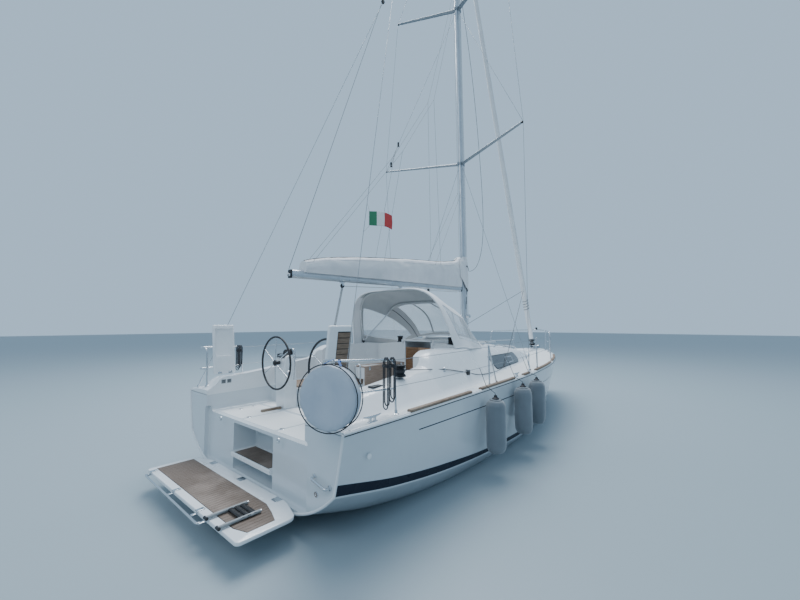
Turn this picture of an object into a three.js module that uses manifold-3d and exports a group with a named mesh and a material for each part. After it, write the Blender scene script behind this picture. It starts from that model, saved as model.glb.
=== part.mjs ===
// Sailing yacht of about ten metres, afloat, built as separate named pieces.
// Millimetres. +X points forward, +Y to port, +Z up. The origin is on the
// centreline, at half the hull's length, on the water.
import * as THREE from 'three';
import { mergeVertices } from 'three/addons/utils/BufferGeometryUtils.js';
import Module from 'manifold-3d';

const wasm = await Module();
wasm.setup();

// Driving dimensions
const HULL_LENGTH = 9970;
const TRANSOM_X = -HULL_LENGTH / 2;
const BOW_X = HULL_LENGTH / 2;
const STEM_RAKE = 0.12;
const SHEER_STERN_Z = 1125;
const SHEER_RISE = 165;
const SHEER_SPRING = 50;
const SKIN_GAP = 0.4;
const MOVING_GAP = 6;

const HELM_SOLE_Z = 880;
const WELL_SOLE_Z = 750;
const SEAT_Z = 1150;
const COCKPIT_HALF = 1220;
const WELL_HALF = 550;
const HELM_FORWARD_X = -3920;
const BULKHEAD_X = -1500;

const MAST_FOOT_X = 312;
const MAST_FOOT_Z = 1752;
const MAST_TOP_Z = 14100;
const MAST_RAKE = 0.0235;
const STAY_TOP_Z = 13450;
const GOOSENECK_X = 128;
const GOOSENECK_Z = 2990;
const BOOM_END_X = -4430;
const BOOM_END_Z = 2865;
const LOWER_SPREADER_Z = 6020;
const UPPER_SPREADER_Z = 9900;
const DRUM_Z = 1620;
const STEM_FITTING_X = 4560;

const WHEEL_X = -4240;
const WHEEL_Y = 620;
const WHEEL_Z = 1570;
const WHEEL_RADIUS = 410;

const RUDDER_X = -4120;
const KEEL_DRAFT = 1850;

// Materials, one for each finish
const finish = (color, roughness, metalness = 0) =>
  new THREE.MeshStandardMaterial({ color, roughness, metalness });
const gelcoat = finish(0xe9ecef, 0.25);
const antifoul = finish(0xb9bec2, 0.6);
const castIron = finish(0x6d7174, 0.7, 0.3);
const stainless = finish(0xc9ccd0, 0.25, 1);
const aluminium = finish(0xb6babd, 0.4, 0.9);
const blackRubber = finish(0x16181a, 0.8);
const teak = finish(0x9a7350, 0.75);
const darkWood = finish(0x6e4526, 0.5);
const canvas = finish(0xe6e6e2, 0.85);
const darkGlass = finish(0x1c2226, 0.1);
const fenderVinyl = finish(0x8d9399, 0.6);
const flagCloth = finish(0x2f7a48, 0.8);

// Turns a three.js geometry into a solid
function toSolid(geometry) {
  const bare = new THREE.BufferGeometry();
  bare.setAttribute('position', geometry.getAttribute('position'));
  if (geometry.index) bare.setIndex(geometry.index);
  const merged = mergeVertices(bare, 1e-3);
  return new wasm.Manifold(new wasm.Mesh({
    numProp: 3,
    vertProperties: new Float32Array(merged.getAttribute('position').array),
    triVerts: new Uint32Array(merged.index.array),
  }));
}

// Turns a solid back into a three.js geometry
function toGeometry(solid) {
  const mesh = solid.getMesh();
  const geometry = new THREE.BufferGeometry();
  geometry.setAttribute('position', new THREE.BufferAttribute(mesh.vertProperties, 3));
  geometry.setIndex(new THREE.BufferAttribute(mesh.triVerts, 1));
  geometry.computeVertexNormals();
  return geometry;
}

const join = (solids) => solids.reduce((sum, solid) => sum.add(solid));

// A box between two corners, each axis given as [low, high]
function box([x0, x1], [y0, y1], [z0, z1]) {
  const geometry = new THREE.BoxGeometry(x1 - x0, y1 - y0, z1 - z0);
  geometry.translate((x0 + x1) / 2, (y0 + y1) / 2, (z0 + z1) / 2);
  return toSolid(geometry);
}

// A straight round rod from one point to another, tapered if two radii are given
function rod(from, to, radius, sides = 8, endRadius = radius) {
  const start = new THREE.Vector3(...from);
  const along = new THREE.Vector3(...to).sub(start);
  const geometry = new THREE.CylinderGeometry(endRadius, radius, along.length(), sides);
  geometry.translate(0, along.length() / 2, 0);
  const up = new THREE.Vector3(0, 1, 0);
  geometry.applyQuaternion(new THREE.Quaternion().setFromUnitVectors(up, along.normalize()));
  geometry.translate(start.x, start.y, start.z);
  return toSolid(geometry);
}

// A closed skin through rings of equal point count, with flat ends
function loft(rings, flatAxes = [1, 2]) {
  const count = rings[0].length;
  const triangles = [];
  for (let ring = 0; ring + 1 < rings.length; ring += 1) {
    for (let point = 0; point < count; point += 1) {
      const next = (point + 1) % count;
      const a = ring * count + point;
      const b = ring * count + next;
      triangles.push(a, b, a + count, b, b + count, a + count);
    }
  }
  const flat = (ring) => ring.map((p) => new THREE.Vector2(p[flatAxes[0]], p[flatAxes[1]]));
  const last = (rings.length - 1) * count;
  for (const [a, b, c] of capTriangles(flat(rings[0]))) triangles.push(a, c, b);
  for (const [a, b, c] of capTriangles(flat(rings[rings.length - 1]))) {
    triangles.push(last + a, last + b, last + c);
  }
  const geometry = new THREE.BufferGeometry();
  geometry.setAttribute('position', new THREE.Float32BufferAttribute(rings.flat(2), 3));
  geometry.setIndex(triangles);
  if (signedVolume(geometry) < 0) flip(geometry);
  return toSolid(geometry);
}

// Triangles of a flat end, turned the way its outline runs
function capTriangles(outline) {
  const forward = THREE.ShapeUtils.area(outline) > 0;
  const ordered = forward ? outline : outline.slice().reverse();
  const count = outline.length;
  return THREE.ShapeUtils.triangulateShape(ordered, []).map((triangle) =>
    (forward ? triangle : triangle.map((index) => count - 1 - index).reverse()));
}

function signedVolume(geometry) {
  const position = geometry.getAttribute('position');
  const corners = [new THREE.Vector3(), new THREE.Vector3(), new THREE.Vector3()];
  let volume = 0;
  for (let i = 0; i < geometry.index.count; i += 3) {
    corners.forEach((corner, k) => corner.fromBufferAttribute(position, geometry.index.getX(i + k)));
    volume += corners[0].dot(corners[1].clone().cross(corners[2])) / 6;
  }
  return volume;
}

function flip(geometry) {
  const index = geometry.index;
  for (let i = 0; i < index.count; i += 3) {
    const second = index.getX(i + 1);
    index.setX(i + 1, index.getX(i + 2));
    index.setX(i + 2, second);
  }
}

// A tube along straight runs whose corners are mitred
function pipe(points, radius, sides = 8) {
  const path = points.map((p) => new THREE.Vector3(...p));
  const runs = path.slice(1).map((p, i) => p.clone().sub(path[i]).normalize());
  let side = Math.abs(runs[0].z) < 0.9 ? new THREE.Vector3(0, 0, 1) : new THREE.Vector3(1, 0, 0);
  side = side.sub(runs[0].clone().multiplyScalar(side.dot(runs[0]))).normalize();
  const rings = path.map((centre, i) => {
    const before = runs[Math.max(i - 1, 0)];
    const after = runs[Math.min(i, runs.length - 1)];
    const mitre = before.clone().add(after).normalize();
    const across = side.clone().cross(before);
    const ring = [];
    for (let k = 0; k < sides; k += 1) {
      const angle = (2 * Math.PI * (k + 0.5)) / sides;
      const spoke = side.clone().multiplyScalar(Math.cos(angle) * radius)
        .addScaledVector(across, Math.sin(angle) * radius);
      const slide = spoke.dot(mitre) / before.dot(mitre);
      spoke.addScaledVector(before, -slide).add(centre);
      ring.push(spoke.toArray());
    }
    side.addScaledVector(after, -side.dot(after)).normalize();
    return ring;
  });
  return loft(rings, flattest(runs[0]));
}

// The two axes across which a direction's end shows best
function flattest(direction) {
  const size = direction.toArray().map(Math.abs);
  const main = size.indexOf(Math.max(...size));
  return [0, 1, 2].filter((axis) => axis !== main);
}

// Points of a path with each inner corner replaced by a short arc
function rounded(points, radius, steps = 3) {
  const path = points.map((p) => new THREE.Vector3(...p));
  const result = [points[0]];
  for (let i = 1; i + 1 < path.length; i += 1) {
    const before = path[i - 1].clone().sub(path[i]);
    const after = path[i + 1].clone().sub(path[i]);
    const reach = Math.min(radius, before.length() * 0.45, after.length() * 0.45);
    const start = path[i].clone().addScaledVector(before.normalize(), reach);
    const end = path[i].clone().addScaledVector(after.normalize(), reach);
    const bend = new THREE.QuadraticBezierCurve3(start, path[i], end);
    for (let k = 0; k <= steps; k += 1) result.push(bend.getPoint(k / steps).toArray());
  }
  result.push(points[points.length - 1]);
  return result;
}

// An outline in X and Z, carried across from one Y to another
function sideProfile(outline, [y0, y1]) {
  return loft([outline.map(([x, z]) => [x, y0, z]), outline.map(([x, z]) => [x, y1, z])], [0, 2]);
}

// An outline in X and Y, carried up from one Z to another
function plan(outline, [z0, z1]) {
  return loft([outline.map(([x, y]) => [x, y, z0]), outline.map(([x, y]) => [x, y, z1])], [0, 1]);
}

// The same solid on the other side of the centreline
const mirrored = (solid) => solid.mirror([0, 1, 0]);
const onSide = (side, solid) => (side > 0 ? solid : mirrored(solid));

// The port half of a solid, with its mirror image joined to it
function symmetric(solid) {
  const { min, max } = solid.boundingBox();
  const half = solid.intersect(box([min[0] - 1, max[0] + 1], [0, max[1] + 1], [min[2] - 1, max[2] + 1]));
  return half.add(mirrored(half));
}

// A turned shape about the Z axis: radius and z of each profile point
function turned(profile, sides = 12) {
  const geometry = new THREE.LatheGeometry(profile.map(([r, z]) => new THREE.Vector2(r, z)), sides);
  geometry.rotateX(Math.PI / 2);
  const volumeSign = toSolid(geometry).volume();
  if (volumeSign > 0) return toSolid(geometry);
  flip(geometry);
  return toSolid(geometry);
}

// The largest connected body of a solid
const largest = (solid) => solid.decompose().reduce((best, body) =>
  (body.volume() > best.volume() ? body : best));

const SIDES = [[1, 'port'], [-1, 'starboard']];
const group = new THREE.Group();

// Adds one named mesh, with its geometry moved so that it turns about its pivot
function add(name, solid, material, pivot = [0, 0, 0]) {
  const geometry = toGeometry(solid);
  geometry.translate(-pivot[0], -pivot[1], -pivot[2]);
  const mesh = new THREE.Mesh(geometry, material);
  mesh.name = name;
  mesh.position.set(...pivot);
  group.add(mesh);
}

// Straight-line value of a table's column at x; rows run from aft to forward
function atX(rows, x, column) {
  let i = 0;
  while (i + 2 < rows.length && rows[i + 1][0] < x) i += 1;
  const share = (x - rows[i][0]) / (rows[i + 1][0] - rows[i][0]);
  return rows[i][column] + (rows[i + 1][column] - rows[i][column]) * share;
}

const sheerZ = (x) => {
  const t = (x - TRANSOM_X) / HULL_LENGTH;
  return SHEER_STERN_Z + SHEER_RISE * t + SHEER_SPRING * t * t;
};

// Hull sections: x, half breadth at the sheer, half breadth and height of the chine,
// height of the bottom on the centreline, fullness of the bottom
const HULL_SECTIONS = [
  [-4985, 1840, 1715, 530, 110, 4.0],
  [-4200, 1860, 1755, 390, -70, 5.0],
  [-3300, 1868, 1770, 280, -230, 5.0],
  [-2000, 1868, 1750, 185, -370, 4.5],
  [-600, 1840, 1700, 140, -450, 4.0],
  [700, 1730, 1540, 135, -465, 3.2],
  [2000, 1490, 1220, 145, -420, 2.5],
  [3200, 1110, 820, 165, -330, 2.0],
  [4150, 660, 440, 190, -210, 1.6],
  [4700, 300, 185, 215, -90, 1.4],
  [4985, 36, 22, 240, 20, 1.2],
];
const BOTTOM_STEPS = [0, 0.36, 0.64, 0.84, 0.95, 1];
const STEM_FROM_X = 3200;

// How far a point stands aft of its section, as the raked stem asks
function rakeAt(x, z) {
  if (x <= STEM_FROM_X) return 0;
  const share = (x - STEM_FROM_X) / (BOW_X - STEM_FROM_X);
  return STEM_RAKE * (z - sheerZ(x)) * share;
}

function hullSolid() {
  const rings = HULL_SECTIONS.map(([x, sheer, chine, chineZ, keelZ, fullness]) => {
    const half = BOTTOM_STEPS.map((step) => [chine * step, keelZ + (chineZ - keelZ) * step ** fullness]);
    half.push([sheer, sheerZ(x)]);
    const port = half.map(([y, z]) => [x + rakeAt(x, z), y, z]);
    const starboard = half.slice(1).reverse().map(([y, z]) => [x + rakeAt(x, z), -y, z]);
    return [...port, ...starboard];
  });
  return symmetric(loft(rings));
}

// Deck sections: x, y and z of the side deck's inner edge, of the wall's top and of
// the shoulder, then z of the crown
const DECK_SECTIONS = [
  [-4985, 1700, 1162, 1610, 1175, 1450, 1185, 1185],
  [-4890, 1700, 1165, 1560, 1215, 1420, 1235, 1235],
  [-4770, 1700, 1168, 1500, 1335, 1400, 1358, 1358],
  [-4500, 1700, 1174, 1485, 1350, 1390, 1374, 1374],
  [-3300, 1690, 1195, 1470, 1480, 1370, 1525, 1525],
  [-3130, 1680, 1198, 1460, 1500, 1360, 1550, 1550],
  [-3010, 1660, 1200, 1435, 1570, 1330, 1690, 1690],
  [-2820, 1640, 1205, 1400, 1620, 1290, 1765, 1765],
  [-1800, 1560, 1222, 1330, 1600, 1230, 1765, 1800],
  [-1450, 1480, 1228, 1250, 1560, 1130, 1735, 1808],
  [-700, 1300, 1240, 1130, 1545, 1010, 1690, 1780],
  [250, 1180, 1262, 1040, 1545, 920, 1650, 1750],
  [1200, 1020, 1285, 900, 1500, 780, 1575, 1660],
  [2000, 800, 1305, 700, 1420, 600, 1470, 1540],
  [2600, 560, 1325, 480, 1365, 420, 1385, 1430],
  [2950, 400, 1335, 350, 1345, 300, 1352, 1372],
  [4150, 250, 1350, 200, 1354, 150, 1358, 1362],
  [4985, 16, 1366, 12, 1367, 6, 1368, 1368],
];
const DECK_EDGE_LIP = 6;
const DECK_EDGE_HEIGHT = 28;

function deckSolid(hull) {
  const rings = DECK_SECTIONS.map(([x, baseY, baseZ, wallY, wallZ, shoulderY, shoulderZ, crownZ]) => {
    const sheer = atX(HULL_SECTIONS, x, 1);
    const half = [
      [sheer - 2, sheerZ(x) - DECK_EDGE_LIP],
      [sheer - 2, sheerZ(x) + DECK_EDGE_HEIGHT * 0.6],
      [Math.max(sheer - 14, 20), sheerZ(x) + DECK_EDGE_HEIGHT],
      [baseY, baseZ],
      [wallY, wallZ],
      [shoulderY, shoulderZ],
    ];
    const port = half.map(([y, z]) => [x, y, z]);
    const starboard = half.slice().reverse().map(([y, z]) => [x, -y, z]);
    return [...port, [x, 0, crownZ], ...starboard];
  });
  return symmetric(loft(rings)).subtract(hull.translate([0, 0, SKIN_GAP])).subtract(hull);
}

// Openings that both the hull and the deck share: cockpit, wells and companionway
const WING_HALF = 1080;
const WING_END_X = -3020;
const HATCHWAY_HALF = 320;
const HATCHWAY_FORWARD_X = -760;
const HATCHWAY_FLOOR_Z = -180;
const DOOR_SILL_Z = 1010;
const ABOVE_ALL_Z = 2500;

function cockpitVoid() {
  const across = [-COCKPIT_HALF, COCKPIT_HALF];
  const helm = box([TRANSOM_X - 200, HELM_FORWARD_X], across, [HELM_SOLE_Z, ABOVE_ALL_Z]);
  const seats = box([HELM_FORWARD_X - 1, WING_END_X], across, [SEAT_Z, ABOVE_ALL_Z]);
  const between = box([WING_END_X - 1, BULKHEAD_X], [-WING_HALF, WING_HALF], [SEAT_Z, ABOVE_ALL_Z]);
  const well = box([HELM_FORWARD_X - 1, BULKHEAD_X], [-WELL_HALF, WELL_HALF], [WELL_SOLE_Z, ABOVE_ALL_Z]);
  return join([helm, seats, between, well]);
}

function hatchwayVoid() {
  const doorway = box([BULKHEAD_X - 20, HATCHWAY_FORWARD_X], [-HATCHWAY_HALF, HATCHWAY_HALF],
    [DOOR_SILL_Z, ABOVE_ALL_Z]);
  const below = box([BULKHEAD_X + 60, HATCHWAY_FORWARD_X], [-HATCHWAY_HALF, HATCHWAY_HALF],
    [HATCHWAY_FLOOR_Z, DOOR_SILL_Z + 1]);
  return doorway.add(below);
}

// Recess in the transom for the folded platform, and the step's niche above it
const PLATFORM_HALF = 1255;
const PLATFORM_LENGTH = 700;
const PLATFORM_HINGE_X = TRANSOM_X - 5;
const PLATFORM_HINGE_Z = 245;
const PLATFORM_THICKNESS = 42;
const RECESS_DEPTH = 70;
const STEP_TOP_Z = 460;
const STEP_HALF = 495;

function transomVoid() {
  const behindPlatform = box([TRANSOM_X - 50, TRANSOM_X + RECESS_DEPTH],
    [-PLATFORM_HALF - 12, PLATFORM_HALF + 12], [PLATFORM_HINGE_Z - 40, HELM_SOLE_Z + 80]);
  const niche = box([TRANSOM_X - 50, TRANSOM_X + 400], [-STEP_HALF, STEP_HALF],
    [STEP_TOP_Z, HELM_SOLE_Z - 40]);
  const underStep = box([TRANSOM_X - 50, TRANSOM_X + 330], [-STEP_HALF, STEP_HALF],
    [PLATFORM_HINGE_Z, STEP_TOP_Z - 65]);
  return join([behindPlatform, niche, underStep]);
}

const SEA_HOOD = { aft: -830, forward: -100, half: 420, top: 1890 };
const HATCH = { aft: -1545, forward: -850, half: 352, low: 1816, high: 1842 };
const HATCH_TRAVEL = 620;

// Low housing ahead of the companionway that the sliding hatch runs under
function seaHood() {
  const outside = box([SEA_HOOD.aft, SEA_HOOD.forward], [-SEA_HOOD.half, SEA_HOOD.half],
    [1700, SEA_HOOD.top]);
  const slot = box([SEA_HOOD.aft - 20, HATCH.forward + HATCH_TRAVEL + 20],
    [-HATCH.half - MOVING_GAP, HATCH.half + MOVING_GAP], [HATCH.low - MOVING_GAP, HATCH.high + MOVING_GAP]);
  return [outside, slot];
}

// Pockets in the deck for the flush hatches and the anchor locker
const DECK_HATCHES = {
  saloon_hatch: { x: [900, 1420], half: 260, low: 1560, high: 1722 },
  fore_hatch: { x: [2080, 2480], half: 200, low: 1400, high: 1552 },
};
const ANCHOR_LOCKER = { x: [3520, 4100], aftHalf: 300, forwardHalf: 190, floor: 1000 };
// The lid is wider aft and swings forward as it opens, so its sides need more room than its ends
const LID_SIDE_GAP = 16;

function anchorLockerOutline(endMargin, sideMargin) {
  const { x, aftHalf, forwardHalf } = ANCHOR_LOCKER;
  return [[x[0] - endMargin, -aftHalf - sideMargin], [x[1] + endMargin, -forwardHalf - sideMargin],
    [x[1] + endMargin, forwardHalf + sideMargin], [x[0] - endMargin, aftHalf + sideMargin]];
}

const RUDDER_STOCK_RADIUS = 32;

const plainHull = hullSolid();
const rudderBore = rod([RUDDER_X, 0, -400], [RUDDER_X, 0, 320], RUDDER_STOCK_RADIUS + MOVING_GAP, 12);
const anchorWell = plan(anchorLockerOutline(-30, -30), [ANCHOR_LOCKER.floor, ABOVE_ALL_Z]);
const hull = plainHull.subtract(cockpitVoid()).subtract(hatchwayVoid()).subtract(transomVoid())
  .subtract(rudderBore).subtract(anchorWell);
add('hull', hull, gelcoat);

const plainDeck = deckSolid(plainHull);
const [seaHoodOutside, seaHoodSlot] = seaHood();
let deck = plainDeck.add(seaHoodOutside).subtract(seaHoodSlot).subtract(cockpitVoid())
  .subtract(hatchwayVoid());
const anchorLid = plan(anchorLockerOutline(0, 0), [1200, ABOVE_ALL_Z]);
const lidOpening = plan(anchorLockerOutline(MOVING_GAP, LID_SIDE_GAP), [sheerZ(3800) + 12, ABOVE_ALL_Z]);
deck = largest(deck.subtract(lidOpening).subtract(anchorWell));
add('deck', deck, gelcoat);

// Anchor locker lid: the slice of deck that its opening leaves, hinged above its after edge
const lidFloor = sheerZ(3800) + 18;
const LID_HINGE = [ANCHOR_LOCKER.x[0] - MOVING_GAP / 2, 0, 1376];
const lidSlice = box([3000, 4500], [-600, 600], [lidFloor, ABOVE_ALL_Z]);
add('anchor_locker_lid', plainDeck.intersect(anchorLid).intersect(lidSlice), gelcoat, LID_HINGE);

// Deck hatches: a tinted pane in a frame, standing on the coachroof
for (const [name, { x, half, high }] of Object.entries(DECK_HATCHES)) {
  const crown = Math.max(atX(DECK_SECTIONS, x[0], 7), atX(DECK_SECTIONS, x[1], 7));
  const pane = box(x, [-half, half], [crown + MOVING_GAP, Math.max(high, crown + 40)]);
  add(name, pane, darkGlass, [x[1], 0, crown]);
}

// Sliding companionway hatch
add('companionway_hatch', box([HATCH.aft, HATCH.forward], [-HATCH.half, HATCH.half],
  [HATCH.low, HATCH.high]), darkGlass);

// Companionway doors, hinged on their outer edges
const DOOR = {
  x: [BULKHEAD_X - 12, BULKHEAD_X + 8], inner: 5, outer: HATCHWAY_HALF - MOVING_GAP, top: 1700,
};
for (const [side, name] of [[1, 'companionway_door_port'], [-1, 'companionway_door_starboard']]) {
  const ys = [DOOR.inner, DOOR.outer].map((y) => y * side).sort((a, b) => a - b);
  add(name, box(DOOR.x, ys, [DOOR_SILL_Z + MOVING_GAP, DOOR.top]), darkWood,
    [DOOR.x[0], DOOR.outer * side, DOOR_SILL_Z]);
}

// Companionway ladder in front of the engine
const ENGINE = { x: [-1360, -780], half: 230, z: [-170, 380] };
const LADDER_STEPS = [[-1405, 640], [-1385, 420]];
const stepBoards = LADDER_STEPS.map(([x, z]) => box([x - 30, x + 170], [-250, 250], [z, z + 25]));
const ladderSides = [-250, 230].map((y) => box([-1432, -1376], [y, y + 20], [HATCHWAY_FLOOR_Z + 1, 760]));
add('companionway_steps', join([...stepBoards, ...ladderSides]), darkWood);
add('engine', box(ENGINE.x, [-ENGINE.half, ENGINE.half], ENGINE.z), castIron);

// Fin keel with a bulb. Fin sections: z, leading x, trailing x, half thickness
const FIN_SECTIONS = [[-330, 760, -620, 90], [-1000, 690, -480, 75], [-1650, 620, -360, 70]];
const FIN_OUTLINE = [[0, 0], [0.08, 0.6], [0.3, 1], [0.65, 0.7], [1, 0.06]];
const BULB = { nose: 900, tail: -900, z: -1700, radius: 150 };

function finSolid(sections, outline) {
  return loft(sections.map(([z, lead, trail, half]) => {
    const side = outline.map(([share, width]) => [lead + (trail - lead) * share, width * half]);
    const port = side.map(([x, y]) => [x, y, z]);
    const starboard = side.slice(1).reverse().map(([x, y]) => [x, -y, z]);
    return [...port, ...starboard];
  }), [0, 1]);
}

function bulbSolid({ nose, tail, z, radius }) {
  const shape = [[0, 0.02], [0.06, 0.5], [0.25, 0.95], [0.45, 1], [0.75, 0.62], [1, 0.04]];
  const rings = shape.map(([share, width]) => {
    const x = nose + (tail - nose) * share;
    return Array.from({ length: 12 }, (_, k) => {
      const angle = (2 * Math.PI * k) / 12;
      return [x, Math.cos(angle) * radius * width * 1.15, z + Math.sin(angle) * radius * width];
    });
  });
  return loft(rings);
}

const keel = finSolid(FIN_SECTIONS, FIN_OUTLINE).add(bulbSolid(BULB));
add('keel', keel.subtract(plainHull.translate([0, 0, -SKIN_GAP])), castIron);

// Rudder: spade blade on its stock. Blade sections: z, leading x, trailing x, half thickness
const RUDDER_SECTIONS = [[-215, -3990, -4500, 42], [-900, -3985, -4450, 38], [-1640, -4010, -4340, 26]];
const blade = finSolid(RUDDER_SECTIONS, FIN_OUTLINE);
const stock = rod([RUDDER_X, 0, -400], [RUDDER_X, 0, 300], RUDDER_STOCK_RADIUS, 12);
add('rudder', blade.add(stock), antifoul, [RUDDER_X, 0, -215]);

// Saildrive leg with its propeller
const DRIVE_SECTIONS = [[-330, -1330, -1640, 62], [-760, -1380, -1640, 45], [-1010, -1420, -1600, 20]];
const PROPELLER = { x: -1745, z: -830, hub: 42, blade: 195, count: 3 };
const driveTorpedo = rod([-1380, 0, PROPELLER.z], [-1700, 0, PROPELLER.z], 52, 12);
const drive = finSolid(DRIVE_SECTIONS, FIN_OUTLINE).add(driveTorpedo);
add('saildrive', drive.subtract(plainHull.translate([0, 0, -SKIN_GAP])), aluminium);

function propellerSolid({ hub, blade: reach, count }) {
  const parts = [rod([38, 0, 0], [-55, 0, 0], hub, 12, hub * 0.5)];
  for (let k = 0; k < count; k += 1) {
    const wing = new THREE.BoxGeometry(12, 95, reach - 10);
    wing.translate(0, 0, reach / 2 + 5);
    wing.rotateZ(0.6);
    wing.rotateX((2 * Math.PI * k) / count);
    parts.push(toSolid(wing));
  }
  return join(parts);
}
add('propeller', propellerSolid(PROPELLER).translate([PROPELLER.x, 0, PROPELLER.z]), aluminium,
  [PROPELLER.x, 0, PROPELLER.z]);

// Drop-down bathing platform and its folded ladder
const platformTop = PLATFORM_HINGE_Z + PLATFORM_THICKNESS / 2;
const PLATFORM_AFT_X = PLATFORM_HINGE_X - PLATFORM_LENGTH;
const PLATFORM_CORNER = 110;
const platformOutline = [
  [PLATFORM_HINGE_X, -PLATFORM_HALF + 330], [PLATFORM_HINGE_X, PLATFORM_HALF - 330],
  [PLATFORM_HINGE_X - PLATFORM_CORNER, PLATFORM_HALF], [PLATFORM_AFT_X + 30, PLATFORM_HALF],
  [PLATFORM_AFT_X, PLATFORM_HALF - 30], [PLATFORM_AFT_X, -PLATFORM_HALF + 30],
  [PLATFORM_AFT_X + 30, -PLATFORM_HALF], [PLATFORM_HINGE_X - PLATFORM_CORNER, -PLATFORM_HALF],
];
add('swim_platform', plan(platformOutline, [platformTop - PLATFORM_THICKNESS, platformTop]), gelcoat,
  [PLATFORM_HINGE_X, 0, PLATFORM_HINGE_Z]);

const LADDER = {
  ys: [-935, -665], z: platformTop + 24, aft: PLATFORM_AFT_X - 22, forward: -5300, radius: 16,
};
const ladderRails = LADDER.ys.map((y) => rod([LADDER.aft, y, LADDER.z], [LADDER.forward, y, LADDER.z],
  LADDER.radius, 8));
const LADDER_TREAD_XS = [-5480, -5420, -5360];
const treads = [LADDER.aft, ...LADDER_TREAD_XS].map((x) =>
  rod([x, LADDER.ys[0], LADDER.z], [x, LADDER.ys[1], LADDER.z], LADDER.radius - 1, 8));
add('swim_ladder', join([...ladderRails, ...treads]), stainless, [LADDER.aft, 0, LADDER.z]);

// Steering pedestals and wheels
function pedestalSolid() {
  const outline = [[-3940, HELM_SOLE_Z + SKIN_GAP], [-3940, 1330], [-3990, 1640], [-4080, 1690],
    [-4150, 1660], [-4175, 1400], [-4150, HELM_SOLE_Z + SKIN_GAP]];
  return sideProfile(outline, [-125, 125]);
}

function wheelSolid() {
  const rim = new THREE.TorusGeometry(WHEEL_RADIUS - 15, 15, 8, 36);
  rim.rotateY(Math.PI / 2);
  const parts = [toSolid(rim), rod([-25, 0, 0], [38, 0, 0], 45, 12)];
  const SPOKES = 6;
  for (let k = 0; k < SPOKES; k += 1) {
    const angle = (2 * Math.PI * (k + 0.5)) / SPOKES;
    const reach = WHEEL_RADIUS - 15;
    parts.push(rod([0, 0, 0], [0, Math.cos(angle) * reach, Math.sin(angle) * reach], 7, 6));
  }
  return join(parts);
}

for (const [side, suffix] of SIDES) {
  const y = side * WHEEL_Y;
  add(`pedestal_${suffix}`, pedestalSolid().translate([0, y, 0]), gelcoat);
  add(`wheel_${suffix}`, wheelSolid().translate([WHEEL_X, y, WHEEL_Z]), blackRubber, [WHEEL_X, y, WHEEL_Z]);
}

// Helm seats, folded up on their outer edges and leaning outboard
const HELM_SEAT = { x: [-4860, -4530], hingeY: 1310, hingeZ: 1400, thickness: 45, length: 755, lean: 7.5 };
for (const [side, suffix] of SIDES) {
  const ys = [0, HELM_SEAT.thickness * side].sort((a, b) => a - b);
  const hinge = [0, HELM_SEAT.hingeY * side, HELM_SEAT.hingeZ];
  const seat = box(HELM_SEAT.x, ys, [0, HELM_SEAT.length]).rotate([-HELM_SEAT.lean * side, 0, 0]);
  add(`helm_seat_${suffix}`, seat.translate(hinge), gelcoat, hinge);
}

// Slatted lids on the cockpit seats
const SEAT_LID = { x: [-3860, -3060], inner: 585, outer: 1165, thickness: 26 };
for (const [side, suffix] of SIDES) {
  const ys = [SEAT_LID.inner, SEAT_LID.outer].map((y) => y * side).sort((a, b) => a - b);
  const low = SEAT_Z + MOVING_GAP;
  add(`seat_lid_${suffix}`, box(SEAT_LID.x, ys, [low, low + SEAT_LID.thickness]), teak,
    [0, SEAT_LID.outer * side, low]);
}

// Cockpit table with two drop leaves
const TABLE = { x: [-3080, -2080], half: 105, top: 1470, leafDrop: 330, leafThickness: 22 };
const tableBody = box(TABLE.x, [-TABLE.half, TABLE.half], [TABLE.top - 210, TABLE.top]);
const tableLegs = [TABLE.x[0] + 120, TABLE.x[1] - 220].map((x) =>
  box([x, x + 100], [-50, 50], [WELL_SOLE_Z + SKIN_GAP, TABLE.top - 200]));
add('cockpit_table', join([tableBody, ...tableLegs]), gelcoat);
for (const [side, suffix] of SIDES) {
  const near = TABLE.half + MOVING_GAP;
  const ys = [near, near + TABLE.leafThickness].map((y) => y * side).sort((a, b) => a - b);
  add(`table_leaf_${suffix}`, box(TABLE.x, ys, [TABLE.top - TABLE.leafDrop, TABLE.top]), teak,
    [0, (near + TABLE.leafThickness) * side, TABLE.top]);
}

// What stands on the deck is cut to its surface
const clearOfDeck = (solid) => largest(solid.subtract(plainDeck.translate([0, 0, SKIN_GAP]))
  .subtract(plainDeck).subtract(plainHull));

// Mast and standing rigging
const mastX = (z) => MAST_FOOT_X - MAST_RAKE * (z - MAST_FOOT_Z);
const mastSection = (z, length, width) => Array.from({ length: 12 }, (_, k) => {
  const angle = (2 * Math.PI * k) / 12;
  return [mastX(z) + Math.cos(angle) * length, Math.sin(angle) * width, z];
});
const MAST_HALF = { length: 92, width: 58 };
const mastTube = loft([
  mastSection(MAST_FOOT_Z - 60, MAST_HALF.length, MAST_HALF.width),
  mastSection(11000, MAST_HALF.length, MAST_HALF.width),
  mastSection(MAST_TOP_Z, MAST_HALF.length * 0.6, MAST_HALF.width * 0.7),
], [0, 1]);
const mastHead = box([mastX(MAST_TOP_Z) - 210, mastX(MAST_TOP_Z) + 130], [-28, 28],
  [MAST_TOP_Z - 40, MAST_TOP_Z + 30]);
const mastFootPlate = box([MAST_FOOT_X - 150, MAST_FOOT_X + 150], [-110, 110], [1700, MAST_FOOT_Z + 22]);
const stayFoot = new THREE.Vector3(STEM_FITTING_X, 0, 1400);
const stayHead = new THREE.Vector3(mastX(STAY_TOP_Z) + 60, 0, STAY_TOP_Z);
const alongStay = (distance) => stayFoot.clone()
  .addScaledVector(stayHead.clone().sub(stayFoot).normalize(), distance).toArray();
const STAY_LENGTH = stayHead.distanceTo(stayFoot);
const DRUM = { from: 110, to: 270, radius: 95 };
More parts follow.
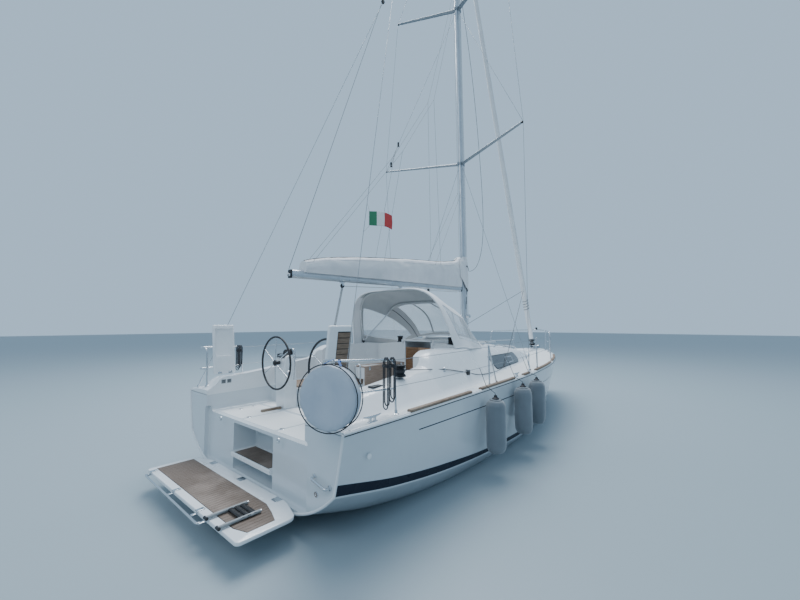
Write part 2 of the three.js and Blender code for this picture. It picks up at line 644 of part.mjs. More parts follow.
const ROLL = { from: 300, full: 1500, thin: STAY_LENGTH - 900, to: STAY_LENGTH - 500 };
const stayEnd = rod(alongStay(ROLL.to + 6), alongStay(STAY_LENGTH), 8, 8);
const mast = join([mastTube, mastHead, mastFootPlate, stayEnd]);
add('mast', clearOfDeck(mast), aluminium);

// Spreaders: name, root z, half length, sweep aft, rise, collar half length and width
const SPREADERS = [
  ['spreaders_lower', LOWER_SPREADER_Z, 1800, 690, 90],
  ['spreaders_upper', UPPER_SPREADER_Z, 1430, 560, 70],
];
const COLLAR = { length: 112, width: 78, height: 70 };
const spreaderTip = ([, z, half, sweep, rise], side) => [mastX(z) - sweep, half * side, z + rise];

function spreaderSolid(row) {
  const [, z] = row;
  const parts = [1, -1].map((side) => {
    const [x, y, tipZ] = spreaderTip(row, side);
    return rod([mastX(z) - 20, 60 * side, z], [x, y, tipZ], 34, 8, 18);
  });
  const collar = Array.from({ length: 12 }, (_, k) => {
    const angle = (2 * Math.PI * k) / 12;
    return [mastX(z) + Math.cos(angle) * COLLAR.length, Math.sin(angle) * COLLAR.width];
  });
  parts.push(plan(collar, [z - COLLAR.height / 2, z + COLLAR.height / 2]));
  const clearance = loft([
    mastSection(z - 400, MAST_HALF.length + SKIN_GAP * 2, MAST_HALF.width + SKIN_GAP * 2),
    mastSection(z + 400, MAST_HALF.length + SKIN_GAP * 2, MAST_HALF.width + SKIN_GAP * 2),
  ], [0, 1]);
  return join(parts).subtract(clearance);
}
for (const row of SPREADERS) add(row[0], spreaderSolid(row), aluminium);

// Shrouds on each side: cap shroud over both spreaders, lower shroud and intermediate
const CHAINPLATE = { x: -220, lowerX: -150, y: 1722, z: 1275 };
const WIRE = 4;
const TIP_GAP = 24;
const KNOT_HALF = 13;
const knot = ([x, y, z]) => box([x - KNOT_HALF, x + KNOT_HALF], [y - KNOT_HALF, y + KNOT_HALF],
  [z - KNOT_HALF, z + KNOT_HALF]);
const between = (from, to, share) => from.map((value, axis) => value + (to[axis] - value) * share);

function shroudSolid(side) {
  const capFoot = [CHAINPLATE.x, CHAINPLATE.y * side, CHAINPLATE.z];
  const lowerFoot = [CHAINPLATE.lowerX, CHAINPLATE.y * side, CHAINPLATE.z];
  const [lowTip, highTip] = SPREADERS.map((row) => {
    const [x, y, z] = spreaderTip(row, side);
    return [x - 6, y + TIP_GAP * side, z];
  });
  const hound = (z) => [mastX(z) - 20, (MAST_HALF.width + 8) * side, z];
  const plate = box([CHAINPLATE.x - 25, CHAINPLATE.lowerX + 25], [capFoot[1] - 10, capFoot[1] + 10],
    [1190, CHAINPLATE.z + 12]);
  const lowerTop = hound(LOWER_SPREADER_Z - 120);
  return clearOfDeck(join([plate, knot(lowTip), knot(highTip),
    rod(capFoot, lowTip, WIRE, 6), rod(lowTip, highTip, WIRE, 6), rod(highTip, hound(STAY_TOP_Z), WIRE, 6),
    rod(lowerFoot, lowerTop, WIRE, 6), rod(lowTip, hound(UPPER_SPREADER_Z - 120), WIRE, 6),
    rod(between(capFoot, lowTip, 0.001), between(capFoot, lowTip, 0.08), 14, 8),
    rod(between(lowerFoot, lowerTop, 0.001), between(lowerFoot, lowerTop, 0.07), 13, 8),
  ]));
}
add('shrouds_port', shroudSolid(1), stainless);
add('shrouds_starboard', shroudSolid(-1), stainless);

// Backstay: one wire from the masthead that splits to both quarters
const BACKSTAY_SPLIT = [-2200, 0, 9000];
const BACKSTAY_FOOT = [-4930, 1700, 1190];
const backstayLegs = [1, -1].map((side) => {
  const foot = [BACKSTAY_FOOT[0], BACKSTAY_FOOT[1] * side, BACKSTAY_FOOT[2]];
  const plate = box([foot[0] - 14, foot[0] + 14], [foot[1] - 9, foot[1] + 9], [foot[2] - 60, foot[2] + 20]);
  return join([rod(foot, BACKSTAY_SPLIT, WIRE, 6),
    rod(between(foot, BACKSTAY_SPLIT, 0.001), between(foot, BACKSTAY_SPLIT, 0.05), 15, 8), plate]);
});
const backstayTop = rod([mastX(MAST_TOP_Z) - 216, 0, MAST_TOP_Z - 5], BACKSTAY_SPLIT, WIRE, 6);
const splitPlate = box([BACKSTAY_SPLIT[0] - 16, BACKSTAY_SPLIT[0] + 16], [-24, 24],
  [BACKSTAY_SPLIT[2] - 50, BACKSTAY_SPLIT[2] + 40]);
add('backstay', clearOfDeck(join([...backstayLegs, backstayTop, splitPlate])), stainless);

// Furled headsail on its foil, with the furling drum
const drum = join([
  rod(alongStay(DRUM.from), alongStay(DRUM.from + 25), DRUM.radius, 12),
  rod(alongStay(DRUM.from), alongStay(DRUM.to + 40), 45, 12),
  rod(alongStay(DRUM.to - 25), alongStay(DRUM.to), DRUM.radius, 12),
]);
add('furling_drum', drum, blackRubber);
const roll = join([
  rod(alongStay(ROLL.from + 20), alongStay(ROLL.full), 62, 12, 82),
  rod(alongStay(ROLL.full), alongStay(ROLL.thin), 82, 12, 48),
  rod(alongStay(ROLL.thin), alongStay(ROLL.to), 48, 12, 30),
]);
add('furled_headsail', roll, canvas);
const stemFitting = join([
  box([4480, 5040], [-60, 60], [1390, 1402]),
  box([4480, 5040], [-60, -52], [1370, 1460]),
  box([4480, 5040], [52, 60], [1370, 1460]),
  box([4500, 4980], [-40, 40], [1362, 1396]),
  rod([5000, -56, 1430], [5000, 56, 1430], 34, 12),
  rod([STEM_FITTING_X, 0, 1392], alongStay(DRUM.from - 8), 14, 8),
]);
add('stem_fitting', clearOfDeck(stemFitting), stainless);

// Boom with its vang and the sail packed in a bag on top
const boomShare = (x) => (x - BOOM_END_X) / (GOOSENECK_X - BOOM_END_X);
const boomZ = (x) => BOOM_END_Z + (GOOSENECK_Z - BOOM_END_Z) * boomShare(x);
const boomRing = (x, halfWidth, halfHeight) => Array.from({ length: 12 }, (_, k) => {
  const angle = (2 * Math.PI * k) / 12;
  return [x, Math.cos(angle) * halfWidth, boomZ(x) + Math.sin(angle) * halfHeight];
});
const boomTube = loft([boomRing(BOOM_END_X, 42, 60), boomRing(GOOSENECK_X, 45, 68)]);
const goosenecks = rod([GOOSENECK_X - 5, 0, GOOSENECK_Z], [GOOSENECK_X + 45, 0, GOOSENECK_Z], 24, 8);
add('boom', boomTube.add(goosenecks), aluminium, [GOOSENECK_X + 45, 0, GOOSENECK_Z]);
const vang = rod([160, 0, 1985], [-1150, 0, boomZ(-1150) - 100], 24, 8);
add('vang', vang, aluminium);

// Bag sections: x, half width, height above the boom's top
const BAG_SECTIONS = [
  [-4210, 92, 128], [-3950, 122, 190], [-3000, 142, 310], [-1700, 155, 415],
  [-700, 160, 480], [-150, 150, 560], [40, 120, 660],
];
const BAG_OUTLINE = [[0.75, 0], [1, 0.3], [0.85, 0.7], [0.35, 0.98], [0, 1]];
const bagRings = BAG_SECTIONS.map(([x, half, height]) => {
  const base = boomZ(x) + 72;
  const port = BAG_OUTLINE.map(([w, h]) => [x, w * half, base + h * height]);
  const starboard = BAG_OUTLINE.slice(0, -1).reverse().map(([w, h]) => [x, -w * half, base + h * height]);
  return [...port, ...starboard];
});
add('sail_bag', loft(bagRings), canvas);

// The bag's forward end: cloth laced round the mast, cut away below for the gooseneck.
// Rings: z, half length, half width
const COLLAR_RINGS = [[2930, 114, 84], [3180, 124, 98], [3480, 118, 92], [3680, 106, 76], [3750, 98, 66]];
const collarSection = ([z, length, width]) => mastSection(z, length, width);
const collarHole = loft([2900, 3800].map((z) =>
  mastSection(z, MAST_HALF.length + SKIN_GAP * 2, MAST_HALF.width + SKIN_GAP * 2)), [0, 1]);
const belowCollar = sideProfile([[0, 2900], [0, 3165], [450, 2905], [450, 2900]], [-200, 200]);
add('bag_collar', loft(COLLAR_RINGS.map(collarSection), [0, 1]).subtract(collarHole)
  .subtract(belowCollar), canvas);

// Guard rails. Stanchion feet stand along the deck's edge
const TUBE = 12.5;
const RAIL_INSET = 88;
const railY = (x) => atX(HULL_SECTIONS, x, 1) - RAIL_INSET;
const deckEdgeZ = (x) => sheerZ(x) + DECK_EDGE_HEIGHT;
const RAIL_HEIGHT = 610;

function pushpitSolid() {
  const footAft = [-4900, 1440, 1160];
  const footForward = [-4190, railY(-4190), 1130];
  const topZ = 1800;
  const topRail = rounded([footAft, [-4925, 1430, topZ], [-4960, 1640, topZ],
    [-4215, railY(-4215), topZ - 28], footForward], 90);
  const midZ = 1470;
  const middle = pipe([[-4912, 1435, midZ], [-4942, 1668, midZ],
    [-4203, railY(-4203), midZ - 15]], TUBE - 2, 8);
  return join([pipe(topRail, TUBE, 8), middle]);
}
add('pushpit_port', clearOfDeck(pushpitSolid()), stainless);
add('pushpit_starboard', clearOfDeck(mirrored(pushpitSolid())), stainless);

function pulpitSolid() {
  const topZ = 1960;
  const half = rounded([[3420, railY(3420), 1300], [3440, railY(3440) - 10, topZ - 20],
    [4300, railY(4300) + 40, topZ], [4830, 150, topZ + 10], [4930, 0, topZ + 10]], 100);
  const otherHalf = half.slice(0, -1).reverse().map(([x, y, z]) => [x, -y, z]);
  const legs = [1, -1].map((side) => pipe([[4300, (railY(4300) + 40) * side, topZ],
    [4250, railY(4250) * side, 1300]], TUBE, 8));
  const middle = [1, -1].map((side) => pipe([[3430, (railY(3430) - 4) * side, 1640],
    [4270, (railY(4270) + 16) * side, 1650]], TUBE - 2, 8));
  return join([pipe([...half, ...otherHalf], TUBE, 8), ...legs, ...middle]);
}
add('pulpit', clearOfDeck(pulpitSolid()), stainless);

// Stanchions with two guard wires, from the pushpit to the pulpit
const STANCHION_XS = [-1990, 350, 2100];
function guardRailSolid() {
  const posts = STANCHION_XS.map((x) => {
    const foot = [x, railY(x), deckEdgeZ(x) - 20];
    return rod(foot, [x, railY(x) - 6, deckEdgeZ(x) + RAIL_HEIGHT], TUBE, 8);
  });
  const gate = STANCHION_XS[0];
  posts.push(rod([gate + 260, railY(gate + 260), deckEdgeZ(gate) - 20],
    [gate, railY(gate), deckEdgeZ(gate) + RAIL_HEIGHT - 20], TUBE - 2, 8));
  const wires = [RAIL_HEIGHT - 12, RAIL_HEIGHT / 2].map((height) => {
    const points = [-4170, ...STANCHION_XS, 3400].map((x) => [x, railY(x) - 4, deckEdgeZ(x) + height]);
    return pipe(points, WIRE, 6);
  });
  return join([...posts, ...wires]);
}
add('guard_rail_port', clearOfDeck(guardRailSolid()), stainless);
add('guard_rail_starboard', clearOfDeck(mirrored(guardRailSolid())), stainless);

// Toe rail: a low strip along the deck's edge with teak caps, and mooring cleats.
// Teak caps: from x, to x
const TEAK_CAPS = [[-4120, -2570], [-2480, -1070], [-830, -330], [-110, 1500], [1600, 3100]];
const CLEAT_XS = [-4560, -950, 3900];
const stripRing = (x, inset, width, low, high) => {
  const outer = atX(HULL_SECTIONS, x, 1) - inset;
  return [[x, outer, low(x)], [x, outer, high(x)], [x, outer - width, high(x)], [x, outer - width, low(x)]];
};
const hullStations = HULL_SECTIONS.map(([x]) => x);
const stationsBetween = (from, to) => [from, ...hullStations.filter((x) => x > from && x < to), to];
const aboveEdge = (height) => (x) => deckEdgeZ(x) + height;
function toeRailSolid() {
  const strip = loft(stationsBetween(-4900, 4700)
    .map((x) => stripRing(x, 16, 40, aboveEdge(-8), aboveEdge(7))));
  const caps = TEAK_CAPS.map(([from, to]) =>
    loft(stationsBetween(from, to).map((x) => stripRing(x, 8, 56, aboveEdge(2), aboveEdge(36)))));
  const cleats = CLEAT_XS.map((x) => {
    const y = atX(HULL_SECTIONS, x, 1) - 75;
    const z = deckEdgeZ(x);
    const legs = [-1, 1].map((end) => rod([x + 32 * end, y, z], [x + 32 * end, y, z + 55], 11, 8));
    return join([box([x - 45, x + 45], [y - 22, y + 60], [z - 10, z + 12]), ...legs,
      rod([x - 125, y, z + 58], [x + 125, y, z + 58], 14, 8)]);
  });
  return join([strip, ...caps, ...cleats]);
}
add('toe_rail_port', clearOfDeck(toeRailSolid()), teak);
add('toe_rail_starboard', clearOfDeck(mirrored(toeRailSolid())), teak);

// Winches: name, x, y, radius, height; the foot is sunk in the deck and cut to it
const WINCHES = [
  ['winch_coaming_port', -3680, 1395, 78, 150], ['winch_coaming_starboard', -3680, -1395, 78, 150],
  ['winch_roof_port', -1300, 640, 68, 135], ['winch_roof_starboard', -1300, -640, 68, 135],
];
for (const [name, x, y, radius, height] of WINCHES) {
  const deckZ = Math.abs(y) > 1000 ? 1494 : 1772;
  const profile = [[0, 0], [radius, 0], [radius, 22], [radius * 0.72, 32], [radius * 0.72, height * 0.7],
    [radius * 0.95, height * 0.8], [radius * 0.95, height * 0.92], [radius * 0.4, height], [0, height]];
  add(name, turned(profile).translate([x, y, deckZ]), stainless, [x, y, deckZ]);
}

// Sprayhood: canvas over two hoops. Each arch is a rounded box whose sides lean in.
// Arches: x of the foot, x of the crest, half width, z of the foot, z of the crest, squareness, lean
const HOOD_ARCHES = [
  [-760, -560, 1000, 1700, 1935, 2.0, 0.05],
  [-1160, -805, 1095, 1715, 2355, 2.0, 0.14],
  [-1510, -1515, 1190, 1722, 2625, 5.0, 0.34],
  [-1800, -2190, 1230, 1756, 2812, 4.9, 0.26],
  [-2100, -2375, 1250, 1760, 2796, 4.6, 0.18],
];
const HOOD_CLOTH = 14;
const ARCH_STEPS = 20;
function archPoint([footX, crestX, half, footZ, crestZ, power, lean], share, inset) {
  const angle = Math.PI * share;
  const across = Math.sign(Math.cos(angle)) * Math.abs(Math.cos(angle)) ** (2 / power);
  const up = Math.abs(Math.sin(angle)) ** (2 / power);
  return [footX + (crestX - footX) * up, (half - inset) * across * (1 - lean * up),
    footZ + (crestZ - inset - footZ) * up];
}
function hoodSolid() {
  const shares = Array.from({ length: ARCH_STEPS + 1 }, (_, i) => i / ARCH_STEPS);
  return loft(HOOD_ARCHES.map((arch) => {
    const outside = shares.map((share) => archPoint(arch, share, 0));
    const inside = shares.map((share) => archPoint(arch, share, HOOD_CLOTH)).reverse();
    return [...outside, ...inside];
  }));
}
add('sprayhood', clearOfDeck(hoodSolid()), canvas);

// Both hoops turn on one hinge at each foot. Hoops: arch behind them, share of the way to the next arch,
// share of the arch where the straight leg ends
const HOOPS = [[2, 0, 0.17], [3, 0.3, 0.08]];
const HOOP_HINGE = [-1870, 1180, 1800];
const HOOP = { inset: 38, radius: 11, bentSteps: 16 };
function hoopSolid([index, share, start]) {
  const arch = between(HOOD_ARCHES[index], HOOD_ARCHES[index + 1], share);
  const bent = Array.from({ length: HOOP.bentSteps + 1 }, (_, i) =>
    archPoint(arch, start + ((1 - 2 * start) * i) / HOOP.bentSteps, HOOP.inset));
  const [x, y, z] = HOOP_HINGE;
  return pipe([[x, y, z], ...bent, [x, -y, z]], HOOP.radius, 8);
}
const hingeFeet = [1, -1].map((side) => rod([HOOP_HINGE[0], HOOP_HINGE[1] * side, 1740],
  [HOOP_HINGE[0], HOOP_HINGE[1] * side, HOOP_HINGE[2] + 16], 16, 8));
add('sprayhood_frame', clearOfDeck(join([...HOOPS.map(hoopSolid), ...hingeFeet])), stainless);

// Coachroof side windows, laid on the wall
const WINDOW_OUTLINE = [[-840, 1545], [-660, 1290], [820, 1310], [900, 1400], [740, 1530]];
const windowBlock = sideProfile(WINDOW_OUTLINE, [700, 1500]);
const windowPane = plainDeck.translate([0, 9, 0]).intersect(windowBlock)
  .subtract(plainDeck.translate([0, SKIN_GAP, 0]));
for (const [side, suffix] of SIDES) add(`window_${suffix}`, onSide(side, windowPane), darkGlass);

// Fenders hung along the starboard side: x and z of the upper end
const FENDERS = [[-2290, 1130], [-1250, 1170], [-590, 1200]];
const FENDER = { radius: 148, length: 820 };
FENDERS.forEach(([x, top], index) => {
  const y = -atX(HULL_SECTIONS, x, 1) - FENDER.radius - 12;
  const { radius, length } = FENDER;
  const profile = [[0, 0], [22, 0], [26, 40], [radius * 0.7, 70], [radius, 150], [radius, length - 120],
    [radius * 0.75, length - 30], [0, length]];
  const hanging = profile.map(([r, z]) => [r, -z]);
  add(`fender_${index + 1}`, turned(hanging, 16).translate([x, y, top]), fenderVinyl);
});

// Round lifebuoy cover on the starboard pushpit
const LIFEBUOY = { centre: [-5180, -1812, 1494], radius: 310, thickness: 150, turn: 0.375 };
const coverDisc = new THREE.CylinderGeometry(LIFEBUOY.radius * 0.97, LIFEBUOY.radius,
  LIFEBUOY.thickness, 24);
coverDisc.rotateZ(Math.PI / 2);
coverDisc.translate(LIFEBUOY.thickness / 2, 0, 0);
coverDisc.rotateZ(LIFEBUOY.turn);
coverDisc.translate(...LIFEBUOY.centre);
add('lifebuoy_cover', toSolid(coverDisc), canvas);

// Small ensign on the starboard leg of the backstay, its fly end a little lower.
// Outline: distance from the hoist and z
const ENSIGN = { hoist: [-4090, -1233, 0], turn: -49.4, thickness: 4 };
const ENSIGN_OUTLINE = [[0, 3400], [300, 3340], [300, 3530], [0, 3590]];
const ensign = sideProfile(ENSIGN_OUTLINE, [-ENSIGN.thickness / 2, ENSIGN.thickness / 2])
  .rotate([0, 0, ENSIGN.turn]).translate(ENSIGN.hoist);
add('ensign', ensign, flagCloth);

export default group;
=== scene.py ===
import math

import bmesh
import bpy
import numpy as np
from mathutils import Matrix, Vector, noise


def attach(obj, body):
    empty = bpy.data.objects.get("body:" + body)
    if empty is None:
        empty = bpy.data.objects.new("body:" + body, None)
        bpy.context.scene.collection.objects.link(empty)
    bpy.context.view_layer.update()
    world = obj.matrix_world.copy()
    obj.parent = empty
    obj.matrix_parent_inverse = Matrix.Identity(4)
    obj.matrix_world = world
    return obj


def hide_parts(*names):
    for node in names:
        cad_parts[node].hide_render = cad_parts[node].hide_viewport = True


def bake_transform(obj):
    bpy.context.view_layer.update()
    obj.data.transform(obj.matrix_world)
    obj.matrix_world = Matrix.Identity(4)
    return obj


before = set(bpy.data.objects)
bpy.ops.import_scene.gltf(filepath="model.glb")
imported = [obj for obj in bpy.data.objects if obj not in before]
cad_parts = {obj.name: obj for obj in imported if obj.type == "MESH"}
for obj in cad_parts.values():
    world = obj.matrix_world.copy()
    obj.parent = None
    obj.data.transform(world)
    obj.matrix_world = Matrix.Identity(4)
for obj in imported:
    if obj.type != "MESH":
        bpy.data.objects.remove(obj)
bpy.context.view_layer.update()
scene = bpy.context.scene
SIDES = ((1, "port"), (-1, "starboard"))

# Camera, lights and floor

CAMERA_PLACE = Vector((-7.254, -4.462, 2.162))
CAMERA_YAW = math.radians(40.64)
CAMERA_PITCH = math.radians(3.78)
FOCAL_PIXELS = 363.6
PICTURE_WIDTH = 800
SENSOR_MM = 36.0
SKY_COLOUR = (0.46, 0.64, 0.83, 1)
FLOOR_COLOUR = (0.29, 0.355, 0.39)
FLOOR_HALF = 90
# Name, place, aim, size, watts and colour
LIGHTS = [("sky_over_port_bow", (3, 5, 19), (-1, 0, 1), (13, 13), 5200, (0.96, 0.975, 1.0)),
          ("sky_astern", (-14, -3, 11), (-2, 0, 1), (10, 8), 420, (0.97, 0.98, 1.0))]


def make_camera():
    data = bpy.data.cameras.new("photo_camera")
    data.sensor_width = SENSOR_MM
    data.lens = FOCAL_PIXELS / PICTURE_WIDTH * SENSOR_MM
    data.clip_start = 0.05
    data.clip_end = 500
    camera = bpy.data.objects.new("photo_camera", data)
    bpy.context.collection.objects.link(camera)
    camera.location = CAMERA_PLACE
    ahead = Vector((math.cos(CAMERA_YAW) * math.cos(CAMERA_PITCH),
                    math.sin(CAMERA_YAW) * math.cos(CAMERA_PITCH), math.sin(CAMERA_PITCH)))
    camera.rotation_mode = "QUATERNION"
    camera.rotation_quaternion = ahead.to_track_quat("-Z", "Y")
    scene.camera = camera


def make_area_light(name, place, aim, size, power, colour):
    data = bpy.data.lights.new(name, "AREA")
    data.shape = "RECTANGLE"
    data.size, data.size_y = size
    data.energy = power
    data.color = colour
    light = bpy.data.objects.new(name, data)
    bpy.context.collection.objects.link(light)
    light.location = place
    light.rotation_mode = "QUATERNION"
    light.rotation_quaternion = (Vector(aim) - Vector(place)).to_track_quat("-Z", "Y")


def make_studio():
    world = bpy.data.worlds.new("overcast")
    world.use_nodes = True
    background = world.node_tree.nodes["Background"]
    background.inputs["Color"].default_value = SKY_COLOUR
    background.inputs["Strength"].default_value = 1.0
    scene.world = world
    for light in LIGHTS:
        make_area_light(*light)
    corners = [(x * FLOOR_HALF, y * FLOOR_HALF, 0) for x, y in ((-1, -1), (1, -1), (1, 1), (-1, 1))]
    floor = new_piece_from_data("floor", corners, [(0, 1, 2, 3)],
                                [Finish("pale_floor", FLOOR_COLOUR, 0.5).material])


# Meshes

def new_piece_from_data(name, points, faces, materials, smooth=False, slots=None):
    mesh = bpy.data.meshes.new(name)
    mesh.from_pydata([tuple(p) for p in points], [], faces)
    for material in materials:
        mesh.materials.append(material)
    if slots is not None:
        mesh.polygons.foreach_set("material_index", slots)
    mesh.polygons.foreach_set("use_smooth", [smooth] * len(mesh.polygons))
    mesh.update()
    piece = bpy.data.objects.new(name, mesh)
    bpy.context.collection.objects.link(piece)
    return piece


class Workpiece:
    """Shapes gathered into one mesh; each call takes the number of the material that it paints with."""

    def __init__(self):
        self.bm = bmesh.new()

    def _finish_part(self, verts, paint, smooth, turn):
        if turn is not None:
            bmesh.ops.transform(self.bm, matrix=turn, verts=verts)
        for face in {f for v in verts for f in v.link_faces}:
            face.material_index = paint
            face.smooth = smooth

    def block(self, low, high, round_by=0.004, paint=0, turn=None, steps=2):
        low, high = Vector(low), Vector(high)
        middle = (low + high) / 2
        size = high - low
        made = bmesh.ops.create_cube(self.bm, size=1.0,
                                     matrix=Matrix.Translation(middle) @ Matrix.Diagonal((*size, 1)))
        verts = made["verts"]
        if round_by > 0:
            edges = list({e for v in verts for e in v.link_edges})
            round_by = min(round_by, min(size) * 0.45)
            done = bmesh.ops.bevel(self.bm, geom=edges, offset=round_by, segments=steps, profile=0.5,
                                   affect="EDGES")
            verts = done["verts"]
            verts = list({v for f in done["faces"] for v in f.verts} | set(verts))
            verts = self._island(verts[0])
        self._finish_part(verts, paint, True, turn)

    def _island(self, seed):
        found = {seed}
        queue = [seed]
        while queue:
            for edge in queue.pop().link_edges:
                for vert in edge.verts:
                    if vert not in found:
                        found.add(vert)
                        queue.append(vert)
        return list(found)

    def turned(self, profile, place=(0, 0, 0), axis=(0, 0, 1), sides=24, paint=0, turn=None):
        """A turned shape: profile is (radius, height along the axis) from one end to the other."""
        to_axis = Vector((0, 0, 1)).rotation_difference(Vector(axis)).to_matrix().to_4x4()
        put = Matrix.Translation(place) @ to_axis
        rings = []
        for radius, height in profile:
            if radius < 1e-6:
                rings.append([self.bm.verts.new(put @ Vector((0, 0, height)))])
                continue
            angles = (math.tau * k / sides for k in range(sides))
            rings.append([self.bm.verts.new(put @ Vector((radius * math.cos(a), radius * math.sin(a),
                                                          height)))
                          for a in angles])
        self._skin(rings, sides)
        verts = [v for ring in rings for v in ring]
        self._close_ends(rings)
        self._finish_part(verts, paint, True, turn)

    def _skin(self, rings, sides):
        for lower, upper in zip(rings, rings[1:]):
            for k in range(sides):
                n = (k + 1) % sides
                if len(lower) == 1 and len(upper) == 1:
                    continue
                if len(lower) == 1:
                    self.bm.faces.new((lower[0], upper[n], upper[k]))
                elif len(upper) == 1:
                    self.bm.faces.new((lower[k], lower[n], upper[0]))
                else:
                    self.bm.faces.new((lower[k], lower[n], upper[n], upper[k]))

    def _close_ends(self, rings):
        if len(rings[0]) > 2:
            self.bm.faces.new(tuple(reversed(rings[0])))
        if len(rings[-1]) > 2:
            self.bm.faces.new(tuple(rings[-1]))

    def rod(self, start, end, radius, sides=16, paint=0):
        start, end = Vector(start), Vector(end)
        along = end - start
        self.turned([(radius, 0), (radius, along.length)], start, along.normalized(), sides, paint)

    def loft(self, rings, paint=0, ends=True, smooth=True):
        """A skin through closed rings of equal point count."""
        made = [[self.bm.verts.new(p) for p in ring] for ring in rings]
        count = len(made[0])
        for lower, upper in zip(made, made[1:]):
            for k in range(count):
                n = (k + 1) % count
                self.bm.faces.new((lower[k], lower[n], upper[n], upper[k]))
        if ends:
            self._close_ends(made)
        self._finish_part([v for ring in made for v in ring], paint, smooth, None)

    def piece(self, name, *materials, flat_angle=35):
        """The finished object, its faces turned outwards and its sharp edges kept sharp."""
        bmesh.ops.recalc_face_normals(self.bm, faces=self.bm.faces)
        for edge in self.bm.edges:
            if len(edge.link_faces) == 2 and edge.calc_face_angle(0) > math.radians(flat_angle):
                edge.smooth = False
        mesh = bpy.data.meshes.new(name)
        self.bm.to_mesh(mesh)
        self.bm.free()
        for material in materials:
            mesh.materials.append(material)
        piece = bpy.data.objects.new(name, mesh)
        bpy.context.collection.objects.link(piece)
        return piece


def settle(piece):
    """Turns a piece with modifiers into a plain mesh."""
    depsgraph = bpy.context.evaluated_depsgraph_get()
    mesh = bpy.data.meshes.new_from_object(piece.evaluated_get(depsgraph))
    piece.modifiers.clear()
    piece.data = mesh
    return piece


def combine(piece, other, operation):
    """Cuts the other shape out of the piece, or joins it on, and removes the other."""
    modifier = piece.modifiers.new("combine", "BOOLEAN")
    modifier.operation = operation
    modifier.solver = "EXACT"
    modifier.object = other
    settle(piece)
    bpy.data.objects.remove(other)


def cut(piece, cutter):
    combine(piece, cutter, "DIFFERENCE")


def sharpen(piece, degrees):
    """Shades smooth across edges flatter than the angle given."""
    bm = bmesh.new()
    bm.from_mesh(piece.data)
    for face in bm.faces:
        face.smooth = True
    for edge in bm.edges:
        if len(edge.link_faces) == 2:
            edge.smooth = edge.calc_face_angle(0) <= math.radians(degrees)
    bm.to_mesh(piece.data)
    bm.free()


def finish(piece, body, replaces=()):
    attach(piece, body)
    if replaces:
        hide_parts(*replaces)
    return piece


# Geometry Nodes trees

def new_tree(name, inputs):
    """An empty tree with a geometry in and out and named number or material inputs."""
    tree = bpy.data.node_groups.new(name, "GeometryNodeTree")
    tree.interface.new_socket("Geometry", in_out="INPUT", socket_type="NodeSocketGeometry")
    tree.interface.new_socket("Geometry", in_out="OUTPUT", socket_type="NodeSocketGeometry")
    for label, kind in inputs:
        tree.interface.new_socket(label, in_out="INPUT", socket_type=kind)
    return tree


def set_inputs(modifier, values):
    for item in modifier.node_group.interface.items_tree:
        if item.in_out == "INPUT" and item.name in values:
            modifier[item.identifier] = values[item.name]


def tube_tree():
    """Sweeps a round section along edges; each point's share of the radius comes from its own attribute."""
    tree = new_tree("tube_along_path", [("Radius", "NodeSocketFloat"), ("Sides", "NodeSocketInt"),
                                        ("Material", "NodeSocketMaterial")])
    nodes, links = tree.nodes, tree.links
    source = nodes.new("NodeGroupInput")
    result = nodes.new("NodeGroupOutput")
    to_curve = nodes.new("GeometryNodeMeshToCurve")
    share = nodes.new("GeometryNodeInputNamedAttribute")
    share.data_type = "FLOAT"
    share.inputs["Name"].default_value = "share"
    widen = nodes.new("GeometryNodeSetCurveRadius")
    circle = nodes.new("GeometryNodeCurvePrimitiveCircle")
    sweep = nodes.new("GeometryNodeCurveToMesh")
    sweep.inputs["Fill Caps"].default_value = True
    smooth = nodes.new("GeometryNodeSetShadeSmooth")
    realise = nodes.new("GeometryNodeRealizeInstances")
    paint = nodes.new("GeometryNodeSetMaterial")
    links.new(source.outputs["Geometry"], to_curve.inputs["Mesh"])
    links.new(to_curve.outputs["Curve"], widen.inputs["Curve"])
    links.new(share.outputs["Attribute"], widen.inputs["Radius"])
    links.new(source.outputs["Sides"], circle.inputs["Resolution"])
    links.new(source.outputs["Radius"], circle.inputs["Radius"])
    links.new(widen.outputs["Curve"], sweep.inputs["Curve"])
    links.new(circle.outputs["Curve"], sweep.inputs["Profile Curve"])
    if "Scale" in sweep.inputs:
        radius = nodes.new("GeometryNodeInputRadius")
        links.new(radius.outputs["Radius"], sweep.inputs["Scale"])
    links.new(sweep.outputs["Mesh"], smooth.inputs["Geometry"])
    links.new(smooth.outputs["Geometry"], realise.inputs["Geometry"])
    links.new(realise.outputs["Geometry"], paint.inputs["Geometry"])
    links.new(source.outputs["Material"], paint.inputs["Material"])
    links.new(paint.outputs["Geometry"], result.inputs["Geometry"])
    return tree


TUBE_TREE = tube_tree()


def tubes(name, paths, radius, material, sides=12):
    """Round tubes along each path of points, by the tube tree."""
    points, edges = [], []
    for path in paths:
        start = len(points)
        points.extend(tuple(p) for p in path)
        edges.extend((start + i, start + i + 1) for i in range(len(path) - 1))
    mesh = bpy.data.meshes.new(name)
    mesh.from_pydata(points, edges, [])
    mesh.attributes.new("share", "FLOAT", "POINT").data.foreach_set("value", [1.0] * len(points))
    piece = bpy.data.objects.new(name, mesh)
    bpy.context.collection.objects.link(piece)
    modifier = piece.modifiers.new("tube", "NODES")
    modifier.node_group = TUBE_TREE
    set_inputs(modifier, {"Radius": radius, "Sides": sides, "Material": material})
    return settle(piece)


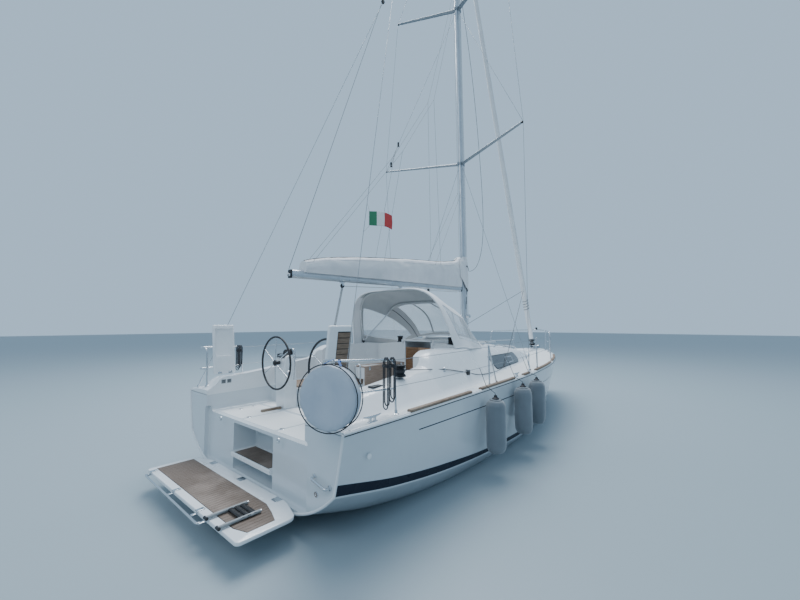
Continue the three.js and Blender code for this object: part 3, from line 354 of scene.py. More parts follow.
def sheet_faces(lines, wide):
    """Faces of a sheet of two layers of points: cell by cell in both layers, then the rim."""
    back = lines * wide
    cells = []
    for i in range(lines - 1):
        for j in range(wide - 1):
            a, b = i * wide + j, i * wide + j + 1
            c, d = b + wide, a + wide
            cells += [(a, b, c, d), (back + d, back + c, back + b, back + a)]
    rim = list(range(wide)) + [i * wide + wide - 1 for i in range(1, lines)]
    rim += [(lines - 1) * wide + j for j in range(wide - 2, -1, -1)]
    rim += [i * wide for i in range(lines - 2, 0, -1)]
    return cells, [(a, back + a, back + b, b) for a, b in zip(rim, rim[1:] + rim[:1])]


# Paths

def arc_corners(points, radius, steps=5):
    """The path with each corner replaced by a short arc."""
    path = [Vector(p) for p in points]
    result = [path[0]]
    for before, corner, after in zip(path, path[1:], path[2:]):
        to_before, to_after = before - corner, after - corner
        reach = min(radius, to_before.length * 0.45, to_after.length * 0.45)
        start = corner + to_before.normalized() * reach
        end = corner + to_after.normalized() * reach
        for k in range(steps + 1):
            t = k / steps
            result.append(start * (1 - t) ** 2 + corner * 2 * t * (1 - t) + end * t * t)
    result.append(path[-1])
    return result


def rounded_loop(corners, radius, steps):
    """The closed outline with each corner replaced by a short arc."""
    halfway = corners[-1].lerp(corners[0], 0.5)
    return arc_corners([halfway, *corners, halfway], radius, steps)[:-1]


def smooth_path(points, steps=8):
    """A smooth curve through all the points."""
    path = [Vector(p) for p in points]
    ends = [path[0] * 2 - path[1], *path, path[-1] * 2 - path[-2]]
    result = []
    for a, b, c, d in zip(ends, ends[1:], ends[2:], ends[3:]):
        for k in range(steps):
            t = k / steps
            result.append(0.5 * ((2 * b) + (c - a) * t + (2 * a - 5 * b + 4 * c - d) * t * t
                                 + (3 * b - a - 3 * c + d) * t ** 3))
    result.append(path[-1])
    return result


def sagging(start, end, drop, steps=14):
    start, end = Vector(start), Vector(end)
    return [start.lerp(end, k / steps) - Vector((0, 0, 4 * drop * (k / steps) * (1 - k / steps)))
            for k in range(steps + 1)]


def mirrored(points, side):
    return [(p[0], p[1] * side, p[2]) for p in points]


def smooth_table(rows, x):
    """All columns of a table at x, joined smoothly and without overshoot."""
    table = np.array(rows, float)
    xs = table[:, 0]
    steps = np.diff(xs)
    slopes = np.diff(table, axis=0) / steps[:, None]
    tangents = np.zeros_like(table)
    tangents[0], tangents[-1] = slopes[0], slopes[-1]
    for i in range(1, len(xs) - 1):
        before, after = slopes[i - 1], slopes[i]
        same = before * after > 0
        wide, near = 2 * steps[i] + steps[i - 1], steps[i] + 2 * steps[i - 1]
        safe_before = np.where(same, before, 1)
        safe_after = np.where(same, after, 1)
        tangents[i] = np.where(same, (wide + near) / (wide / safe_before + near / safe_after), 0)
    i = int(np.clip(np.searchsorted(xs, x) - 1, 0, len(xs) - 2))
    t = (x - xs[i]) / steps[i]
    return (table[i] * (2 * t ** 3 - 3 * t ** 2 + 1) + tangents[i] * steps[i] * (t ** 3 - 2 * t ** 2 + t)
            + table[i + 1] * (3 * t ** 2 - 2 * t ** 3) + tangents[i + 1] * steps[i] * (t ** 3 - t ** 2))


# Materials

class Finish:
    """A material with a principled shader, and short calls for the patterns on it."""

    def __init__(self, name, colour, roughness, metallic=0.0, coat=0.0, sheen=0.0, specular=0.5):
        self.material = bpy.data.materials.new(name)
        self.material.use_nodes = True
        self.tree = self.material.node_tree
        self.shader = self.tree.nodes["Principled BSDF"]
        self.set("Base Color", (*colour, 1))
        self.set("Roughness", roughness)
        self.set("Metallic", metallic)
        self.set("Coat Weight", coat)
        self.set("Coat Roughness", 0.08)
        self.set("Sheen Weight", sheen)
        self.set("Specular IOR Level", specular)
        self.colour = colour
        self.where = self.tree.nodes.new("ShaderNodeTexCoord").outputs["Object"]

    def set(self, socket, value):
        self.shader.inputs[socket].default_value = value

    def node(self, kind, **settings):
        made = self.tree.nodes.new(kind)
        for key, value in settings.items():
            setattr(made, key, value)
        return made

    def stretched(self, stretch):
        mapping = self.node("ShaderNodeMapping")
        mapping.inputs["Scale"].default_value = stretch
        self.tree.links.new(self.where, mapping.inputs["Vector"])
        return mapping.outputs["Vector"]

    def noise(self, scale, detail=3.0, stretch=(1, 1, 1), distortion=0.0):
        texture = self.node("ShaderNodeTexNoise")
        texture.inputs["Scale"].default_value = scale
        texture.inputs["Detail"].default_value = detail
        texture.inputs["Distortion"].default_value = distortion
        self.tree.links.new(self.stretched(stretch), texture.inputs["Vector"])
        return texture.outputs["Fac"]

    def bands(self, scale, direction, distortion):
        texture = self.node("ShaderNodeTexWave", bands_direction=direction)
        texture.inputs["Scale"].default_value = scale
        texture.inputs["Distortion"].default_value = distortion
        self.tree.links.new(self.stretched((1, 1, 1)), texture.inputs["Vector"])
        return texture.outputs["Fac"]

    def ramp(self, value, low, high, low_to=0.0, high_to=1.0):
        ranger = self.node("ShaderNodeMapRange")
        ranger.inputs["From Min"].default_value = low
        ranger.inputs["From Max"].default_value = high
        ranger.inputs["To Min"].default_value = low_to
        ranger.inputs["To Max"].default_value = high_to
        self.tree.links.new(value, ranger.inputs["Value"])
        return ranger.outputs["Result"]

    def blotches(self, colour, value):
        """The shader's colour turns to the one given where value is 1."""
        mixer = self.node("ShaderNodeMix", data_type="RGBA")
        mixer.inputs["A"].default_value = (*self.colour, 1)
        mixer.inputs["B"].default_value = (*colour, 1)
        base = self.shader.inputs["Base Color"]
        if base.links:
            self.tree.links.new(base.links[0].from_socket, mixer.inputs["A"])
        self.tree.links.new(value, mixer.inputs["Factor"])
        self.tree.links.new(mixer.outputs["Result"], base)
        return self

    def roughness_from(self, value, low, high):
        self.tree.links.new(self.ramp(value, 0.3, 0.7, low, high), self.shader.inputs["Roughness"])
        return self

    def bump(self, value, strength, distance):
        bumper = self.node("ShaderNodeBump")
        bumper.inputs["Strength"].default_value = strength
        bumper.inputs["Distance"].default_value = distance
        self.tree.links.new(value, bumper.inputs["Height"])
        normal = self.shader.inputs["Normal"]
        if normal.links:
            self.tree.links.new(normal.links[0].from_socket, bumper.inputs["Normal"])
        self.tree.links.new(bumper.outputs["Normal"], normal)
        return self

    def product(self, first, second):
        times = self.node("ShaderNodeMath", operation="MULTIPLY")
        self.tree.links.new(first, times.inputs[0])
        self.tree.links.new(second, times.inputs[1])
        return times.outputs["Value"]


def gelcoat_finish(name, colour, dirty, roughness=0.2, coat=0.35, specular=0.5):
    made = Finish(name, colour, roughness, coat=coat, specular=specular)
    made.blotches(dirty, made.ramp(made.noise(0.9, 5, (1, 1, 2.5)), 0.45, 0.75, 0, 0.55))
    made.blotches(dirty, made.ramp(made.noise(14, 6, (1, 1, 0.15)), 0.62, 0.80, 0, 0.35))
    made.roughness_from(made.noise(5, 4), roughness * 0.8, roughness * 1.5)
    made.bump(made.noise(2.2, 2), 0.06, 0.004)
    return made.material


def nonskid_finish():
    made = Finish("nonskid_gelcoat", (0.74, 0.76, 0.76), 0.55)
    made.blotches((0.60, 0.63, 0.63), made.ramp(made.noise(1.6, 5), 0.45, 0.8, 0, 0.5))
    texture = made.node("ShaderNodeTexVoronoi")
    texture.inputs["Scale"].default_value = 260
    made.tree.links.new(made.where, texture.inputs["Vector"])
    made.bump(texture.outputs["Distance"], 0.5, 0.0012)
    return made.material


def metal_finish(name, colour, roughness, streak=(1, 1, 1)):
    made = Finish(name, colour, roughness, metallic=1.0)
    grain = made.noise(40, 4, streak)
    made.roughness_from(grain, roughness * 0.7, roughness * 1.5)
    made.blotches(tuple(c * 0.75 for c in colour), made.ramp(made.noise(6, 5), 0.5, 0.8, 0, 0.6))
    made.bump(grain, 0.05, 0.0005)
    return made.material


def wood_finish(name, colour, grain_colour, worn_colour, along, roughness=0.62):
    """Wood whose grain runs along one axis: 0, 1 or 2."""
    stretch = [9.0, 9.0, 9.0]
    stretch[along] = 0.7
    made = Finish(name, colour, roughness)
    fine = made.noise(14, 8, stretch, 0.6)
    made.blotches(grain_colour, made.ramp(fine, 0.42, 0.66, 0, 0.9))
    made.blotches(worn_colour, made.ramp(made.noise(2.1, 4), 0.48, 0.72, 0, 0.6))
    made.roughness_from(fine, roughness * 0.85, min(roughness * 1.3, 0.95))
    made.bump(fine, 0.35, 0.0012)
    return made.material


def cloth_finish(name, colour, shade, thread=420, roughness=0.85, sheen=0.15):
    made = Finish(name, colour, roughness, sheen=sheen)
    made.blotches(shade, made.ramp(made.noise(3.2, 5), 0.42, 0.75, 0, 0.7))
    warp = made.bands(thread, "X", 0.4)
    weft = made.bands(thread, "Z", 0.4)
    made.bump(made.product(warp, weft), 0.25, 0.0006)
    made.bump(made.noise(7, 4), 0.25, 0.008)
    return made.material


def rubber_finish(name, colour, roughness=0.6):
    made = Finish(name, colour, roughness)
    made.blotches(tuple(min(1, c * 2.2 + 0.01) for c in colour),
                  made.ramp(made.noise(9, 5), 0.5, 0.8, 0, 0.5))
    made.bump(made.noise(160, 3), 0.2, 0.0006)
    return made.material


def rope_finish(name, colour, fleck):
    made = Finish(name, colour, 0.85, sheen=0.2)
    strands = made.bands(260, "DIAGONAL", 1.2)
    made.blotches(fleck, made.ramp(strands, 0.35, 0.75, 0, 0.8))
    made.bump(strands, 0.5, 0.0012)
    return made.material


GELCOAT = gelcoat_finish("white_gelcoat", (0.80, 0.82, 0.83), (0.66, 0.69, 0.71))
# The hull's sides: the deck's white gelcoat made greyer, as painted shade
TOPSIDES_PAINTED_SHADE = gelcoat_finish("topsides_gelcoat_painted_shade", (0.62, 0.67, 0.70), (0.55, 0.60, 0.63), 0.16)
NAVY = gelcoat_finish("navy_stripe", (0.008, 0.013, 0.026), (0.015, 0.022, 0.035), 0.25, 0, 0.2)
# Below the chine: white gelcoat painted pale grey-blue, as painted shade; the rudder takes it too
BOTTOM_PAINTED_SHADE = gelcoat_finish("bottom_gelcoat_painted_shade", (0.42, 0.46, 0.49), (0.30, 0.34, 0.36), 0.42)
NONSKID = nonskid_finish()
STEEL = metal_finish("polished_steel", (0.62, 0.65, 0.68), 0.16)
WIRE_STEEL = metal_finish("stranded_wire", (0.30, 0.32, 0.34), 0.35)
SPAR = metal_finish("anodised_spar", (0.56, 0.60, 0.64), 0.36, (1, 1, 0.05))
SPREADER = metal_finish("dull_spreader_alloy", (0.30, 0.33, 0.36), 0.42)
CAST = rubber_finish("grey_paint", (0.24, 0.26, 0.27), 0.5)
BRONZE = metal_finish("dull_bronze", (0.44, 0.31, 0.14), 0.4)
TEAK_ALONG = wood_finish("teak_fore_and_aft", (0.235, 0.165, 0.115), (0.13, 0.085, 0.055),
                         (0.33, 0.27, 0.21), 0)
# Trodden teak of the platform and the step: blotches of wear, on a base colour darkened as painted shade
TEAK_WORN_PAINTED_SHADE = wood_finish("teak_trodden_painted_shade", (0.145, 0.108, 0.082), (0.13, 0.095, 0.075), (0.31, 0.25, 0.21), 0)
CABIN_WOOD = wood_finish("varnished_cabin_wood", (0.26, 0.13, 0.055), (0.14, 0.065, 0.025),
                         (0.32, 0.17, 0.08), 2,
                         0.28)
PALE_WOOD = wood_finish("varnished_door_wood", (0.42, 0.22, 0.11), (0.30, 0.15, 0.07), (0.48, 0.27, 0.15), 2,
                        0.3)
LEAF_WOOD = wood_finish("table_wood", (0.36, 0.26, 0.20), (0.25, 0.17, 0.12), (0.42, 0.33, 0.27), 0, 0.45)
CAULK = rubber_finish("black_caulking", (0.012, 0.012, 0.012), 0.7)
BLACK = rubber_finish("black_plastic", (0.012, 0.013, 0.015), 0.45)
LEATHER_BLACK = rubber_finish("black_wheel_cover", (0.014, 0.014, 0.016), 0.55)
GLAZING = gelcoat_finish("smoked_glazing", (0.035, 0.045, 0.055), (0.06, 0.075, 0.085), 0.06)
CANVAS = cloth_finish("white_canvas", (0.80, 0.81, 0.82), (0.66, 0.68, 0.70))
HOOD_LINING = cloth_finish("hood_inner_canvas", (0.49, 0.50, 0.50), (0.40, 0.41, 0.42))
SAIL_CANVAS = cloth_finish("bag_canvas", (0.76, 0.76, 0.77), (0.63, 0.64, 0.65))
SAILCLOTH = cloth_finish("rolled_sailcloth", (0.78, 0.79, 0.80), (0.64, 0.66, 0.68), 500, 0.7)
COVER_CLOTH = cloth_finish("cover_nylon", (0.42, 0.48, 0.55), (0.33, 0.39, 0.47), 700, 0.6, 0.3)
FENDER_KNIT = cloth_finish("fender_knit", (0.16, 0.19, 0.215), (0.12, 0.145, 0.165), 260, 0.95, 0.5)
PIPING = rubber_finish("black_piping", (0.01, 0.011, 0.016), 0.6)
ROPE_BLACK = rope_finish("black_rope", (0.010, 0.011, 0.014), (0.05, 0.055, 0.065))
ROPE_GREY = rope_finish("grey_line", (0.16, 0.17, 0.18), (0.30, 0.31, 0.32))
ROPE_WHITE = rope_finish("white_line", (0.55, 0.56, 0.56), (0.35, 0.37, 0.39))
STRAP_BLUE = cloth_finish("blue_webbing", (0.03, 0.10, 0.30), (0.02, 0.07, 0.22))
DRIVE_PAINT = gelcoat_finish("saildrive_paint", (0.30, 0.31, 0.32), (0.22, 0.23, 0.24), 0.45, 0)
KEEL_PAINT = gelcoat_finish("keel_paint", (0.20, 0.22, 0.23), (0.15, 0.165, 0.175), 0.5, 0)
WINCH_BLACK = metal_finish("winch_black", (0.035, 0.037, 0.040), 0.34)


def clear_vinyl():
    made = Finish("clear_window_vinyl", (0.86, 0.90, 0.93), 0.12)
    made.set("Alpha", 0.26)
    made.bump(made.noise(5, 4), 0.25, 0.01)
    return made.material


CLEAR_VINYL = clear_vinyl()
FLAG_GREEN = cloth_finish("flag_green", (0.03, 0.20, 0.10), (0.02, 0.14, 0.07))
FLAG_WHITE = cloth_finish("flag_white", (0.72, 0.73, 0.72), (0.60, 0.61, 0.61))
FLAG_RED = cloth_finish("flag_red", (0.48, 0.05, 0.05), (0.36, 0.03, 0.035))

make_camera()
make_studio()

# Hull

HULL_LENGTH = 9.970
TRANSOM_X = -HULL_LENGTH / 2
BOW_X = HULL_LENGTH / 2
STEM_FROM_X = 3.2
STEM_RAKE = 0.12
HULL_STATIONS = 110
COVE_Z = 0.95
COVE_HALF = 0.007
COVE_FROM_X = -3.84
COVE_TO_X = 4.30

# x, half breadth at the sheer, half breadth and height of the chine,
# height of the bottom on the centreline, fullness of the bottom
HULL_SECTIONS = [
    (-4.985, 1.840, 1.715, 0.530, 0.110, 4.0), (-4.200, 1.860, 1.755, 0.390, -0.070, 5.0),
    (-3.300, 1.868, 1.770, 0.280, -0.230, 5.0), (-2.000, 1.868, 1.750, 0.185, -0.370, 4.5),
    (-0.600, 1.840, 1.700, 0.140, -0.450, 4.0), (0.700, 1.730, 1.540, 0.135, -0.465, 3.2),
    (2.000, 1.490, 1.220, 0.145, -0.420, 2.5), (3.200, 1.110, 0.820, 0.165, -0.330, 2.0),
    (4.150, 0.660, 0.440, 0.190, -0.210, 1.6), (4.700, 0.300, 0.185, 0.215, -0.090, 1.4),
    (4.985, 0.036, 0.022, 0.240, 0.020, 1.2),
]
# x, top of the dark stripe
STRIPE_TOP = [(-4.985, 0.660), (-4.200, 0.505), (-3.750, 0.440), (-3.300, 0.388), (-2.000, 0.269),
              (-0.600, 0.234), (0.700, 0.230), (2.000, 0.242), (4.985, 0.354)]
BOTTOM_STEPS = [0, 0.12, 0.24, 0.36, 0.46, 0.56, 0.64, 0.71, 0.78, 0.84, 0.89, 0.93, 0.965, 0.988, 1.0]


def sheer_z(x):
    t = (x - TRANSOM_X) / HULL_LENGTH
    return 1.125 + 0.165 * t + 0.050 * t * t


def sheer_half(x):
    return float(smooth_table(HULL_SECTIONS, x)[1])


def topside_point(sheer, chine, chine_z, x, z):
    share = (z - chine_z) / (sheer_z(x) - chine_z)
    return chine + (sheer - chine) * share + 0.035 * share * (1 - share)


def hull_ring(x):
    _, sheer, chine, chine_z, keel_z, fullness = smooth_table(HULL_SECTIONS, x)
    half = [(chine * step, keel_z + (chine_z - keel_z) * step ** fullness) for step in BOTTOM_STEPS]
    stripe_top = float(smooth_table(STRIPE_TOP, x)[1])
    levels = [chine_z + 0.018, stripe_top, COVE_Z - COVE_HALF, COVE_Z + COVE_HALF, sheer_z(x)]
    half += [(topside_point(sheer, chine, chine_z, x, z), z) for z in levels]
    rake = 0 if x <= STEM_FROM_X else STEM_RAKE * (x - STEM_FROM_X) / (BOW_X - STEM_FROM_X)
    port = [(x + rake * (z - sheer_z(x)), y, z) for y, z in half]
    starboard = [(px, -y, z) for px, y, z in reversed(port[1:])]
    return port + starboard


def hull_paint(row, x):
    """The material number of the strip above a row, counted from the keel."""
    chine_row = len(BOTTOM_STEPS) - 1
    # Material 1, under the chine, is gelcoat greyed as painted shade; 0 is the sides' gelcoat, also greyed as
    # painted shade; 2 is the navy stripe and cove line
    if row < chine_row:
        return 1
    if row == chine_row + 1:
        return 2
    if row == chine_row + 3 and COVE_FROM_X < x < COVE_TO_X:
        return 2
    return 0


def box_cutter(low, high, round_by=0.03, grow=0.0):
    more = Vector((grow, grow, grow))
    tool = Workpiece()
    tool.block(Vector(low) - more, Vector(high) + more, round_by, steps=3)
    return tool.piece("cutter")


HELM_SOLE_Z = 0.880
WELL_SOLE_Z = 0.750
SEAT_Z = 1.150
COCKPIT_HALF = 1.220
WELL_HALF = 0.550
HELM_FORWARD_X = -3.920
BULKHEAD_X = -1.500
WING_HALF = 1.080
WING_END_X = -3.020
ABOVE_ALL = 2.500
# The hull's cut faces stand this far behind the deck's, so that no two lie in one plane
HULL_BEHIND_DECK = 0.001
# Recess for the folded platform, niche over the step and locker under it:
# half width, low and high z, depth, rounding
TRANSOM_CUTS = [(1.267, 0.225, HELM_SOLE_Z + 0.08, 0.07, 0.03),
                (0.495, 0.46, HELM_SOLE_Z - 0.04, 0.40, 0.025),
                (0.495, 0.245, 0.395, 0.33, 0.015)]


def cockpit_cutters(grow=0.0):
    """Helm sole, seats, space between the seats, well, doorway, hatchway below it, and anchor locker."""
    half, wing, well = COCKPIT_HALF, WING_HALF, WELL_HALF
    boxes = [((TRANSOM_X - 0.2, -half, HELM_SOLE_Z), (HELM_FORWARD_X, half, ABOVE_ALL), 0.05),
             ((HELM_FORWARD_X - 0.06, -half, SEAT_Z), (WING_END_X, half, ABOVE_ALL), 0.05),
             ((WING_END_X - 0.08, -wing, SEAT_Z), (BULKHEAD_X, wing, ABOVE_ALL), 0.05),
             ((HELM_FORWARD_X - 0.06, -well, WELL_SOLE_Z), (BULKHEAD_X, well, ABOVE_ALL), 0.04),
             ((BULKHEAD_X - 0.08, -0.32, 1.01), (-0.76, 0.32, ABOVE_ALL), 0.01),
             ((BULKHEAD_X + 0.06, -0.32, -0.18), (-0.76, 0.32, 1.05), 0.01),
             ((3.55, -0.16, 1.0), (4.07, 0.16, ABOVE_ALL), 0.01)]
    return [box_cutter(low, high, round_by, grow) for low, high, round_by in boxes]


def build_hull():
    stations = [TRANSOM_X + HULL_LENGTH * (0.5 - 0.5 * math.cos(math.pi * k / HULL_STATIONS)) * 0.6
                + HULL_LENGTH * k / HULL_STATIONS * 0.4 for k in range(HULL_STATIONS + 1)]
    rings = [hull_ring(x) for x in stations]
    count = len(rings[0])
    port_rows = len(BOTTOM_STEPS) + 5
    points = [p for ring in rings for p in ring]
    faces, paints = [], []
    for s in range(HULL_STATIONS):
        for k in range(count):
            n = (k + 1) % count
            faces.append((s * count + k, s * count + n, (s + 1) * count + n, (s + 1) * count + k))
            row = k if k < port_rows - 1 else count - 1 - k
            paints.append(0 if k == port_rows - 1 else hull_paint(row, (stations[s] + stations[s + 1]) / 2))
    faces.append(tuple(range(count)))
    faces.append(tuple(reversed(range(len(points) - count, len(points)))))
    paints += [0, 0]
    # Materials 0 and 1, the sides' and the bottom's gelcoat, are greyed as painted shade
    hull = new_piece_from_data("hull_shell", points, faces, [TOPSIDES_PAINTED_SHADE, BOTTOM_PAINTED_SHADE, NAVY, GELCOAT], True, paints)
    turn_faces_out(hull)
    # Faces left by the cutters take material 0, the sides' gelcoat greyed as painted shade
    for tool in cockpit_cutters(HULL_BEHIND_DECK):
        cut(hull, tool)
    for half, low, high, depth, round_by in TRANSOM_CUTS:
        cut(hull, box_cutter((TRANSOM_X - 0.05, -half, low), (TRANSOM_X + depth, half, high), round_by))
    sharpen(hull, 32)
    finish(hull, "yacht", ["hull"])


def turn_faces_out(piece):
    bm = bmesh.new()
    bm.from_mesh(piece.data)
    bmesh.ops.remove_doubles(bm, verts=bm.verts, dist=1e-5)
    bmesh.ops.recalc_face_normals(bm, faces=bm.faces)
    bm.to_mesh(piece.data)
    bm.free()


# Deck: x, y and z of the side deck's inner edge, of the wall's top and of the shoulder, then z of the crown

DECK_SECTIONS = [
    (-4.985, 1.700, 1.162, 1.610, 1.175, 1.450, 1.185, 1.185),
                 (-4.890, 1.700, 1.165, 1.560, 1.215, 1.420, 1.235, 1.235),
    (-4.770, 1.700, 1.168, 1.500, 1.335, 1.400, 1.358, 1.358),
                 (-4.500, 1.700, 1.174, 1.485, 1.350, 1.390, 1.374, 1.374),
    (-3.300, 1.690, 1.195, 1.470, 1.480, 1.370, 1.525, 1.525),
                 (-3.130, 1.680, 1.198, 1.460, 1.500, 1.360, 1.550, 1.550),
    (-3.010, 1.660, 1.200, 1.435, 1.570, 1.330, 1.690, 1.690),
                 (-2.820, 1.640, 1.205, 1.400, 1.620, 1.290, 1.765, 1.765),
    (-1.800, 1.560, 1.222, 1.330, 1.600, 1.230, 1.765, 1.800),
                 (-1.450, 1.480, 1.228, 1.250, 1.560, 1.130, 1.735, 1.808),
    (-0.700, 1.300, 1.240, 1.130, 1.545, 1.010, 1.690, 1.780),
                 (0.250, 1.180, 1.262, 1.040, 1.545, 0.920, 1.650, 1.750),
    (1.200, 1.020, 1.285, 0.900, 1.500, 0.780, 1.575, 1.660),
                 (2.000, 0.800, 1.305, 0.700, 1.420, 0.600, 1.470, 1.540),
    (2.600, 0.560, 1.325, 0.480, 1.365, 0.420, 1.385, 1.430),
                 (2.950, 0.400, 1.335, 0.350, 1.345, 0.300, 1.352, 1.372),
    (4.150, 0.250, 1.350, 0.200, 1.354, 0.150, 1.358, 1.362),
                 (4.985, 0.016, 1.366, 0.012, 1.367, 0.006, 1.368, 1.368),
]
DECK_STATIONS = 170
CROWN_STEPS = 5


def deck_row(x):
    return [float(v) for v in smooth_table(DECK_SECTIONS, x)]


def deck_half(x):
    """Points across the port half of the deck at x, from the hull's edge to the centreline."""
    _, base_y, base_z, wall_y, wall_z, shoulder_y, shoulder_z, crown_z = deck_row(x)
    edge = sheer_half(x)
    corners = [(0, edge - 0.002, sheer_z(x) - 0.006), (0, edge - 0.002, sheer_z(x) + 0.017),
               (0, max(edge - 0.014, 0.02), sheer_z(x) + 0.028), (0, base_y, base_z), (0, wall_y, wall_z),
               (0, shoulder_y, shoulder_z)]
    crown = []
    for k in range(1, CROWN_STEPS + 1):
        share = 1 - k / CROWN_STEPS
        crown.append((0, shoulder_y * share, crown_z - (crown_z - shoulder_z) * share ** 1.6))
    rounded = arc_corners(corners[2:] + crown[:1], 0.075, 3)
    return [(p[1], p[2]) for p in corners[:2] + [tuple(v) for v in rounded] + crown[1:]]


def deck_height(x, y):
    """Height of the deck's surface at a point."""
    half = deck_half(x)
    y = abs(y)
    for (y0, z0), (y1, z1) in zip(half[2:], half[3:]):
        if y1 <= y <= y0 and y0 > y1:
            return z1 + (z0 - z1) * (y - y1) / (y0 - y1)
    return half[2][1] if y > half[2][0] else half[-1][1]


def build_deck():
    stations = sorted({TRANSOM_X + HULL_LENGTH * k / DECK_STATIONS for k in range(DECK_STATIONS + 1)}
                      | {-3.13 + 0.03 * k for k in range(11)})
    rings = []
    for x in stations:
        half = deck_half(x)
        port = [(x, y, z) for y, z in half]
        rings.append(port + [(px, -y, z) for px, y, z in reversed(port[:-1])])
    shape = Workpiece()
    shape.loft(rings, paint=0)
    deck = shape.piece("deck_moulding", GELCOAT, NONSKID, flat_angle=40)
    hood = box_cutter((-0.83, -0.42, 1.70), (-0.10, 0.42, 1.89), 0.03)
    combine(deck, hood, "UNION")
    cut(deck, box_cutter((-0.85, -0.358, 1.81), (-0.21, 0.358, 1.848), 0.004))
    for tool in cockpit_cutters():
        cut(deck, tool)
    lid = Workpiece()
    outline = [(3.514, -0.306), (4.106, -0.196), (4.106, 0.196), (3.514, 0.306)]
    lid.loft([[(x, y, z) for x, y in outline] for z in (1.321, 2.0)])
    cut(deck, lid.piece("cutter"))
    sharpen(deck, 34)
    paint_walkways(deck)
    finish(deck, "yacht", ["deck"])


def paint_walkways(deck):
    """Gives the flat walking areas of the deck the rough finish, inside a smooth margin."""
    for face in deck.data.polygons:
        centre = face.center
        if face.normal.z < 0.97:
            continue
        row = deck_row(min(max(centre.x, TRANSOM_X), BOW_X))
        base_y = row[1]
        edge = sheer_half(centre.x)
        on_side = base_y + 0.04 < abs(centre.y) < edge - 0.10 and -4.3 < centre.x < 4.2
        on_roof = abs(centre.y) < row[5] - 0.12 and 0.75 < centre.x < 2.5
        if on_side or on_roof:
            face.material_index = 1


build_hull()
build_deck()

# Rim of the transom, outlets, grab handle and drain

def transom_rim():
    ring = hull_ring(TRANSOM_X)
    top = len(BOTTOM_STEPS) + 4
    outline = [ring[-k] for k in range(top, 0, -1)] + [ring[k] for k in range(0, top + 1)]
    path = [Vector((TRANSOM_X - 0.003, p[1] * 0.992, p[2] + 0.010)) for p in outline]
    rim = tubes("transom_rim", [arc_corners(path, 0.06, 3)], 0.016, GELCOAT, 10)
    finish(rim, "yacht")


def transom_fittings():
    outlets = Workpiece()
    for y, z in ((-1.43, 0.49), (-0.72, 0.86), (0.75, 0.86)):
        outlets.turned([(0, 0.004), (0.010, 0.006), (0.013, 0.010), (0.026, 0.010), (0.030, 0.002),
                        (0.030, -0.006)],
                       (TRANSOM_X, y, z), (-1, 0, 0), 20)
    finish(outlets.piece("transom_outlets", STEEL), "yacht")
    handle = [(TRANSOM_X + 0.01, -1.400, 0.655), (TRANSOM_X - 0.05, -1.400, 0.650),
              (TRANSOM_X - 0.058, -1.640, 0.605), (TRANSOM_X + 0.01, -1.640, 0.610)]
    finish(tubes("transom_grab_handle", [arc_corners(handle, 0.06)], 0.0135, STEEL), "yacht")
    pads = Workpiece()
    for x, y, z in (handle[0], handle[3]):
        pads.turned([(0, 0), (0.026, 0), (0.026, 0.008), (0.018, 0.012), (0, 0.012)], (x - 0.011, y, z),
                    (-1, 0, 0), 20)
    finish(pads.piece("grab_handle_pads", STEEL), "yacht")
    drain = Workpiece()
    drain.turned([(0, 0.004), (0.018, 0.004), (0.028, 0.001), (0.028, -0.006)],
                 (-4.66, -1.842, 0.86), (0, -1, 0.02), 20)
    finish(drain.piece("side_outlet", GELCOAT), "yacht")


transom_rim()
transom_fittings()

# Non-slip panels and teak on the soles

def plate(shape, outline, low, high, paint=0, round_by=0.0):
    """A flat plate with its outline in X and Y."""
    corners = [Vector((x, y, 0)) for x, y in outline]
    if round_by:
        corners = rounded_loop(corners, round_by, 4)
    tapered = [(0.0, low), (0.0, high - 0.001), (0.0012, high)]
    middle = sum(corners, Vector()) / len(corners)
    rings = []
    for inset, z in tapered:
        rings.append([p + (middle - p).normalized() * inset + Vector((0, 0, z)) for p in corners])
    shape.loft(rings, paint)


def rectangle(x0, x1, y0, y1):
    return [(x0, y0), (x1, y0), (x1, y1), (x0, y1)]


# Ends of the two vent grilles, and x and y of the drains
VENT_XS = [(-4.785, -4.720), (-4.700, -4.635)]
SOLE_DRAINS = [(-4.575, 1.005), (-4.345, 1.050), (-4.730, 0.455), (-4.745, -0.405)]


def sole_panels():
    panels = Workpiece()
    for y0, y1 in ((-1.12, -0.44), (-0.40, 0.40), (0.44, 1.12)):
        plate(panels, rectangle(-4.84, -4.24, y0, y1), HELM_SOLE_Z - 0.002, HELM_SOLE_Z + 0.0025, 0, 0.04)
    for y0, y1 in ((0.78, 1.12), (-1.12, -0.78), (-0.44, 0.44)):
        plate(panels, rectangle(-4.18, -3.97, y0, y1), HELM_SOLE_Z - 0.002, HELM_SOLE_Z + 0.0025, 0, 0.04)
    for side in (1, -1):
        plate(panels, rectangle(-3.84, -1.60, side * 0.14, side * 0.50), WELL_SOLE_Z - 0.002,
              WELL_SOLE_Z + 0.0025,
              0, 0.03)
        plate(panels, rectangle(-2.98, -1.56, side * 0.60, side * 1.03), SEAT_Z - 0.002, SEAT_Z + 0.0025, 0,
              0.03)
    finish(panels.piece("cockpit_nonslip_panels", NONSKID), "yacht")


def foot_bars():
    bars = Workpiece()
    for side in (1, -1):
        bars.loft([[(x, side * y, z)
                    for y, z in ((0.55, 0.880), (0.60, 0.880), (0.595, 0.915), (0.555, 0.915))]
                   for x in (-4.48, -4.47, -4.18, -4.17)])
    finish(bars.piece("helm_foot_bars", TEAK_ALONG), "yacht")


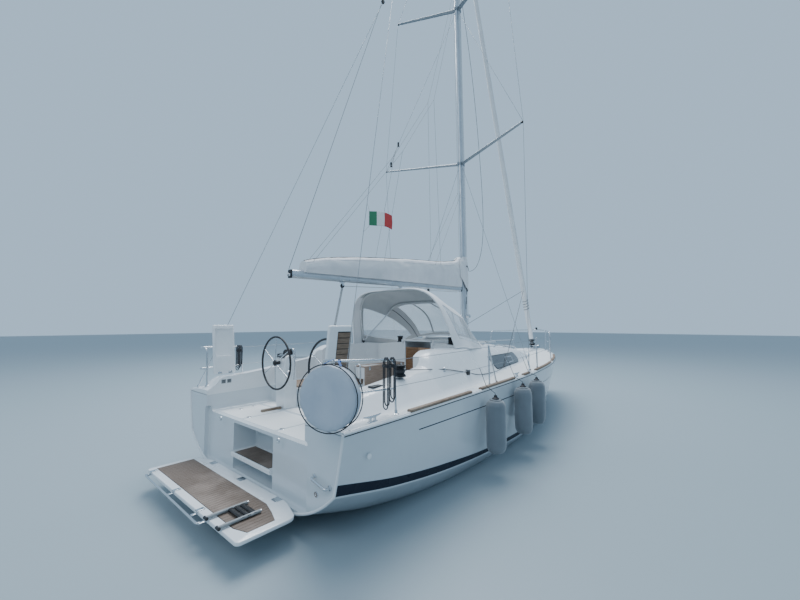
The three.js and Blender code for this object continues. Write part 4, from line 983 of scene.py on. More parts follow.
def cockpit_fittings():
    """Vent grilles inside the port coaming, a switch plate on the starboard one, and drains."""
    fittings = Workpiece()
    for x0, x1 in VENT_XS:
        fittings.block((x0, COCKPIT_HALF - 0.004, 1.262), (x1, COCKPIT_HALF + 0.006, 1.322), 0.002, 0)
        for k in range(4):
            z = 1.270 + k * 0.013
            fittings.block((x0 + 0.008, COCKPIT_HALF - 0.007, z), (x1 - 0.008, COCKPIT_HALF, z + 0.005),
                           0.001, 1)
    z = deck_height(-4.09, 1.36)
    fittings.block((-4.180, -1.405, z - 0.010), (-4.000, -1.315, z + 0.012), 0.006, 1)
    for x, y in SOLE_DRAINS:
        fittings.turned([(0, -0.004), (0.032, -0.004), (0.034, 0.001), (0.030, 0.004), (0.010, 0.003),
                         (0, 0.003)],
                        (x, y, HELM_SOLE_Z), (0, 0, 1), 24, 2)
    finish(fittings.piece("cockpit_fittings", CAST, BLACK, STEEL), "yacht")


sole_panels()
foot_bars()
cockpit_fittings()

# Bathing platform, step and ladder

PLATFORM_TOP = 0.266


def planks(name, body, outline, z, pitch, material):
    """Teak strips laid fore and aft inside an outline (lists of y, aft x, forward x), with black seams."""
    strips = Workpiece()
    low, high = outline[0][0], outline[-1][0]
    count = round((high - low) / pitch)
    ys, afts, forwards = (np.array([row[k] for row in outline]) for k in range(3))
    for k in range(count):
        y0, y1 = low + (high - low) * k / count + 0.0018, low + (high - low) * (k + 1) / count - 0.0018
        a0, a1 = np.interp([y0, y1], ys, afts)
        f0, f1 = np.interp([y0, y1], ys, forwards)
        strips.loft([[(a0, y0, h), (f0, y0, h), (f1, y1, h), (a1, y1, h)] for h in (z - 0.003, z + 0.0035)],
                    paint=0, smooth=False)
    bed = [(a - 0.004, y, z) for y, a, _ in outline] + [(f + 0.004, y, z) for y, _, f in reversed(outline)]
    strips.loft([[(x, y, h) for x, y, _ in bed] for h in (z - 0.004, z + 0.0015)], paint=1, smooth=False)
    finish(strips.piece(name, material, CAULK), body)


def build_platform():
    corner = [(-4.990, -0.925), (-4.990, 0.925), (-5.100, 1.255), (-5.660, 1.255), (-5.690, 1.225),
              (-5.690, -1.225), (-5.660, -1.255), (-5.100, -1.255)]
    outline = rounded_loop([Vector((x, y, 0)) for x, y in corner], 0.075, 5)
    middle = Vector((-5.33, 0, 0))
    rings = []
    for inset, z in ((0.016, 0.2245), (0.004, 0.229), (0, 0.236), (0, 0.254), (0.004, 0.262),
                     (0.014, 0.266)):
        rings.append([p + (middle - p).normalized() * inset + Vector((0, 0, z)) for p in outline])
    board = Workpiece()
    board.loft(rings)
    finish(board.piece("platform_board", GELCOAT), "swim_platform", ["swim_platform"])
    # The platform's teak: worn, and darkened as painted shade
    planks("platform_teak", "swim_platform",
           [(-1.165, -5.545, -5.275), (-1.00, -5.600, -5.215), (-0.80, -5.600, -5.160),
            (1.165, -5.600, -5.160)],
           PLATFORM_TOP, 0.052, TEAK_WORN_PAINTED_SHADE)
    rail = [(-5.690, 1.10, 0.235), (-5.748, 1.09, 0.240), (-5.770, -0.60, 0.240), (-5.690, -0.62, 0.235)]
    finish(tubes("platform_rail", [arc_corners(rail, 0.03)], 0.012, STEEL), "swim_platform")
    brackets = Workpiece()
    for y in (1.10, 0.28, -0.40, -0.62):
        brackets.block((-5.752 if y > -0.5 else -5.765, y - 0.018, 0.230), (-5.680, y + 0.018, 0.250), 0.006)
        brackets.block((-5.700, y - 0.028, 0.262), (-5.620, y + 0.028, 0.274), 0.004)
        brackets.turned([(0, 0), (0.008, 0), (0.008, 0.004), (0, 0.006)], (-5.65, y, 0.273), (0, 0, 1), 10)
    finish(brackets.piece("platform_rail_brackets", STEEL), "swim_platform")
    hinges = Workpiece()
    for y in (-0.80, 0.0, 0.80):
        hinges.block((-5.080, y - 0.05, 0.264), (-5.000, y + 0.05, 0.271), 0.003)
        hinges.rod((-4.998, y - 0.05, 0.262), (-4.998, y + 0.05, 0.262), 0.008)
    finish(hinges.piece("platform_hinges", STEEL), "swim_platform")


def build_step():
    top = Workpiece()
    top.loft([[(x, y, z) for x, z in ((-4.950, 0.415), (-4.950, 0.455), (-4.942, 0.466), (-4.60, 0.466),
                                      (-4.60, 0.415))] for y in (-0.488, -0.482, 0.482, 0.488)])
    finish(top.piece("transom_step", GELCOAT), "yacht")
    # The step's teak: worn, and darkened as painted shade
    planks("transom_step_teak", "yacht", [(-0.43, -4.925, -4.64), (0.43, -4.925, -4.64)], 0.467, 0.052,
           TEAK_WORN_PAINTED_SHADE)


def build_ladder():
    ys = (-0.935, -0.665)
    rails = []
    for y in ys:
        rails.append([(-5.712, y, 0.292), (-5.300, y, 0.292)])
    finish(tubes("ladder_rails", rails, 0.0175, CAST, 16), "swim_ladder", ["swim_ladder"])
    inner = [[(-5.690, y + (0.002 if y < -0.8 else -0.002), 0.292), (-5.285, y, 0.292)] for y in ys]
    finish(tubes("ladder_inner_rails", inner, 0.0125, STEEL, 14), "swim_ladder")
    treads = Workpiece()
    for x in (-5.480, -5.420, -5.360):
        treads.loft([[(x + dx, y, 0.292 + dz)
                      for dx, dz in ((-0.022, -0.012), (0.022, -0.012), (0.024, 0.006),
                                     (0.014, 0.013), (-0.014, 0.013), (-0.024, 0.006))]
                     for y in (-0.950, -0.946, -0.654, -0.650)])
        for k in range(9):
            y = -0.90 + k * 0.025
            treads.block((x - 0.020, y - 0.003, 0.303), (x + 0.020, y + 0.003, 0.308), 0.001)
    finish(treads.piece("ladder_treads", BLACK), "swim_ladder")
    joints = Workpiece()
    for y in ys:
        joints.turned([(0, -0.02), (0.0185, -0.02), (0.0185, 0.02), (0, 0.02)], (-5.640, y, 0.292),
                      (1, 0, 0), 18, 0)
        joints.rod((-5.712, y - 0.028, 0.290), (-5.712, y + 0.028, 0.290), 0.016, paint=1)
    finish(joints.piece("ladder_collars", CAST, BLACK), "swim_ladder")


build_platform()
build_step()
build_ladder()

# Helm: pedestals, wheels and folded seats

WHEEL_X, WHEEL_Y, WHEEL_Z = -4.240, 0.620, 1.570
WHEEL_RADIUS = 0.410


def build_pedestal(side, suffix):
    outline = [(-3.942, 0.881), (-3.942, 1.330), (-3.990, 1.640), (-4.080, 1.690), (-4.150, 1.660),
               (-4.175, 1.400),
               (-4.150, 0.881)]
    path = [Vector((x, 0, z)) for x, z in outline]
    soft = arc_corners(path, 0.05, 4)
    middle = Vector((-4.055, 0, 1.30))
    column = Workpiece()
    rings = []
    for inset, half in ((0.028, -0.125), (0.010, -0.122), (0, -0.108), (0, 0.108), (0.010, 0.122),
                        (0.028, 0.125)):
        rings.append([p + Vector((math.copysign(min(inset, abs(p.x - middle.x)), middle.x - p.x),
                                  half + side * WHEEL_Y, -inset * 0.5 if p.z > 1.35 else 0)) for p in soft])
    column.loft(rings)
    finish(column.piece("pedestal_column_" + suffix, GELCOAT), "yacht", ["pedestal_" + suffix])
    face = Workpiece()
    y = side * WHEEL_Y
    tilt = Matrix.Translation((-4.118, y, 1.664)) @ Matrix.Rotation(math.radians(-25), 4, "Y")
    face.block((-0.058, -0.092, 0.006), (0.052, 0.092, 0.022), 0.006, 0, tilt)
    face.block((-0.046, -0.078, 0.020), (0.040, 0.078, 0.0245), 0.002, 1, tilt)
    if side > 0:
        face.turned([(0, 0), (0.075, 0), (0.078, 0.02), (0.072, 0.055), (0.050, 0.082), (0, 0.094)],
                    (-4.035, y, 1.682), (0, 0, 1), 28, 0)
    else:
        face.turned([(0, 0), (0.055, 0), (0.060, 0.015), (0.048, 0.05), (0.02, 0.06), (0, 0.062)],
                    (-4.035, y, 1.682), (0, 0, 1), 28, 0)
    finish(face.piece("helm_instruments_" + suffix, BLACK, GLAZING), "yacht")
    guard = [(-4.00, y - 0.115, 1.30), (-3.985, y - 0.115, 1.72), (-4.00, y - 0.085, 1.775),
             (-4.00, y + 0.085, 1.775),
             (-3.985, y + 0.115, 1.72), (-4.00, y + 0.115, 1.30)]
    finish(tubes("helm_grab_bar_" + suffix, [arc_corners(guard, 0.05)], 0.0125, STEEL), "yacht")
    lever = Workpiece()
    lever.turned([(0, 0), (0.035, 0), (0.035, 0.012), (0.022, 0.03), (0, 0.03)],
                 (-4.10, y + side * -0.124, 1.42),
                 (0, -side, 0), 20, 0)
    if side < 0:
        lever.rod((-4.10, y + 0.148, 1.42), (-4.14, y + 0.160, 1.56), 0.008, paint=0)
        lever.turned([(0, -0.02), (0.016, -0.015), (0.019, 0.01), (0.012, 0.03), (0, 0.033)],
                     (-4.142, y + 0.161, 1.57),
                     (-0.25, 0, 1), 16, 1)
    finish(lever.piece("helm_lever_" + suffix, STEEL, BLACK), "yacht")


def build_wheel(side, suffix):
    centre = Vector((WHEEL_X, side * WHEEL_Y, WHEEL_Z))
    reach = WHEEL_RADIUS - 0.015
    steps = 96
    rim = Workpiece()
    rings = []
    for k in range(steps):
        angle = math.tau * k / steps
        out = Vector((0, math.cos(angle), math.sin(angle)))
        ring = []
        for j in range(12):
            t = math.tau * j / 12
            radius = 0.0152 + 0.0006 * math.sin(angle * 60 + t)
            ring.append(centre + out * (reach + math.cos(t) * radius) + Vector((math.sin(t) * radius, 0, 0)))
        rings.append(ring)
    rings.append([v.copy() for v in rings[0]])
    rim.loft(rings, ends=False)
    bmesh.ops.remove_doubles(rim.bm, verts=rim.bm.verts, dist=1e-5)
    wheel = rim.piece("wheel_rim_" + suffix, LEATHER_BLACK)
    finish(wheel, "wheel_" + suffix, ["wheel_" + suffix])
    spokes = []
    for k in range(6):
        angle = math.tau * (k + 0.5) / 6
        out = Vector((0, math.cos(angle), math.sin(angle)))
        spokes.append([centre + Vector((-0.012, 0, 0)) + out * 0.02, centre + out * reach])
    finish(tubes("wheel_spokes_" + suffix, spokes, 0.0065, STEEL, 10), "wheel_" + suffix)
    hub = Workpiece()
    hub.turned([(0, -0.045), (0.018, -0.043), (0.028, -0.032), (0.030, -0.026), (0.045, -0.024),
                (0.045, 0.006),
                (0.030, 0.010), (0.030, 0.060), (0, 0.060)], centre, (1, 0, 0), 28, 0)
    finish(hub.piece("wheel_hub_" + suffix, BLACK), "wheel_" + suffix)


HELM_SEAT_HINGE = (1.310, 1.400)
HELM_SEAT_LEAN = math.radians(7.5)
HELM_SEAT_X = (-4.860, -4.530)
HELM_SEAT_LENGTH = 0.755
HELM_SEAT_SLATS = 11


def build_helm_seat(side, suffix):
    """A moulded seat, folded up and leaning outboard: slats on its outer face, a shallow recess inside."""
    y, z = HELM_SEAT_HINGE
    x0, x1 = HELM_SEAT_X
    length = HELM_SEAT_LENGTH
    turn = Matrix.Translation((0, side * y, z)) @ Matrix.Rotation(-HELM_SEAT_LEAN * side, 4, "X")

    def slab(shape, x_low, x_high, depth_low, depth_high, low, high, round_by, paint=0):
        near, far = sorted((side * depth_low, side * depth_high))
        shape.block((x_low, near, low), (x_high, far, high), round_by, paint, turn, steps=3)

    shell = Workpiece()
    slab(shell, x0, x1, 0, 0.045, 0, length, 0.016)
    seat = shell.piece("helm_seat_shell_" + suffix, GELCOAT)
    pockets = Workpiece()
    slab(pockets, x0 + 0.030, x1 - 0.030, -0.020, 0.014, 0.270, length - 0.060, 0.012)
    slab(pockets, x0 + 0.112, x1 - 0.022, 0.037, 0.065, 0.020, length - 0.060, 0.010)
    cut(seat, pockets.piece("cutter"))
    sharpen(seat, 35)
    finish(seat, "helm_seat_" + suffix, ["helm_seat_" + suffix])
    bed = Workpiece()
    slab(bed, x0 + 0.116, x1 - 0.026, 0.036, 0.040, 0.024, length - 0.064, 0.001, 1)
    pitch = (length - 0.096) / HELM_SEAT_SLATS
    for k in range(HELM_SEAT_SLATS):
        low = 0.028 + pitch * k
        slab(bed, x0 + 0.118, x1 - 0.028, 0.0385, 0.048, low, low + pitch - 0.007, 0.003)
    finish(bed.piece("helm_seat_slats_" + suffix, TEAK_ALONG, BLACK), "helm_seat_" + suffix)
    hinges = Workpiece()
    for x in (x0 + 0.060, x1 - 0.110):
        slab(hinges, x, x + 0.060, -0.004, 0.006, -0.006, 0.034, 0.002)
    finish(hinges.piece("helm_seat_hinges_" + suffix, STEEL), "helm_seat_" + suffix)


for side, suffix in SIDES:
    build_pedestal(side, suffix)
    build_wheel(side, suffix)
    build_helm_seat(side, suffix)

# Cockpit: seat lids, table, coaming fittings

def build_seat_lid(side, suffix):
    lid = Workpiece()
    count = 9
    for k in range(count):
        y0 = 0.592 + 0.566 * k / count
        y1 = y0 + 0.566 / count - 0.009
        lid.loft([[(x, side * y, z) for y, z in ((y0, 1.160), (y1, 1.160), (y1, 1.179), (y1 - 0.003, 1.182),
                                                 (y0 + 0.003, 1.182), (y0, 1.179))]
                  for x in (-3.860, -3.857, -3.063, -3.060)], 0)
    for x in (-3.78, -3.46, -3.14):
        lid.block((x - 0.02, min(side * 0.60, side * 1.15), 1.1565),
                  (x + 0.02, max(side * 0.60, side * 1.15), 1.168),
                  0.002, 0)
    finish(lid.piece("seat_slats_" + suffix, TEAK_ALONG), "seat_lid_" + suffix,
           ["seat_lid_" + suffix])


def build_table():
    top = Workpiece()
    top.block((-3.080, -0.105, 1.262), (-2.080, 0.105, 1.452), 0.018, 0, steps=4)
    for x in (-2.960, -2.300):
        top.loft([[(x + dx, dy, z) for dx, dy in ((0, -0.045), (0.1, -0.045), (0.1, 0.045), (0, 0.045))]
                  for z in (0.752, 0.79, 1.27)], 0)
        top.block((x - 0.02, -0.065, 0.7505), (x + 0.12, 0.065, 0.775), 0.006, 0)
    finish(top.piece("table_body", GELCOAT), "yacht", ["cockpit_table"])
    trim = Workpiece()
    for y in (-0.095, 0.095):
        trim.block((-3.076, y - 0.010, 1.445), (-2.084, y + 0.010, 1.470), 0.005, 0)
    for x in (-3.066, -2.62, -2.094):
        trim.block((x - 0.010, -0.088, 1.445), (x + 0.010, 0.088, 1.470), 0.005, 0)
    trim.block((-3.055, -0.084, 1.450), (-2.63, 0.084, 1.462), 0.004, 1)
    finish(trim.piece("table_trim", LEAF_WOOD, GELCOAT), "yacht")
    bar = [(-3.05, -0.06, 0.80), (-3.12, -0.06, 0.86), (-3.12, -0.06, 1.50), (-3.12, 0.06, 1.50),
           (-3.12, 0.06, 0.86),
           (-3.05, 0.06, 0.80)]
    finish(tubes("table_grab_bar", [arc_corners(bar, 0.05)], 0.0125, STEEL), "yacht")


def build_table_leaf(side, suffix):
    leaf = Workpiece()
    near, far = sorted((side * 0.111, side * 0.133))
    leaf.block((-3.080, near, 1.140), (-2.080, far, 1.470), 0.009, 0, steps=3)
    finish(leaf.piece("table_leaf_board_" + suffix, LEAF_WOOD), "table_leaf_" + suffix,
           ["table_leaf_" + suffix])
    straps = Workpiece()
    out = side * 0.1335
    for x in (-2.98, -2.18):
        straps.block((x - 0.02, min(out, out + side * 0.004), 1.400),
                     (x + 0.02, max(out, out + side * 0.004), 1.462),
                     0.001, 0)
    finish(straps.piece("table_leaf_straps_" + suffix, STEEL), "table_leaf_" + suffix)


for side, suffix in SIDES:
    build_seat_lid(side, suffix)
    build_table_leaf(side, suffix)
build_table()


def winch(name, x, y, radius, height):
    base_z = 1.494 if abs(y) > 1 else 1.772
    r, h = radius, height
    profile = [(0, 0), (r, 0), (r, h * 0.10), (r * 0.90, h * 0.16), (r * 0.74, h * 0.22),
               (r * 0.70, h * 0.45),
               (r * 0.74, h * 0.66), (r * 0.92, h * 0.76), (r * 0.94, h * 0.80), (r * 0.80, h * 0.83),
               (r * 0.80, h * 0.86), (r * 0.95, h * 0.88), (r * 0.95, h * 0.93), (r * 0.60, h * 0.97),
               (r * 0.36, h),
               (r * 0.20, h), (r * 0.16, h * 0.93), (0, h * 0.93)]
    drum = Workpiece()
    drum.turned(profile, (x, y, base_z), (0, 0, 1), 40)
    piece = drum.piece(name + "_drum", WINCH_BLACK, flat_angle=28)
    finish(piece, name, [name])
    ribs = Workpiece()
    for k in range(18):
        angle = math.tau * k / 18
        turn = Matrix.Translation((x, y, base_z)) @ Matrix.Rotation(angle, 4, "Z")
        ribs.block((r * 0.69, -0.0022, h * 0.25), (r * 0.745, 0.0022, h * 0.64), 0.001, 0, turn)
    finish(ribs.piece(name + "_ribs", WINCH_BLACK), name)
    if abs(y) < 1:
        arm = Workpiece()
        arm.loft([[(x + 0.01 * k, y + w, base_z + h * 0.94 + t)
                   for w, t in ((-0.02, 0), (0.02, 0), (0.02, 0.012),
                               (-0.02, 0.012))] for k in (-7, -6, 6, 7)])
        finish(arm.piece(name + "_feeder", BLACK), name)


# Where they stand, x, distance from the centreline, radius and height
WINCHES = (("coaming", -3.680, 1.395, 0.078, 0.150), ("roof", -1.300, 0.640, 0.068, 0.135))
for stand, x, apart, radius, height in WINCHES:
    for side, suffix in SIDES:
        winch("winch_%s_%s" % (stand, suffix), x, side * apart, radius, height)


# Lower and upper face of a clutch's lever: x and z of its after and its forward end
CLUTCH_LEVER = [((-0.05, 0.045), (0.06, 0.052)), ((-0.06, 0.062), (0.055, 0.066))]


def roof_gear():
    """Rope clutches, organisers and handrails on the coachroof."""
    gear = Workpiece()
    for side in (1, -1):
        for k in range(3):
            y = side * (0.50 + 0.045 * k)
            x = -0.92
            z = deck_height(x, y)
            gear.block((x - 0.07, y - 0.018, z - 0.004), (x + 0.07, y + 0.018, z + 0.045), 0.006, 0)
            gear.loft([[(x + xa, y - 0.012, z + za), (x + xf, y - 0.012, z + zf),
                        (x + xf, y + 0.012, z + zf),
                        (x + xa, y + 0.012, z + za)] for (xa, za), (xf, zf) in CLUTCH_LEVER], 0)
        z = deck_height(0.02, 0.55)
        gear.block((-0.04, side * 0.55 - 0.09, z - 0.004), (0.06, side * 0.55 + 0.09, z + 0.028), 0.006, 1)
    finish(gear.piece("rope_clutches", BLACK, STEEL), "yacht")
    rails = []
    for side in (1, -1):
        points = []
        for k in range(13):
            x = -0.05 + 1.95 * k / 12
            row = deck_row(x)
            y = side * (row[5] - 0.05)
            points.append((x, y, deck_height(x, y) + (0.055 if 0 < k < 12 else -0.005)))
        rails.append(arc_corners(points, 0.06, 3))
        for k in (4, 8):
            x, y, z = points[k]
            rails.append([(x, y, z), (x, y, z - 0.06)])
    finish(tubes("roof_handrails", rails, 0.011, STEEL), "yacht")


roof_gear()

# Companionway: frame, doors, hatch, and deck hatches

def build_companionway():
    frame_edge = Workpiece()
    for side in (1, -1):
        near, far = sorted((side * 0.318, side * 0.362))
        frame_edge.block((-1.522, near, 1.00), (-1.494, far, 1.806), 0.006, 0)
    frame_edge.block((-1.522, -0.362, 0.972), (-1.44, 0.362, 1.012), 0.006, 0)
    finish(frame_edge.piece("companionway_trim", GELCOAT), "yacht")
    for side, suffix in SIDES:
        inner, outer = side * 0.007, side * 0.313
        panel = Workpiece()
        low, high = sorted((inner, outer))
        panel.block((-1.5105, low, 1.018), (-1.4935, high, 1.698), 0.004, 0)
        board = panel.piece("door_panel_" + suffix, CABIN_WOOD if side > 0 else PALE_WOOD)
        if side > 0:
            recess = Workpiece()
            recess.block((-1.530, low + 0.045, 1.075), (-1.5045, high - 0.045, 1.640), 0.003)
            cut(board, recess.piece("cutter"))
        finish(board, "companionway_door_" + suffix, ["companionway_door_" + suffix])
        slats = Workpiece()
        for k in range(11 if side > 0 else 0):
            z = 1.10 + k * 0.048
            lean = Matrix.Translation((-1.506, 0, z)) @ Matrix.Rotation(math.radians(35), 4, "Y")
            slats.block((-0.010, low + 0.044, -0.003), (0.010, high - 0.044, 0.003), 0.001, 0, lean)
        slats.turned([(0, 0), (0.007, 0), (0.006, 0.012), (0.013, 0.018), (0.011, 0.026), (0, 0.028)],
                     (-1.511, side * 0.035, 1.36), (-1, 0, 0), 16, 1)
        finish(slats.piece("door_louvres_" + suffix, CABIN_WOOD, STEEL), "companionway_door_" + suffix)
    hatch = Workpiece()
    hatch.block((-1.535, -0.335, 1.822), (-0.862, 0.335, 1.840), 0.004, 0)
    hatch.block((-1.545, -0.352, 1.8165), (-1.515, 0.352, 1.842), 0.005, 1)
    hatch.block((-0.880, -0.352, 1.8165), (-0.850, 0.352, 1.842), 0.005, 1)
    for side in (1, -1):
        near, far = sorted((side * 0.325, side * 0.352))
        hatch.block((-1.54, near, 1.8165), (-0.855, far, 1.842), 0.005, 1)
    hatch.rod((-1.538, -0.10, 1.836), (-1.538, 0.10, 1.836), 0.006, paint=2)
    finish(hatch.piece("sliding_hatch_pane", GLAZING, GELCOAT, STEEL), "companionway_hatch",
           ["companionway_hatch"])
    rails = Workpiece()
    for side in (1, -1):
        near, far = sorted((side * 0.366, side * 0.400))
        rails.block((-1.545, near, 1.770), (-0.820, far, 1.850), 0.008, 0)
    finish(rails.piece("hatch_side_rails", GELCOAT), "yacht")


def build_deck_hatch(name, x0, x1, half, low, high):
    pane = Workpiece()
    pane.block((x0 + 0.022, -half + 0.022, high - 0.014), (x1 - 0.022, half - 0.022, high - 0.001), 0.006, 0)
    for side in (1, -1):
        near, far = sorted((side * half, side * (half - 0.034)))
        pane.block((x0, near, low), (x1, far, high - 0.003), 0.008, 1)
    pane.block((x0, -half, low), (x0 + 0.034, half, high - 0.003), 0.008, 1)
    pane.block((x1 - 0.034, -half, low), (x1, half, high - 0.003), 0.008, 1)
    for side in (1, -1):
        pane.turned([(0, 0), (0.024, 0), (0.022, 0.008), (0, 0.010)],
                    (x0 + 0.075, side * (half - 0.09), high - 0.001),
                    (0, 0, 1), 20, 2)
    finish(pane.piece(name + "_pane", GLAZING, SPAR, BLACK), name, [name])


build_companionway()
build_deck_hatch("saloon_hatch", 0.900, 1.420, 0.260, 1.7005, 1.7345)
build_deck_hatch("fore_hatch", 2.080, 2.480, 0.200, 1.532, 1.566)


def build_locker_lid():
    lid = Workpiece()
    rings = []
    for inset, drop in ((0.0, 0.040), (0.0, 0.004), (0.004, 0.0)):
        ring = []
        for x, y in ((3.520 + inset, -0.300 + inset), (4.100 - inset, -0.190 + inset),
                     (4.100 - inset, 0.190 - inset),
                     (3.520 + inset, 0.300 - inset)):
            ring.append((x, y, 1.3655 - drop - 0.010 * abs(y) / 0.3))
        rings.append(ring)
    lid.loft(rings, 0)
    plate(lid, [(3.56, -0.25), (4.06, -0.155), (4.06, 0.155), (3.56, 0.25)], 1.352, 1.3675, 1, 0.03)
    lid.block((3.980, -0.03, 1.366), (4.030, 0.03, 1.3705), 0.002, 2)
    finish(lid.piece("locker_lid_panel", GELCOAT, NONSKID, STEEL), "anchor_locker_lid",
           ["anchor_locker_lid"])


build_locker_lid()

# Side windows

WINDOW_OUTLINE = [(-0.840, 1.545), (-0.660, 1.290), (0.820, 1.310), (0.900, 1.400), (0.740, 1.530)]


def wall_y(x, z):
    """How far out the coachroof's wall stands at a height."""
    half = deck_half(x)
    for (y0, z0), (y1, z1) in zip(half[3:], half[4:]):
        if z0 <= z <= z1:
            return y0 + (y1 - y0) * (z - z0) / (z1 - z0)
    return half[-CROWN_STEPS - 1][0]


def outline_crossings(outline, x):
    """Lowest and highest z of a closed outline at x."""
    found = []
    for (x0, z0), (x1, z1) in zip(outline, outline[1:] + outline[:1]):
        if min(x0, x1) <= x <= max(x0, x1) and x0 != x1:
            found.append(z0 + (z1 - z0) * (x - x0) / (x1 - x0))
    return min(found), max(found)


def wall_patch(shape, side, outline, proud, thick, paint=0, columns=36, rows=8):
    xs = [p[0] for p in outline]
    low_x, high_x = min(xs) + 0.002, max(xs) - 0.002
    rings = []
    for k in range(columns + 1):
        x = low_x + (high_x - low_x) * k / columns
        low, high = outline_crossings(outline, x)
        zs = [low + (high - low) * r / rows for r in range(rows + 1)]
        outer = [(x, side * (wall_y(x, z) + proud), z) for z in zs]
        inner = [(x, side * (wall_y(x, z) + proud - thick), z) for z in reversed(zs)]
        rings.append(outer + inner)
    shape.loft(rings, paint)


def build_window(side, suffix):
    pane = Workpiece()
    middle_x = sum(p[0] for p in WINDOW_OUTLINE) / 5
    middle_z = sum(p[1] for p in WINDOW_OUTLINE) / 5
    corners = [Vector((x, 0, z)) for x, z in WINDOW_OUTLINE]
    soft = [(p.x, p.z) for p in rounded_loop(corners, 0.05, 4)]
    wall_patch(pane, side, soft, 0.006, 0.016, 0)
    inner = [(middle_x + (x - middle_x) * 0.975, middle_z + (z - middle_z) * 0.90) for x, z in soft]
    wall_patch(pane, side, inner, 0.0085, 0.006, 1)
    port_light = [(0.02, 1.345), (0.46, 1.350), (0.46, 1.470), (0.02, 1.480)]
    wall_patch(pane, side, port_light, 0.0115, 0.006, 2, 12, 4)
    smaller = [(0.045, 1.365), (0.435, 1.370), (0.435, 1.452), (0.045, 1.460)]
    wall_patch(pane, side, smaller, 0.0125, 0.006, 1, 12, 4)
    finish(pane.piece("side_window_" + suffix, BLACK, GLAZING, SPAR), "yacht",
           ["window_" + suffix])


# Toe rails with teak caps, rubbing line, cleats

EDGE_HEIGHT = 0.028
TEAK_CAPS = [(-4.120, -2.570), (-2.480, -1.070), (-0.830, -0.330), (-0.110, 1.500), (1.600, 3.100)]
CLEAT_XS = [-4.560, -0.950, 3.900]


def edge_z(x):
    return sheer_z(x) + EDGE_HEIGHT


def stations(low, high, pitch=0.12):
    count = max(2, round((high - low) / pitch))
    return [low + (high - low) * k / count for k in range(count + 1)]


def build_toe_rail(side, suffix):
    strip = Workpiece()
    rings = []
    for x in stations(-4.90, 4.70):
        outer = sheer_half(x) - 0.016
        section = ((0, -0.008), (0.002, 0.003), (-0.006, 0.007), (-0.034, 0.007), (-0.042, 0.002),
                   (-0.042, -0.008))
        rings.append([(x, side * (outer + w), edge_z(x) + h) for w, h in section])
    strip.loft(rings, 0)
    for start, end in TEAK_CAPS:
        rings = []
        for x in stations(start, end, 0.10):
            outer = sheer_half(x) - 0.006
            near_end = min(x - start, end - x)
            rise = 0.034 if near_end > 0.01 else 0.012
            section = ((0, 0.001), (0.003, 0.4 * rise), (0, 0.8 * rise), (-0.012, rise), (-0.046, rise),
                       (-0.058, 0.8 * rise), (-0.061, 0.4 * rise), (-0.058, 0.001))
            rings.append([(x, side * (outer + w), edge_z(x) + h) for w, h in section])
        rings.insert(1, [tuple(np.array(a) * 0.97 + np.array(b) * 0.03) for a, b in zip(rings[1], rings[2])])
        strip.loft(rings[1:-1], 1)
    finish(strip.piece("toe_rail_caps_" + suffix, GELCOAT, TEAK_ALONG), "yacht",
           ["toe_rail_" + suffix])
    line = [(x, side * (sheer_half(x) + 0.001), sheer_z(x) - 0.003) for x in stations(TRANSOM_X, 4.90, 0.15)]
    finish(tubes("rubbing_line_" + suffix, [line], 0.0055, BLACK, 8), "yacht")
    cleats = Workpiece()
    for x in CLEAT_XS:
        y = side * (sheer_half(x) - 0.075)
        z = edge_z(x)
        cleats.block((x - 0.062, y - 0.022, z - 0.016), (x + 0.062, y + 0.022, z + 0.012), 0.006, 0)
        for dx in (-0.032, 0.032):
            cleats.loft([[(x + dx + a * s, y + b * s, h) for a, b in ((-0.012, -0.013), (0.012, -0.013),
                                                                     (0.012, 0.013), (-0.012, 0.013))]
                         for s, h in ((1.15, z + 0.006), (0.9, z + 0.03), (1.1, z + 0.056))], 0)
        horn = [(x - 0.125, y, z + 0.066), (x - 0.09, y, z + 0.060), (x - 0.04, y, z + 0.056),
                (x + 0.04, y, z + 0.056),
                (x + 0.09, y, z + 0.060), (x + 0.125, y, z + 0.066)]
        radii = (0.006, 0.010, 0.0135, 0.0135, 0.010, 0.006)
        rings = [[(px, py + r * math.cos(math.tau * j / 12), pz + r * math.sin(math.tau * j / 12))
                  for j in range(12)] for (px, py, pz), r in zip(horn, radii)]
        cleats.loft(rings, 0)
    finish(cleats.piece("mooring_cleats_" + suffix, STEEL), "yacht")


for side, suffix in SIDES:
    build_window(side, suffix)
    build_toe_rail(side, suffix)

# Pushpits, pulpit and guard rails

RAIL_INSET = 0.088
RAIL_HEIGHT = 0.610
STANCHION_XS = (-1.990, 0.350, 2.100)


def rail_y(x):
    """Straight between the hull's stations, as the solid rails are."""
    xs = [row[0] for row in HULL_SECTIONS]
    return float(np.interp(x, xs, [row[1] for row in HULL_SECTIONS])) - RAIL_INSET


def foot_flanges(name, feet):
    flanges = Workpiece()
    for point in feet:
        flanges.turned([(0, -0.008), (0.036, -0.008), (0.036, 0.004), (0.020, 0.012), (0.0165, 0.045),
                        (0, 0.045)],
                       point, (0, 0, 1), 22, 0)
    finish(flanges.piece(name, STEEL), "yacht")


